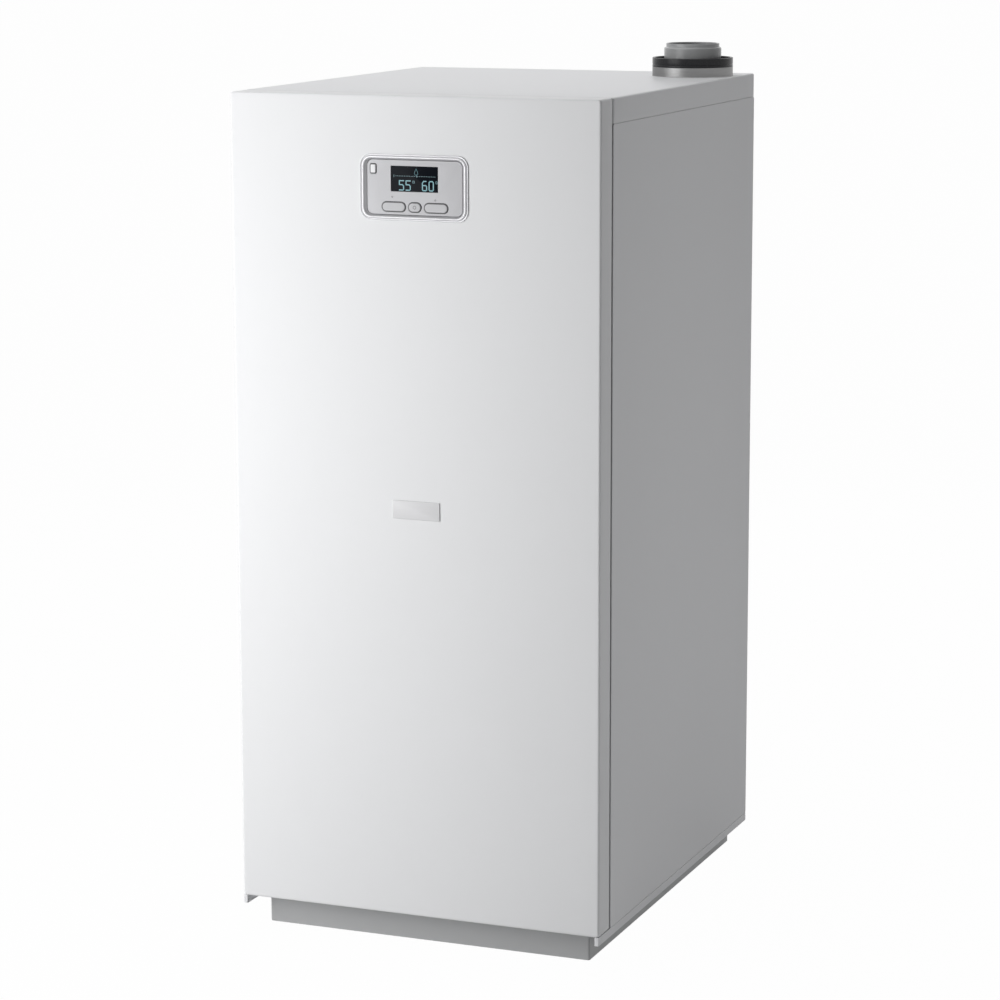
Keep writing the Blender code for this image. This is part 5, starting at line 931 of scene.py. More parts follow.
for key, (wide, tall, radius) in KEY_HOLES.items():
    key_low, key_high = box_of(key)
    key_middle = middle_of(key)
    wide, tall, radius = wide - 0.001, tall - 0.001, radius - 0.0005
    rim = 0.0011 if key == "on_off_key" else 0.0013
    body = domed_rows(wide, tall, radius, key_middle, key_high[1], key_low[1] + 0.0002, 0.0004, 0.0)
    body = wear(surface(f"{key}_body", body, caps=True), KEY_SHADE_AND_PRINT)
    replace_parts(body, key)
    cap = domed_rows(
        wide - 2 * rim, tall - 2 * rim, radius - rim * 0.8, key_middle, key_low[1] + 0.0006, key_low[1],
        0.0003,
        0.0001,
    )
    cap = wear(surface(f"{key}_cap", cap, caps=True), WHITE_CAP if key == "on_off_key" else KEY_CAP)
    for piece in (body, cap):
        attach(piece, key)
    if key == "mode_key":
        ring_turn = np.linspace(0, 2 * np.pi, 25)
        ring = np.stack(
            [key_middle[0] + 0.0022 * np.cos(ring_turn), key_middle[1] + 0.0022 * np.sin(ring_turn)], -1,
        )
        mark = wear(strokes("mode_key_mark", [ring.tolist()], 0.0006, key_low[1] - 0.00004), KEY_SHADE_AND_PRINT)
        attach(mark, key)

spots = []
for key, (x, z) in (("left_rocker_key", (-0.0024, 0.0140)), ("right_rocker_key", (-0.0013, 0.0113))):
    middle_x, middle_z = middle_of(key)
    ring = np.stack(
        [middle_x + x + 0.0010 * np.cos(ring_turn), middle_z + z + 0.0010 * np.sin(ring_turn)], -1,
    )
    spots.append(ring.tolist())
prints = wear(strokes("fascia_prints", spots, 0.0005, FASCIA_Y - 0.00006), KEY_SHADE_AND_PRINT)
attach(prints, "boiler")

# Air ring and flue collar
# Outer half of the concentric flue connection: a bright steel foot through the lid and a black plastic band
# on it.
BRIGHT_STEEL = finish_of(
    "bright_steel", (0.24, 0.24, 0.24), (0.18, 0.18, 0.18), 0.40, 900, 0.000006, 1.0, cloud=30,
    stretch=(1, 1, 14),
)
BLACK_PLASTIC = finish_of(
    "black_plastic", (0.024, 0.024, 0.026), (0.018, 0.018, 0.020), 0.27, 800, 0.00002, cloud=30, gloss=0.2,
)
foot_low, foot_high = box_of("flue_collar")
r = COLLAR_RADIUS
collar = [
    (r, foot_high[2]), (r, foot_low[2] + 0.0045), (r + 0.0008, foot_low[2] + 0.0021),
    (r + 0.006, foot_low[2] + 0.0015),
]
collar += [(r + 0.006, foot_low[2]), (r - 0.0025, foot_low[2]), (r - 0.0025, foot_high[2])]
collar = wear(turned("collar_foot", collar, (FLUE_X, FLUE_Y, 0), round_off=0.0004, around=128), BRIGHT_STEEL)
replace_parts(collar, "flue_collar")
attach(collar, "boiler")
ring_foot, ring_top = collar_low[2], collar_high[2]
ring = [
    (r - 0.00375, ring_top), (r - 0.0004, ring_top), (r, ring_top - 0.0006), (r, ring_foot + 0.0040),
    (r - 0.0005, ring_foot + 0.0036),
]
ring += [(r - 0.0005, ring_foot + 0.0030), (r, ring_foot + 0.0026), (r, ring_foot), (r - 0.00375, ring_foot)]
ring = wear(turned("air_ring_band", ring, (FLUE_X, FLUE_Y, 0), round_off=0.0005, around=128), BLACK_PLASTIC)
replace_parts(ring, "air_ring")
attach(ring, "boiler")

# Flue socket and its seal
# Inner half of the flue connection: a socket of grey exhaust plastic with a stepped mouth and a black lip
# seal.
FLUE_PLASTIC = finish_of(
    "flue_plastic", (0.42, 0.425, 0.43), (0.38, 0.385, 0.39), 0.24, 500, 0.00002, cloud=12, gloss=0.3,
)
RUBBER = finish_of("black_rubber", (0.026, 0.026, 0.027), (0.020, 0.020, 0.021), 0.72, 600, 0.00004, cloud=20)
socket_low, socket_high = box_of("flue_socket")
wide, narrow, foot, top = 0.0443, 0.0412, socket_low[2], socket_high[2]
step = TOP + 0.0430
socket = [
    (narrow - 0.0025, top), (narrow, top), (narrow, step + 0.0016), (wide - 0.0003, step),
    (wide, step - 0.0006),
]
socket += [
    (wide, foot + 0.0300), (0.0408, foot + 0.0150), (0.0408, foot), (0.0383, foot), (0.0383, foot + 0.0300),
]
socket += [(narrow - 0.0025, foot + 0.0325)]
socket = wear(
    turned("flue_socket_smooth", socket, (FLUE_X, FLUE_Y, 0), round_off=0.0008, around=128), FLUE_PLASTIC,
)
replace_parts(socket, "flue_socket")
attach(socket, "boiler")
seal_low, seal_high = box_of("socket_lip_seal")
seal_radius, seal_middle = (seal_high[0] - seal_low[0]) / 2, (seal_low[2] + seal_high[2]) / 2
seal = [
    (seal_radius, seal_high[2]), (seal_radius, seal_low[2]), (seal_radius - 0.0010, seal_low[2] + 0.0008),
    (seal_radius - 0.0025, seal_middle),
]
seal += [(seal_radius - 0.0010, seal_high[2] - 0.0008)]
seal = wear(turned("lip_seal_ring", seal, (FLUE_X, FLUE_Y, 0), round_off=0.0003, around=128), RUBBER)
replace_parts(seal, "socket_lip_seal")
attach(seal, "boiler")

# Flue pipe and elbow
# The exhaust's way up: a swept elbow on the sump's spigot and a straight pipe up into the socket. Pale
# exhaust plastic.
BODY = np.array([-0.040, 0.0300])
TO_FLUE = (np.array([FLUE_X, FLUE_Y]) - BODY) / np.linalg.norm(np.array([FLUE_X, FLUE_Y]) - BODY)


def route_of(corners, bend, count):
    """Evenly spaced points along straight runs that round bends of one radius join.

    In each corner the bend is centre + r (u cos a + t sin a), from the arm u and along the run t that comes
    in.
    """
    corners = np.asarray(corners, float)
    points = [corners[:1]]
    for before, corner, after in zip(corners, corners[1:], corners[2:]):
        into = (corner - before) / np.linalg.norm(corner - before)
        out = (after - corner) / np.linalg.norm(after - corner)
        angle = math.acos(np.clip(into @ out, -1, 1))
        start = corner - into * bend * math.tan(angle / 2)
        arm = -(out - into * (into @ out)) / np.linalg.norm(out - into * (into @ out))
        a = np.linspace(0, angle, 25)[:, None]
        points.append(start - arm * bend + bend * (arm * np.cos(a) + into * np.sin(a)))
    points = np.concatenate([*points, corners[-1:]])
    length = np.concatenate([[0], np.cumsum(np.linalg.norm(np.diff(points, axis=0), axis=1))])
    even = np.linspace(0, length[-1], count)
    return np.stack([np.interp(even, length, points[:, axis]) for axis in range(3)], -1), even


def swept(name, corners, bend, radius, bore=0.0, count=120, around=40, ribs=None, sharp=40):
    """A round bar or pipe along a route: route + R (n cos a + b sin a), where n is carried along without
    twist.

    Ribs is (height, pitch): the outside then rises and falls by half the height as cos(2 pi s / pitch) with
    the length s.
    """
    route, s = route_of(corners, bend, count)
    tangent = np.gradient(route, axis=0)
    tangent /= np.linalg.norm(tangent, axis=1, keepdims=True)
    normal = np.cross(tangent[0], (0.31, 0.52, 0.79))
    normals = []
    for direction in tangent:
        normal = normal - direction * (normal @ direction)
        normal = normal / np.linalg.norm(normal)
        normals.append(normal)
    normals = np.array(normals)[:, None]
    side = np.cross(tangent[:, None], normals)
    angle = np.linspace(0, 2 * np.pi, around, endpoint=False)[None, :, None]
    wave = np.zeros(count) if ribs is None else ribs[0] / 2 * (np.cos(2 * np.pi * s / ribs[1]) - 1)
    circle = normals * np.cos(angle) + side * np.sin(angle)
    rows = route[:, None] + (radius + wave)[:, None, None] * circle
    if bore:
        rows = np.concatenate([rows, (route[:, None] + bore * circle)[::-1]])
        return surface(name, rows, loop=True, sharp=sharp)
    return surface(name, rows, caps=True, sharp=sharp)


elbow_z = 0.157
elbow_start = BODY + TO_FLUE * (0.150 + 0.0163)
elbow = [(*elbow_start, elbow_z), (FLUE_X, FLUE_Y, elbow_z), (FLUE_X, FLUE_Y, 0.237)]
elbow = wear(swept("flue_elbow_swept", elbow, 0.060, 0.0380, 0.0360, around=64), FLUE_PLASTIC)
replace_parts(elbow, "flue_elbow")
pipe_low, pipe_high = box_of("flue_pipe")
pipe = [(0.0380, pipe_low[2]), (0.0380, pipe_high[2]), (0.0360, pipe_high[2]), (0.0360, pipe_low[2])]
pipe = wear(turned("flue_pipe_smooth", pipe, (FLUE_X, FLUE_Y, 0), round_off=0.0004, around=96), FLUE_PLASTIC)
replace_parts(pipe, "flue_pipe")
for piece in (elbow, pipe):
    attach(piece, "boiler")
wear(nodes["flue_spacer"], GALVANISED)

# Control box and its boards
# Housing of the electronics behind the cover, hung under the top rail, with the main board and the display's
# board.


def board_finish(name):
    """Circuit board: green mask over copper lines, drawn by the mortar of a brick pattern, and grain from
    a noise."""
    material = bpy.data.materials.new(name)
    material.use_nodes = True
    tree = material.node_tree
    shader = tree.nodes["Principled BSDF"]
    place = tree.nodes.new("ShaderNodeTexCoord")
    turned_up = tree.nodes.new("ShaderNodeMapping")
    turned_up.inputs["Rotation"].default_value = (math.pi / 2, 0, 0)
    lines = tree.nodes.new("ShaderNodeTexBrick")
    lines.inputs["Scale"].default_value = 60
    lines.inputs["Mortar Size"].default_value = 0.035
    lines.inputs["Color1"].default_value = (0.020, 0.150, 0.060, 1)
    lines.inputs["Color2"].default_value = (0.016, 0.125, 0.052, 1)
    lines.inputs["Mortar"].default_value = (0.060, 0.240, 0.090, 1)
    tree.links.new(place.outputs["Object"], turned_up.inputs["Vector"])
    tree.links.new(turned_up.outputs["Vector"], lines.inputs["Vector"])
    tree.links.new(lines.outputs["Color"], shader.inputs["Base Color"])
    relief = tree.nodes.new("ShaderNodeBump")
    relief.inputs["Distance"].default_value = 0.00004
    tree.links.new(lines.outputs["Fac"], relief.inputs["Height"])
    tree.links.new(relief.outputs["Normal"], shader.inputs["Normal"])
    shader.inputs["Roughness"].default_value = 0.38
    return material


BOARD = board_finish("circuit_board")
NYLON = finish_of("white_nylon", (0.62, 0.61, 0.56), (0.56, 0.55, 0.50), 0.45, 500, 0.00002, cloud=20)
RELAY = finish_of("relay_case", (0.020, 0.055, 0.170), (0.016, 0.045, 0.140), 0.35, 600, 0.00001, cloud=20)
VARNISH = finish_of("coil_varnish", (0.30, 0.16, 0.035), (0.22, 0.11, 0.025), 0.40, 700, 0.00004, cloud=40)
wear(nodes["control_box"], BLACK_PLASTIC)
board_low, board_high = box_of("main_board")
half, rise = board_high[0], (board_high[2] - board_low[2]) / 2
board_middle, board_rear = (board_low[2] + board_high[2]) / 2, board_high[1] - 0.008
board_face = board_rear - 0.0016
plate = plate_rows(2 * half, 2 * rise, 0.003, (0, board_middle), board_rear, board_face, 0.0002)
plate = wear(surface("main_board_plate", plate, caps=True, brace=0.01), BOARD)
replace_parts(plate, "main_board")
pieces = [(plate, "circuit_board")]
BLOCKS = (
    ("transformer", (-0.70, 0.45), (0.16, 0.30, 0.45), BLACK_PLASTIC),
    ("fan_relay", (-0.28, 0.55), (0.12, 0.22, 0.25), RELAY),
    ("pump_relay", (0.10, 0.55), (0.12, 0.22, 0.25), RELAY),
    ("side_terminals", (0.62, 0.10), (0.14, 0.70, 0.18), NYLON),
    ("low_terminals", (-0.45, -0.72), (0.40, 0.14, 0.20), NYLON),
)
for name, (x, z), (wide, tall, deep), material in BLOCKS:
    x, z, wide, tall = half * x, board_middle + rise * z, half * wide * 2, rise * tall * 2
    face = board_face - 0.095 * deep
    block = surface(
        name, plate_rows(wide, tall, 0.0012, (x, z), board_face - 0.0001, face, 0.0006), caps=True,
        brace=0.02,
    )
    pieces.append((wear(block, material), "black_plastic"))
    # A row of black marks on each terminal block is painted shade for its wire openings, which are not cut.
    if material is NYLON:
        run = np.arange(-max(wide, tall) / 2 + 0.006, max(wide, tall) / 2 - 0.004, 0.0075)
        spots = [(x + s, z) for s in run] if wide > tall else [(x, z + s) for s in run]
        pocket_shade_marks = [[(a - 0.0012, b), (a + 0.0012, b)] for a, b in spots]
        pieces.append(
            (wear(strokes(f"{name}_pockets", pocket_shade_marks, 0.0042, face - 0.00006), RUBBER), "black_plastic")
        )
low, high = board_face - 0.095 * 0.45 + 0.006, board_face - 0.004
coil_place = (half * -0.70, board_middle + rise * 0.45)
coil = plate_rows(half * 0.32 + 0.004, rise * 0.38, 0.004, coil_place, high, low, 0.0015)
pieces.append((wear(surface("transformer_coil", coil, caps=True, brace=0.02), VARNISH), "black_plastic"))
for place, (x, z) in enumerate(((0.36, 0.62), (0.36, 0.30), (-0.20, -0.12), (0.05, -0.12), (0.22, -0.62))):
    can = [
        (0, 0.0004), (0.0030, 0.0004), (0.0034, 0), (0.0060, 0), (0.0060, -0.0185), (0.0054, -0.0195),
        (0.0056, -0.0210), (0, -0.0210),
    ]
    can = turned(
        f"capacitor_{place + 1}", can[::-1], (half * x, board_face - 0.0211, board_middle + rise * z), "Y",
        round_off=0.0003, around=40,
    )
    pieces.append((wear(can, BLACK_PLASTIC), "black_plastic"))
for place, (x, z) in enumerate(((-1, -1), (-1, 1), (1, -1), (1, 1))):
    post = [
        (0, board_rear - 0.0004), (0.0040, board_rear - 0.0004), (0.0040, board_high[1]),
        (0, board_high[1]),
    ]
    post = turned(
        f"board_post_{place + 1}", post, (0.92 * half * x, 0, board_middle + 0.92 * rise * z), "Y",
        around=32,
    )
    pieces.append((wear(post, NYLON), "black_plastic"))
for piece, slot_name in pieces:
    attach(piece, "boiler")
wear(nodes["display_board"], BOARD)
for rail in ("top_front_rail", "bottom_front_rail"):
    wear(nodes[rail], GALVANISED)

# Rear panel
# Back sheet set into the casing, with its edges folded forwards and a round hole for each connection.
# Galvanised.
rear_low, rear_high = box_of("rear_panel")
REAR_Y = rear_high[1]
HOLES = {
    "flow_pipe": 0.0170, "return_pipe": 0.0170, "gas_pipe": 0.0110, "condensate_outlet": 0.0105,
    "mains_gland": 0.0100,
}
FLOW, RETURN = (BODY[0], 0.740), (BODY[0], 0.300)
GAS, OUTLET, GLAND = (-0.240, 0.9769), (-0.236, 0.107), (0.150, 1.150)


def rear_rows():
    """Inner face, flange edge, then round the fold's quarter circle to the outer face."""
    size = (rear_high - rear_low)[[0, 2]]
    middle = ((rear_low[0] + rear_high[0]) / 2, (rear_low[2] + rear_high[2]) / 2)

    def row(inset, y):
        return outline(size[0] - 2 * inset, size[1] - 2 * inset, max(0.0035 - inset, 0.0005), middle, y)

    inner = [
        row(FOLD, REAR_Y - SHEET), row(SHEET, REAR_Y - FOLD), row(SHEET, rear_low[1]), row(0, rear_low[1]),
    ]
    return inner + [
        row(FOLD * (1 - math.cos(a)), REAR_Y - FOLD * (1 - math.sin(a))) for a in np.linspace(0, np.pi / 2, 7)
    ]


rear_panel = surface("rear_panel_sheet", rear_rows(), caps=True, brace=0.006)
holes = []
for (x, z), radius in zip((FLOW, RETURN, GAS, OUTLET, GLAND), HOLES.values()):
    holes.append(
        turned(
            "cutter", [(0, -0.01), (radius + 0.0003, -0.01), (radius + 0.0003, 0.01), (0, 0.01)],
            (x, REAR_Y, z), "Y",
            around=64,
        )
    )
rear_panel = wear(cut_by(rear_panel, holes), GALVANISED)
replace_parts(rear_panel, "rear_panel")
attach(rear_panel, "boiler")

# Flow and return pipes
# Water connections: brass stubs from the vessel's wall through the rear panel, each with a union ring and a
# thread.
BRASS = finish_of("brass", (0.66, 0.48, 0.22), (0.54, 0.38, 0.17), 0.28, 700, 0.00001, metallic=1.0, cloud=45)
CONNECTION_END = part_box("flow_pipe")[1][1]
for pipe_name, (x, z) in (("flow_pipe", FLOW), ("return_pipe", RETURN)):
    stub_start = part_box(pipe_name)[0][1]
    threads = np.arange(CONNECTION_END - 0.0155, CONNECTION_END - 0.0015, 0.0009)
    stub = [
        (0.0150, CONNECTION_END), (0.0150, stub_start), (0.0170, stub_start),
        (0.0170, CONNECTION_END - 0.0190),
    ]
    stub += [
        (0.0200, CONNECTION_END - 0.0164)
    ] + [(0.0200 - 0.0007 * (i % 2), y) for i, y in enumerate(threads)]
    stub += [(0.0192, CONNECTION_END)]
    stub = wear(turned(f"{pipe_name}_threaded", stub, (x, 0, z), "Y", around=72), BRASS)
    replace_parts(stub, pipe_name)
    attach(stub, "boiler")

# Gas pipe
# Steel pipe from the rear along the left side to the valve, bent once and painted yellow.
GAS_YELLOW = finish_of(
    "gas_yellow_paint", (0.74, 0.52, 0.035), (0.68, 0.46, 0.028), 0.36, 500, 0.00003, cloud=15,
)
gas_high = box_of("gas_pipe")[1]
MIXER_Y = -0.0253
gas = [(GAS[0], CONNECTION_END, GAS[1]), (GAS[0], MIXER_Y, GAS[1]), (gas_high[0], MIXER_Y, GAS[1])]
gas = wear(swept("gas_pipe_swept", gas, 0.0275, 0.0110, 0.0090, count=90, around=40), GAS_YELLOW)
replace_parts(gas, "gas_pipe")
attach(gas, "boiler")

# Mains gland
# Screwed cable gland in the rear panel: nut inside, dome nut with finger grips outside. Black polyamide.
gland_low, gland_high = box_of("mains_gland")


def gripped(name, profile, middle, axis, teeth, depth, where, around=96, round_off=0.0):
    """A lathe shape whose rows within the given heights are fluted: there r is cut by depth * (1 -
    |cos(teeth a / 2)|)."""
    rows = np.asarray(profile, float) if round_off == 0 else soften(profile, round_off)
    angle = np.linspace(0, 2 * np.pi, around, endpoint=False)
    inside = ((rows[:, 1] > where[0]) & (rows[:, 1] < where[1]) & (rows[:, 0] > where[2]))[:, None]
    radius = np.maximum(rows[:, :1], 0.00005) - inside * depth * (1 - np.abs(np.cos(teeth * angle / 2)))
    return surface(name, carried_round(radius, rows, angle, middle, axis), loop=True, sharp=35)


gland = [
    (0.0055, gland_high[1]), (0.0096, gland_high[1]), (0.0118, gland_high[1] - 0.0050),
    (0.0130, gland_high[1] - 0.0092),
]
gland += [
    (0.0130, REAR_Y + 0.0060), (0.0122, REAR_Y + 0.0050), (0.0130, REAR_Y + 0.0040),
    (0.0130, REAR_Y + 0.0003),
    (0.0100, REAR_Y + 0.0003),
]
gland += [
    (0.0100, REAR_Y - SHEET - 0.0003), (0.0130, REAR_Y - SHEET - 0.0003), (0.0130, gland_low[1]),
    (0.0055, gland_low[1]),
]
gland = gripped(
    "mains_gland_domed", gland, (GLAND[0], 0, GLAND[1]), "Y", 14, 0.0010,
    (REAR_Y + 0.0055, gland_high[1] - 0.006, 0.0115), round_off=0.0005,
)
wear(gland, BLACK_PLASTIC)
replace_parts(gland, "mains_gland")
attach(gland, "boiler")

# Insulation shells
# Two moulded foam half shells round the water vessel, drawn together by two steel bands that lie in their
# grooves.
FOAM = finish_of("grey_foam", (0.20, 0.21, 0.22), (0.145, 0.15, 0.16), 0.88, 240, 0.0006, cloud=18)
VESSEL_FOOT, VESSEL_TOP = 0.205, 0.825
JACKET, WALL_INSIDE = 0.215, 0.1856
BAND_LEVELS = (0.315, 0.715)
trap_middle = np.array([-0.236, -0.2050])
TO_TRAP = (trap_middle - BODY) / np.linalg.norm(trap_middle - BODY)
for side_name, side in (("left", -1), ("right", 1)):
    wall = [
        (WALL_INSIDE, VESSEL_TOP), (WALL_INSIDE, VESSEL_FOOT), (JACKET - 0.009, VESSEL_FOOT),
        (JACKET, VESSEL_FOOT + 0.009),
    ]
    for level in BAND_LEVELS:
        wall += [
            (JACKET, level - 0.009), (JACKET - 0.003, level - 0.009), (JACKET - 0.003, level + 0.009),
            (JACKET, level + 0.009),
        ]
    wall += [(JACKET, VESSEL_TOP - 0.009), (JACKET - 0.009, VESSEL_TOP)]
    profile = soften(wall, 0.0025)
    bearing = np.linspace(0.0009, np.pi - 0.0009, 73)
    x = side * profile[:, :1] * np.sin(bearing)
    y = -profile[:, :1] * np.cos(bearing)
    rows = np.stack([x, y, np.broadcast_to(profile[:, 1:], x.shape)], -1) + np.array([BODY[0], BODY[1], 0])
    shell = surface(f"{side_name}_foam_shell", np.moveaxis(rows, 1, 0), caps=True)
    holes = []
    for (x, z), radius, rear in ((FLOW, 0.0176, 1), (RETURN, 0.0176, 1), ((BODY[0], 0.250), 0.0101, -1)):
        reach = [(0, 0.17), (radius, 0.17), (radius, 0.23), (0, 0.23)]
        holes.append(turned("cutter", [(r, rear * h) for r, h in reach], (x, BODY[1], z), "Y", around=48))
    shell = wear(cut_by(shell, holes), FOAM)
    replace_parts(shell, f"{side_name}_insulation_shell")
    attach(shell, "boiler")
for place, level in enumerate(BAND_LEVELS):
    band = [
        (0.2124, level - 0.007), (0.2132, level - 0.007), (0.2132, level + 0.007), (0.2124, level + 0.007),
    ]
    band = wear(
        turned(f"shell_band_{place + 1}", band, (*BODY, 0), round_off=0.0002, around=128), BRIGHT_STEEL,
    )
    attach(band, "boiler")
STAINLESS = finish_of(
    "stainless_sheet", (0.60, 0.60, 0.59), (0.52, 0.52, 0.51), 0.28, 600, 0.00001, metallic=1.0, cloud=20,
    stretch=(1, 1, 10),
)
for node in ("vessel_shell", "combustion_chamber", "smoke_tube_bundle"):
    wear(nodes[node], STAINLESS)
stand_low, stand_high = box_of("vessel_stand")
r = (stand_high[0] - stand_low[0]) / 2
stand = [(r, stand_high[2]), (r, stand_low[2]), (r - 0.003, stand_low[2]), (r - 0.003, stand_high[2])]
stand = turned("stand_ring", stand, (*BODY, 0), round_off=0.0004, around=128)
elbow_way = [(*(BODY + TO_FLUE * reach), 0.157) for reach in (0.13, 0.24)]
hose_way = [(*(BODY + TO_TRAP * reach), 0.081) for reach in (0.13, 0.24)]
cutters = [
    swept("cutter", elbow_way, 0, 0.041, count=12, around=64),
    swept("cutter", hose_way, 0, 0.015, count=12, around=48),
]
stand = wear(cut_by(stand, cutters), GALVANISED)
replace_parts(stand, "vessel_stand")
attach(stand, "boiler")


def port_shade_finish(name):
    """Burner sheet: steel, with rows of round flame ports that are not cut: Voronoi cells on an unshaken grid
    give a near-black dot of painted shade where each port's hole would be."""
    material = STAINLESS.copy()
    material.name = name
    tree = material.node_tree
    shader = tree.nodes["Principled BSDF"]
    place = tree.nodes.new("ShaderNodeTexCoord")
    ports = tree.nodes.new("ShaderNodeTexVoronoi")
    ports.inputs["Scale"].default_value = 220
    ports.inputs["Randomness"].default_value = 0.0
    edge = tree.nodes.new("ShaderNodeMapRange")
    edge.inputs["From Min"].default_value = 0.22
    edge.inputs["From Max"].default_value = 0.30
    # Near-black in the middle of each cell: painted shade for the hole of a flame port.
    dark = tree.nodes.new("ShaderNodeMix")
    dark.data_type = "RGBA"
    dark.inputs["A"].default_value = (0.01, 0.01, 0.01, 1)
    dark.inputs["B"].default_value = (0.46, 0.43, 0.40, 1)
    tree.links.new(place.outputs["Object"], ports.inputs["Vector"])
    tree.links.new(ports.outputs["Distance"], edge.inputs["Value"])
    tree.links.new(edge.outputs["Result"], dark.inputs["Factor"])
    tree.links.new(dark.outputs["Result"], shader.inputs["Base Color"])
    return material


wear(nodes["burner_tube"], port_shade_finish("burner_painted_port_shade"))
GASKET = finish_of("gasket_fibre", (0.70, 0.67, 0.60), (0.60, 0.57, 0.50), 0.92, 420, 0.0002, cloud=40)
wear(nodes["burner_door_seal"], GASKET)
CERAMIC = finish_of("glazed_ceramic", (0.84, 0.83, 0.79), (0.80, 0.79, 0.74), 0.30, 500, 0.00002, cloud=60)
wear(nodes["ignition_electrode"], CERAMIC)

# Burner door
# Cast aluminium cover over the firing space: a raised neck for the fan, six ribs and six nuts on its rim.
CAST = finish_of(
    "cast_aluminium", (0.58, 0.59, 0.60), (0.48, 0.49, 0.50), 0.46, 520, 0.00012, metallic=0.9, cloud=25,
)
door_low = box_of("burner_door")[0]
DOOR_FOOT = door_low[2]
DOOR_TOP = DOOR_FOOT + 0.012
NECK_TOP = DOOR_TOP + 0.020
DOOR_RADIUS = 0.150
door = [
    (0.0300, NECK_TOP), (0.0300, DOOR_FOOT), (DOOR_RADIUS, DOOR_FOOT), (DOOR_RADIUS, DOOR_TOP - 0.0030),
    (DOOR_RADIUS - 0.0025, DOOR_TOP),
]
door += [
    (0.0450, DOOR_TOP), (0.0400, DOOR_TOP + 0.0030), (0.0380, NECK_TOP - 0.0080), (0.0460, NECK_TOP - 0.0055),
    (0.0460, NECK_TOP),
]
angle = np.linspace(0, 2 * np.pi, 216, endpoint=False)
profile = soften(door, 0.0025)
r, h = profile[:, :1], profile[:, 1:]
on_top = (h > DOOR_TOP - 0.0002) & (h < DOOR_TOP + 0.0002)
rib = np.maximum(0, np.cos(3 * (angle + np.pi / 2))) ** 24 + np.maximum(
    0, -np.cos(3 * (angle + np.pi / 2)),
) ** 24
fine = np.linspace(0.0450, DOOR_RADIUS - 0.0050, 24)[:, None]
top_row = int(np.argmax(on_top[:, 0]))
last_top = len(on_top) - 1 - int(np.argmax(on_top[::-1, 0]))
r = np.concatenate([r[: top_row + 1], fine[::-1], r[last_top:]])
h = np.concatenate([h[: top_row + 1], np.full_like(fine, DOOR_TOP), h[last_top:]])
fade = np.clip((r - 0.046) / 0.004, 0, 1) * np.clip(
    (DOOR_RADIUS - 0.010 - r) / 0.01, 0, 1,
) * (np.abs(h - DOOR_TOP) < 0.0003)
rise = fade * 0.0052 * rib
points = np.stack([r * np.cos(angle) + BODY[0], r * np.sin(angle) + BODY[1], h + rise], -1)
door = surface("burner_door_cast", points, loop=True, sharp=40)
hole_x, hole_y = BODY[0] + 0.062 * math.sin(0.9), BODY[1] - 0.062 * math.cos(0.9)
door = wear(
    cut_by(
        door,
        [
            turned(
                "cutter",
                [
                    (0, DOOR_FOOT - 0.01), (0.0053, DOOR_FOOT - 0.01), (0.0053, DOOR_TOP + 0.02),
                    (0, DOOR_TOP + 0.02),
                ],
                (hole_x, hole_y, 0), around=32,
            )
        ],
    ),
    CAST,
)
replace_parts(door, "burner_door")
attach(door, "boiler")


for index in range(6):
    bearing = 2 * np.pi * (index + 0.5) / 6
    middle = BODY + 0.138 * np.array([math.sin(bearing), -math.cos(bearing)])
    nut = wear(
        hexagon(f"door_nut_{index + 1}", middle, 0.0124, DOOR_TOP - 0.0002, DOOR_TOP + 0.0052, 0.0030),
        ZINC,
    )
    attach(nut, "boiler")

# Fan housing
# Scroll of the premix fan, cast aluminium: it widens to an outlet that stands on the door's neck. The eye is
# in front.
housing_low = box_of("fan_housing")[0]
FAN_X, FAN_Z = 0.027, 0.9769
FAN_FOOT = housing_low[2]
FAN_HALF = 0.030


def scroll_line(wall, foot, steps=97):
    """The scroll's outline in x and z: r = tongue + (R - tongue) * turn share - wall, then straight down
    to the outlet."""
    tongue, reach = 0.095 * 0.72, 0.095
    turn = np.radians(np.linspace(235 - math.degrees(3 * wall / tongue), 540, steps))
    share = np.linspace(0, 1, steps)
    radius = tongue + (reach - tongue) * share - wall
    curve = np.stack([FAN_X + radius * np.cos(turn), FAN_Z + radius * np.sin(turn)], -1)
    ends = [(BODY[0] - 0.028 + wall, foot), (BODY[0] + 0.028 - wall, foot)]
    return np.concatenate([curve, ends])


def scroll_rows(wall, foot, half, edge):
    """The outline swept from front to rear, drawn in by a quarter circle of radius edge at both faces."""
    rows = []
    for sign in (-1, 1):
        arc = np.linspace(0, np.pi / 2, 6) if sign > 0 else np.linspace(np.pi / 2, 0, 6)
        for a in arc:
            line = scroll_line(wall + edge * (1 - math.cos(a)), foot)
            depth = BODY[1] + sign * (half - edge * (1 - math.sin(a)))
            rows.append(np.insert(line, 1, depth, axis=1))
    return rows


housing = surface("fan_scroll", scroll_rows(0, FAN_FOOT, FAN_HALF, 0.004), caps=True, sharp=40)
cavity = surface("cutter", scroll_rows(0.003, FAN_FOOT - 0.01, FAN_HALF - 0.003, 0.002), caps=True)
eye_cut = turned(
    "cutter", [(0, -0.05), (0.0340, -0.05), (0.0340, 0), (0, 0)], (FAN_X, BODY[1], FAN_Z), "Y", around=96,
)
shaft_cut = turned(
    "cutter", [(0, 0), (0.0053, 0), (0.0053, 0.05), (0, 0.05)], (FAN_X, BODY[1], FAN_Z), "Y", around=32,
)
housing = wear(cut_by(housing, [cavity, eye_cut, shaft_cut]), CAST)
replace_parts(housing, "fan_housing")
flange = level_ring(0.092, 0.092, 0.010, BODY, FAN_FOOT)
hole = circle_facing(flange, BODY, 0.0275, FAN_FOOT)
up = np.array([0, 0, 0.005])
flange = wear(surface("fan_flange", [flange, flange + up, hole + up, hole], loop=True), CAST)
pieces = [housing, flange]
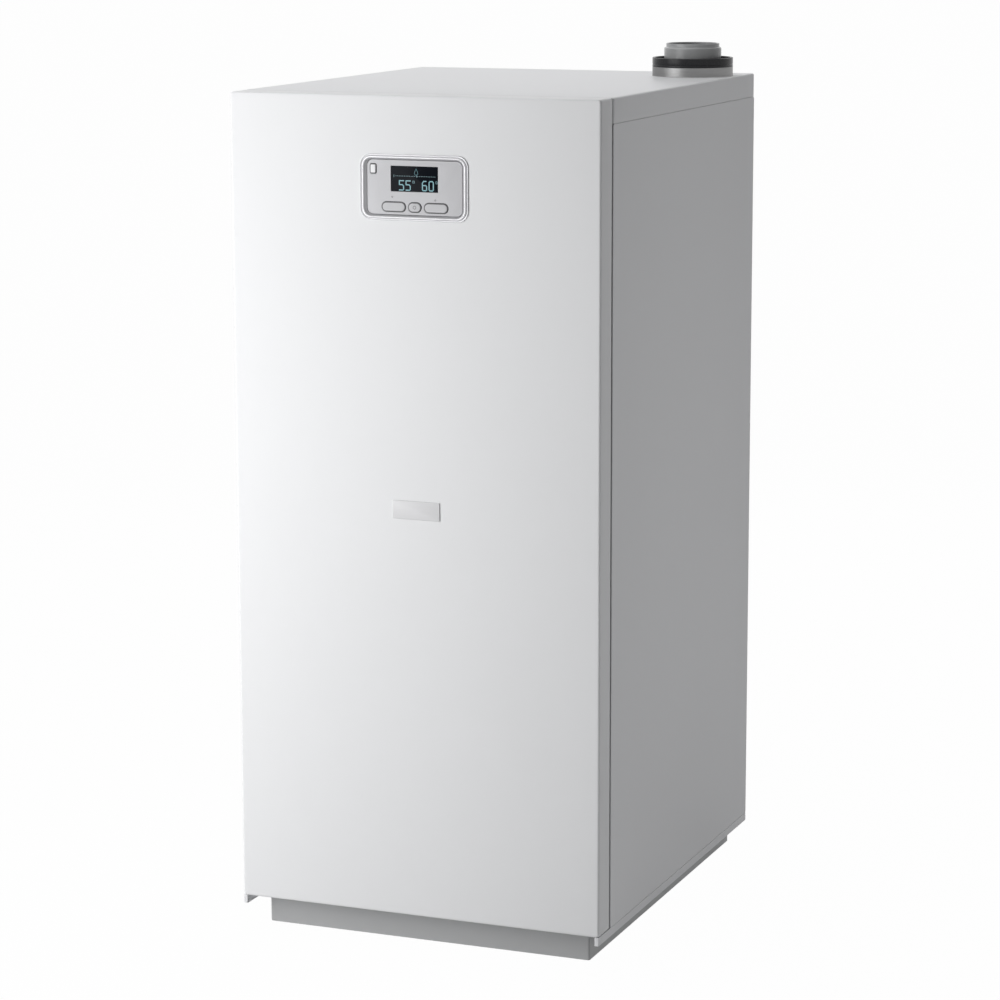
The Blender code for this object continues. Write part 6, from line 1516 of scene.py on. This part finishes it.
for index in range(4):
    bearing = 2 * np.pi * (index + 0.5) / 4
    lug = [(0.0, 0.0294), (0.0070, 0.0294), (0.0064, 0.0350), (0.0, 0.0350)]
    lug_place = (FAN_X + 0.045 * math.cos(bearing), BODY[1], FAN_Z + 0.045 * math.sin(bearing))
    pieces.append(
        wear(turned(f"motor_lug_{index + 1}", lug, lug_place, "Y", round_off=0.0008, around=32), CAST)
    )
for piece in pieces:
    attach(piece, "boiler")

# Fan impeller
# Wheel of the fan: back plate, hub and shaft with twelve backward-curved blades, moulded black. It turns in
# the scroll.
wheel_high = box_of("fan_impeller")[1]
BACK_Y = BODY[1] + FAN_HALF - 0.003 - 0.004
FRONT_EDGE = BACK_Y - 0.030
wheel = [
    (0, wheel_high[1]), (0.0050, wheel_high[1]), (0.0050, BACK_Y), (0.0590, BACK_Y),
    (0.0590, BACK_Y - 0.0018),
]
wheel += [
    (0.0240, BACK_Y - 0.0024), (0.0180, BACK_Y - 0.0060), (0.0130, BACK_Y - 0.0200), (0.0085, FRONT_EDGE),
    (0, FRONT_EDGE),
]
wheel = wear(
    turned("impeller_wheel", wheel, (FAN_X, 0, FAN_Z), "Y", round_off=0.0006, around=96), BLACK_PLASTIC,
)
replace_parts(wheel, "fan_impeller")
blades = []
for index in range(12):
    share = np.linspace(0, 1, 17)
    radius = 0.0290 + (0.0590 - 0.0018 - 0.0290) * share
    bearing = 2 * np.pi * index / 12 + np.radians(-42) * share
    half = 0.0009 * np.sqrt(np.clip(1 - (2 * share - 1) ** 6, 0.05, 1)) / radius
    around_blade = np.concatenate([bearing - half, (bearing + half)[::-1]])
    reach = np.concatenate([radius, radius[::-1]])
    plan = np.stack([FAN_X + reach * np.cos(around_blade), FAN_Z + reach * np.sin(around_blade)], -1)
    rows = [np.insert(plan, 1, depth, axis=1) for depth in (FRONT_EDGE, BACK_Y - 0.0010)]
    blades.append(wear(surface(f"impeller_blade_{index + 1}", rows, caps=True), BLACK_PLASTIC))
for piece in (wheel, *blades):
    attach(piece, "fan_impeller")

# Fan motor
# Round motor bolted to the lugs behind the scroll, black moulded can with twelve cooling grooves.
motor_low, motor_high = box_of("fan_motor")
motor = [
    (0, motor_high[1]), (0.0330, motor_high[1]), (0.0350, motor_high[1] - 0.0012),
    (0.0400, motor_high[1] - 0.0014),
    (0.0450, motor_high[1] - 0.0060),
]
motor += [
    (0.0450, motor_low[1] + 0.0020), (0.0440, motor_low[1]), (0.0053, motor_low[1]),
    (0.0053, motor_low[1] + 0.0195),
    (0, motor_low[1] + 0.0195),
]
motor = gripped(
    "fan_motor_can", motor, (FAN_X, 0, FAN_Z), "Y", 12, 0.0, (0, 1, 1), around=144, round_off=0.0012,
)
grooves = []
for index in range(12):
    bearing = 2 * np.pi * index / 12
    place = (FAN_X + 0.0450 * math.cos(bearing), 0, FAN_Z + 0.0450 * math.sin(bearing))
    groove = [
        (0, motor_low[1] + 0.0054), (0.0020, motor_low[1] + 0.0060), (0.0020, motor_high[1] - 0.0120),
        (0, motor_high[1] - 0.0110),
    ]
    grooves.append(turned("cutter", groove, place, "Y", around=20))
motor = wear(cut_by(motor, grooves), BLACK_PLASTIC)
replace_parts(motor, "fan_motor")
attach(motor, "boiler")

# Gas-air mixer
# Venturi in front of the fan's eye, where gas from the valve meets the air. Cast aluminium, gas port on the
# left.
mixer_low, mixer_high = box_of("gas_air_mixer")
front, rear = mixer_low[1], mixer_high[1]
throat = np.linspace(0, 1, 25)
inside = [
    (0.0340 - (0.0340 - 0.0272) * math.sin(math.pi * t) ** 2, rear + (front - rear) * t) for t in throat
]
mixer = inside + [
    (0.0370, front), (0.0370, front + 0.0060), (0.0355, front + 0.0075), (0.0355, rear - 0.0075),
    (0.0370, rear - 0.0060), (0.0370, rear),
]
mixer = turned("mixer_venturi", mixer, (FAN_X, 0, FAN_Z), "Y", round_off=0.0004, around=96)
port = [
    (0, -0.0350), (0.0140, -0.0350), (0.0140, -0.0560), (0.0132, -0.0565), (0.0132, -0.0620), (0, -0.0620),
]
port = turned(
    "mixer_port", [(r, h + 0.0005) for r, h in port][::-1], (FAN_X, MIXER_Y, FAN_Z), "X", round_off=0.0004,
    around=48,
)
bore = turned(
    "cutter", [(0, -0.09), (0.0110, -0.09), (0.0110, -0.0275), (0, -0.0275)], (FAN_X, MIXER_Y, FAN_Z), "X",
    around=48,
)
port = wear(cut_by(port, [bore]), CAST)
mixer = wear(mixer, CAST)
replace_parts(mixer, "gas_air_mixer")
for piece in (mixer, port):
    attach(piece, "boiler")

# Gas valve
# Valve block between gas pipe and mixer: die-cast body, two coils on top and a round regulator with a slotted
# cap.
valve_low, valve_high = box_of("gas_valve")
half = 0.023
middle_x = (valve_low[0] + valve_high[0]) / 2
across = valve_high[0] - valve_low[0]
block = [(0.0008, -half), (0, -half + 0.0008), (0, half - 0.0008), (0.0008, half)]
rows = [level_ring(across - 2 * i, 2 * half - 2 * i, 0.004 - i, (middle_x, MIXER_Y), FAN_Z + z) for i, z in block]
block = wear(surface("valve_block", rows, caps=True), CAST)
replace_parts(block, "gas_valve")
pieces = [(block, "brass")]
for index, share in enumerate((0.28, 0.72)):
    x = valve_low[0] + across * share
    coil = [
        (0, half - 0.0002), (0.0105, half - 0.0002), (0.0105, half + 0.0024), (0.0088, half + 0.0030),
        (0.0088, half + 0.0250),
    ]
    coil += [
        (0.0104, half + 0.0256), (0.0104, valve_high[2] - FAN_Z - 0.0012), (0.0092, valve_high[2] - FAN_Z),
        (0, valve_high[2] - FAN_Z),
    ]
    coil = wear(
        turned(f"valve_coil_{index + 1}", coil, (x, MIXER_Y, FAN_Z), round_off=0.0005, around=48),
        BLACK_PLASTIC,
    )
    pieces.append((coil, "black_plastic"))
cap_y = valve_low[1]
cap = [
    (0, cap_y + 0.0010), (0.0060, cap_y + 0.0010), (0.0068, cap_y), (0.0125, cap_y), (0.0138, cap_y + 0.0014),
    (0.0138, MIXER_Y - half + 0.0003), (0, MIXER_Y - half + 0.0003),
]
cap = gripped(
    "valve_regulator", cap, (middle_x, 0, FAN_Z), "Y", 20, 0.0006, (cap_y + 0.001, cap_y + 0.009, 0.0125),
    around=120,
    round_off=0.0004,
)
pieces.append((wear(cap, BRASS), "brass"))
for piece, slot_name in pieces:
    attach(piece, "boiler")

# Air intake hose and silencer
# Corrugated hose from the mixer's mouth up behind the control box, with a cuff at one end and a silencer at
# the other.
HOSE_START_Y = front - 0.0003
INTAKE = (0.150, -0.110, 1.140)
hose = [(FAN_X, HOSE_START_Y, FAN_Z), (FAN_X, INTAKE[1], FAN_Z), (FAN_X, INTAKE[1], INTAKE[2]), INTAKE]
hose = wear(
    swept(
        "intake_hose_ribbed", hose, 0.0416, 0.0262, 0.0232, count=420, around=56, ribs=(0.0036, 0.0075),
        sharp=60,
    ),
    RUBBER,
)
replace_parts(hose, "air_intake_hose")
cuff = [(0.0370, -0.0100), (0.0370, 0), (0.0245, 0), (0.0245, -0.0100), (0.0262, -0.0112), (0.0300, -0.0112)]
cuff = wear(
    turned("intake_cuff", cuff, (FAN_X, HOSE_START_Y, FAN_Z), "Y", round_off=0.0008, around=72), RUBBER,
)
can = [
    (0.0245, 0), (0.0370, 0), (0.0400, 0.003), (0.0400, 0.030), (0.0394, 0.031), (0.0394, 0.033),
    (0.0400, 0.034),
    (0.0400, 0.077), (0.0370, 0.080), (0.0245, 0.080),
]
can = wear(
    turned(
        "intake_silencer", can, (INTAKE[0] - 0.020, INTAKE[1], INTAKE[2]), "X", round_off=0.0012, around=96,
    ),
    BLACK_PLASTIC,
)
for piece, slot_name in ((hose, "black_plastic"), (cuff, "rubber"), (can, "black_plastic")):
    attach(piece, "boiler")

# Condensate sump, trap, hose and outlet
# Below the vessel a black bowl gathers the exhaust's water; a rubber hose leads it to the trap cup, a grey
# pipe out.
wear(nodes["condensate_sump"], BLACK_PLASTIC)
TRAP = (-0.236, -0.205)
trap_low, trap_high = box_of("condensate_trap")
foot, top = trap_low[2], trap_high[2] - 0.010
cup = [
    (0, foot), (0.0260, foot), (0.0300, foot + 0.0040), (0.0300, top - 0.0180), (0.0292, top - 0.0172),
    (0.0292, top - 0.0150),
]
cup += [
    (0.0300, top - 0.0142), (0.0300, top - 0.0040), (0.0260, top), (0.0150, top), (0.0150, top + 0.0090),
    (0.0140, top + 0.0100), (0, top + 0.0100),
]
cup = gripped(
    "trap_cup", cup, (*TRAP, 0), "Z", 24, 0.0009, (top - 0.0145, top + 0.0095, 0.0140), around=144,
    round_off=0.0008,
)
wear(cup, FLUE_PLASTIC)
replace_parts(cup, "condensate_trap")
to_trap = (np.array(TRAP) - BODY) / np.linalg.norm(np.array(TRAP) - BODY)
nozzle_end = 0.0971
hose = [(*BODY, nozzle_end), (*BODY, 0.081), (*(np.array(TRAP) - to_trap * 0.0303), 0.081)]
hose = wear(swept("condensate_hose_swept", hose, 0.0121, 0.0105, 0.0085, count=90, around=32), RUBBER)
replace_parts(hose, "condensate_hose")
outlet_low, outlet_high = box_of("condensate_outlet")
outlet = [
    (0.0085, outlet_low[1]), (0.0105, outlet_low[1]), (0.0105, outlet_high[1] - 0.0008),
    (0.0099, outlet_high[1]),
    (0.0085, outlet_high[1]),
]
outlet = wear(
    turned(
        "condensate_outlet_pipe", outlet, (OUTLET[0], 0, (outlet_low[2] + outlet_high[2]) / 2), "Y",
        around=48,
    ),
    FLUE_PLASTIC,
)
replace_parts(outlet, "condensate_outlet")
for piece, slot_name in ((cup, "flue_plastic"), (hose, "rubber"), (outlet, "flue_plastic")):
    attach(piece, "boiler")

# Drain cock and its lever
# Brass cock at the foot of the vessel with a ribbed hose nozzle. Its red lever turns a quarter circle on the
# stem.
DRAIN_Z, LEVER_Y = 0.250, -0.220
cock_low, cock_high = box_of("drain_valve_body")
tip = cock_low[1]
cock = [(0.0055, cock_high[1]), (0.0055, tip), (0.0078, tip)]
for barb in range(4):
    cock += [(0.0094, tip + 0.0036 + 0.0040 * barb), (0.0084, tip + 0.0040 + 0.0040 * barb)]
cock += [
    (0.0095, LEVER_Y - 0.0082), (0.0125, LEVER_Y - 0.0080), (0.0125, LEVER_Y + 0.0080),
    (0.0095, LEVER_Y + 0.0082),
    (0.0095, cock_high[1]),
]
cock = wear(turned("drain_cock_body", cock, (BODY[0], 0, DRAIN_Z), "Y", around=72), BRASS)
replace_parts(cock, "drain_valve_body")
stem = [
    (0, DRAIN_Z + 0.0070), (0.0045, DRAIN_Z + 0.0070), (0.0045, DRAIN_Z + 0.0178), (0.0040, cock_high[2]),
    (0, cock_high[2]),
]
stem = wear(turned("drain_cock_stem", stem, (BODY[0], LEVER_Y, 0), around=32), BRASS)
for piece in (cock, stem):
    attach(piece, "boiler")
LEVER_RED = finish_of(
    "lever_red_coating", (0.58, 0.03, 0.02), (0.52, 0.025, 0.016), 0.38, 500, 0.00003, cloud=30,
)
lever_low, lever_high = box_of("drain_lever")


def lever_rows(steps=33):
    """Sections of the lever's arm along -X. Its half width swings with the length, and it thins towards
    the tip."""
    share = np.linspace(0, 1, steps)
    width = 0.0045 * np.interp(share, (0, 0.35, 0.8, 1), (1.4, 1.0, 1.3, 0.9))
    width *= np.sqrt(np.clip(1 - np.clip((share - 0.9) / 0.1, 0, 1) ** 2, 0.15, 1))
    thick = 0.0060 - 0.0030 * share
    turn = np.linspace(0, 2 * np.pi, 32, endpoint=False)
    square = (np.abs(np.cos(turn)) ** 4 + np.abs(np.sin(turn)) ** 4) ** -0.25
    y = LEVER_Y + width[:, None] * square * np.cos(turn)
    z = lever_low[2] + thick[:, None] / 2 * (1 + square * np.sin(turn))
    x = BODY[0] - 0.048 * share[:, None] + 0 * y
    return np.stack([x, y, z], -1)


arm = wear(surface("drain_lever_arm", lever_rows(), caps=True, sharp=50), LEVER_RED)
hub = [
    (0, lever_low[2]), (0.0090, lever_low[2]), (0.0090, lever_high[2] - 0.0008), (0.0082, lever_high[2]),
    (0.0036, lever_high[2]), (0.0030, lever_high[2] - 0.0006), (0, lever_high[2] - 0.0006),
]
hub = wear(turned("drain_lever_hub", hub, (BODY[0], LEVER_Y, 0), round_off=0.0003, around=48), LEVER_RED)
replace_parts(arm, "drain_lever")
for piece in (arm, hub):
    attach(piece, "drain_lever")

# Air vent and temperature sensor
# On the vessel's top flange: a brass automatic air vent with its small cap, and the sensor of the flow
# temperature.
vent_low, vent_high = box_of("air_vent")
foot, top = vent_low[2], vent_high[2]
vent = [
    (0, foot), (0.0065, foot), (0.0065, foot + 0.0155), (0.0118, foot + 0.0190), (0.0150, foot + 0.0225),
    (0.0150, foot + 0.0530), (0.0140, foot + 0.0548),
]
vent += [
    (0.0117, foot + 0.0600), (0.0060, foot + 0.0604), (0.0060, foot + 0.0625), (0.0065, foot + 0.0630),
    (0.0065, top - 0.0008), (0.0057, top), (0, top),
]
vent_middle = ((vent_low[0] + vent_high[0]) / 2, (vent_low[1] + vent_high[1]) / 2, 0)
vent = gripped(
    "air_vent_turned", vent, vent_middle, "Z", 18, 0.0005, (foot + 0.0624, top - 0.0004, 0.0058), around=108,
    round_off=0.0005,
)
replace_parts(wear(vent, BRASS), "air_vent")
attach(vent, "boiler")
probe_low, probe_high = box_of("flow_temperature_sensor")
foot, top = probe_low[2], probe_high[2]
probe = [
    (0, foot), (0.0070, foot), (0.0070, foot + 0.0040), (0.0060, foot + 0.0046), (0.0060, foot + 0.0130),
    (0.0068, foot + 0.0150), (0.0042, top - 0.0030), (0.0036, top), (0, top),
]
probe_middle = ((probe_low[0] + probe_high[0]) / 2, (probe_low[1] + probe_high[1]) / 2, 0)
probe = wear(turned("flow_sensor_body", probe, probe_middle, round_off=0.0005, around=48), BLACK_PLASTIC)
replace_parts(probe, "flow_temperature_sensor")
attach(probe, "boiler")

# Fan lead
# Sleeved cable from under the control box to the fan's motor, round black rubber.
lead_low, lead_high = box_of("fan_lead")
level = FAN_Z + 0.023
lead_y = lead_low[1] + 0.0040
motor_y = lead_high[1] - 0.0040
lead = [
    (-0.135, lead_y, lead_high[2]), (-0.135, lead_y, level), (-0.135, motor_y, level),
    (lead_high[0], motor_y, level),
]
lead = wear(swept("fan_lead_sleeve", lead, 0.015, 0.0040, count=160, around=20), RUBBER)
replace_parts(lead, "fan_lead")
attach(lead, "boiler")

# Studio
# Pale floor, white surroundings, one large soft light from the left front, a wide one overhead, a weak one on
# the right and one behind for the back. The camera stands where the photograph was taken from.


def seen_rays(tree):
    """1 where a surface is seen straight, in a reflection or through glass: the greatest of the three ray
    flags."""
    path = tree.nodes.new("ShaderNodeLightPath")
    seen = path.outputs["Is Camera Ray"]
    for flag in ("Is Glossy Ray", "Is Transmission Ray"):
        greater = tree.nodes.new("ShaderNodeMath")
        greater.operation = "MAXIMUM"
        tree.links.new(seen, greater.inputs[0])
        tree.links.new(path.outputs[flag], greater.inputs[1])
        seen = greater.outputs[0]
    return seen


def floor_finish():
    """Matt pale floor. Seen straight or in a reflection it is nearly white, and only a little of its
    shadow shows."""
    material = bpy.data.materials.new("studio_floor")
    material.use_nodes = True
    tree = material.node_tree
    shader = tree.nodes["Principled BSDF"]
    shader.inputs["Base Color"].default_value = (0.60, 0.60, 0.60, 1)
    shader.inputs["Roughness"].default_value = 0.9
    shader.inputs["Specular IOR Level"].default_value = 0.1
    white = tree.nodes.new("ShaderNodeEmission")
    share = tree.nodes.new("ShaderNodeMath")
    share.operation = "MULTIPLY"
    share.inputs[1].default_value = FLOOR_WHITE
    tree.links.new(seen_rays(tree), share.inputs[0])
    mix = tree.nodes.new("ShaderNodeMixShader")
    tree.links.new(share.outputs[0], mix.inputs["Fac"])
    tree.links.new(shader.outputs["BSDF"], mix.inputs[1])
    tree.links.new(white.outputs["Emission"], mix.inputs[2])
    tree.links.new(mix.outputs["Shader"], tree.nodes["Material Output"].inputs["Surface"])
    return material


FLOOR_WHITE = 0.985
FLOOR_REACH = 60.0
ground = bpy.data.meshes.new("studio_floor")
ground.from_pydata(
    [(x * FLOOR_REACH, y * FLOOR_REACH, 0) for x, y in ((-1, -1), (1, -1), (1, 1), (-1, 1))], [],
    [(0, 1, 2, 3)],
)
ground = bpy.data.objects.new("studio_floor", ground)
bpy.context.scene.collection.objects.link(ground)
wear(ground, floor_finish())

world = bpy.context.scene.world or bpy.data.worlds.new("studio")
bpy.context.scene.world = world
world.use_nodes = True
sky = world.node_tree
sky.nodes.clear()
dim, bright = sky.nodes.new("ShaderNodeBackground"), sky.nodes.new("ShaderNodeBackground")
dim.inputs["Color"].default_value = (0.985, 0.99, 1.0, 1)
dim.inputs["Strength"].default_value = 0.10
bright.inputs["Color"].default_value = (1, 1, 1, 1)
bright.inputs["Strength"].default_value = 1.0
blend = sky.nodes.new("ShaderNodeMixShader")
sky.links.new(seen_rays(sky), blend.inputs["Fac"])
sky.links.new(dim.outputs[0], blend.inputs[1])
sky.links.new(bright.outputs[0], blend.inputs[2])
output = sky.nodes.new("ShaderNodeOutputWorld")
sky.links.new(blend.outputs[0], output.inputs["Surface"])

LAMPS = (
    ("key_light", (-1.10, -1.60, 0.98), (-0.15, -0.3, 0.60), (1.3, 1.9), 34),
    ("top_light", (-0.4, 0.2, 3.2), (0.0, 0.0, 1.2), (1.6, 1.6), 23),
    ("side_light", (1.9, -0.05, 0.8), (0.285, -0.1, 0.6), (0.6, 1.6), 5),
    ("rear_light", (-1.0, 3.0, 1.6), (0.0, 0.35, 0.7), (1.6, 1.6), 30),
)
for name, place, target, size, power in LAMPS:
    lamp = bpy.data.lights.new(name, "AREA")
    lamp.shape = "RECTANGLE"
    lamp.size, lamp.size_y = size
    lamp.energy = power
    lamp = bpy.data.objects.new(name, lamp)
    lamp.location = place
    lamp.visible_glossy = name in ("key_light", "top_light")
    lamp.rotation_euler = (Vector(target) - Vector(place)).to_track_quat("-Z", "Y").to_euler()
    bpy.context.scene.collection.objects.link(lamp)

eye = bpy.data.cameras.new("camera")
eye.sensor_width = 36
eye.lens = 116.77
eye.clip_end = 200
camera = bpy.data.objects.new("camera", eye)
camera.location = (1.8284, -4.5657, 1.5407)
turn = Matrix.Rotation(math.radians(21.90), 3, "Z") @ Matrix.Rotation(math.radians(90 - 10.668), 3, "X")
camera.rotation_euler = (turn @ Matrix.Rotation(math.radians(-0.139), 3, "Z")).to_euler()
bpy.context.scene.collection.objects.link(camera)
bpy.context.scene.camera = camera
bpy.context.scene.view_settings.view_transform = "Standard"
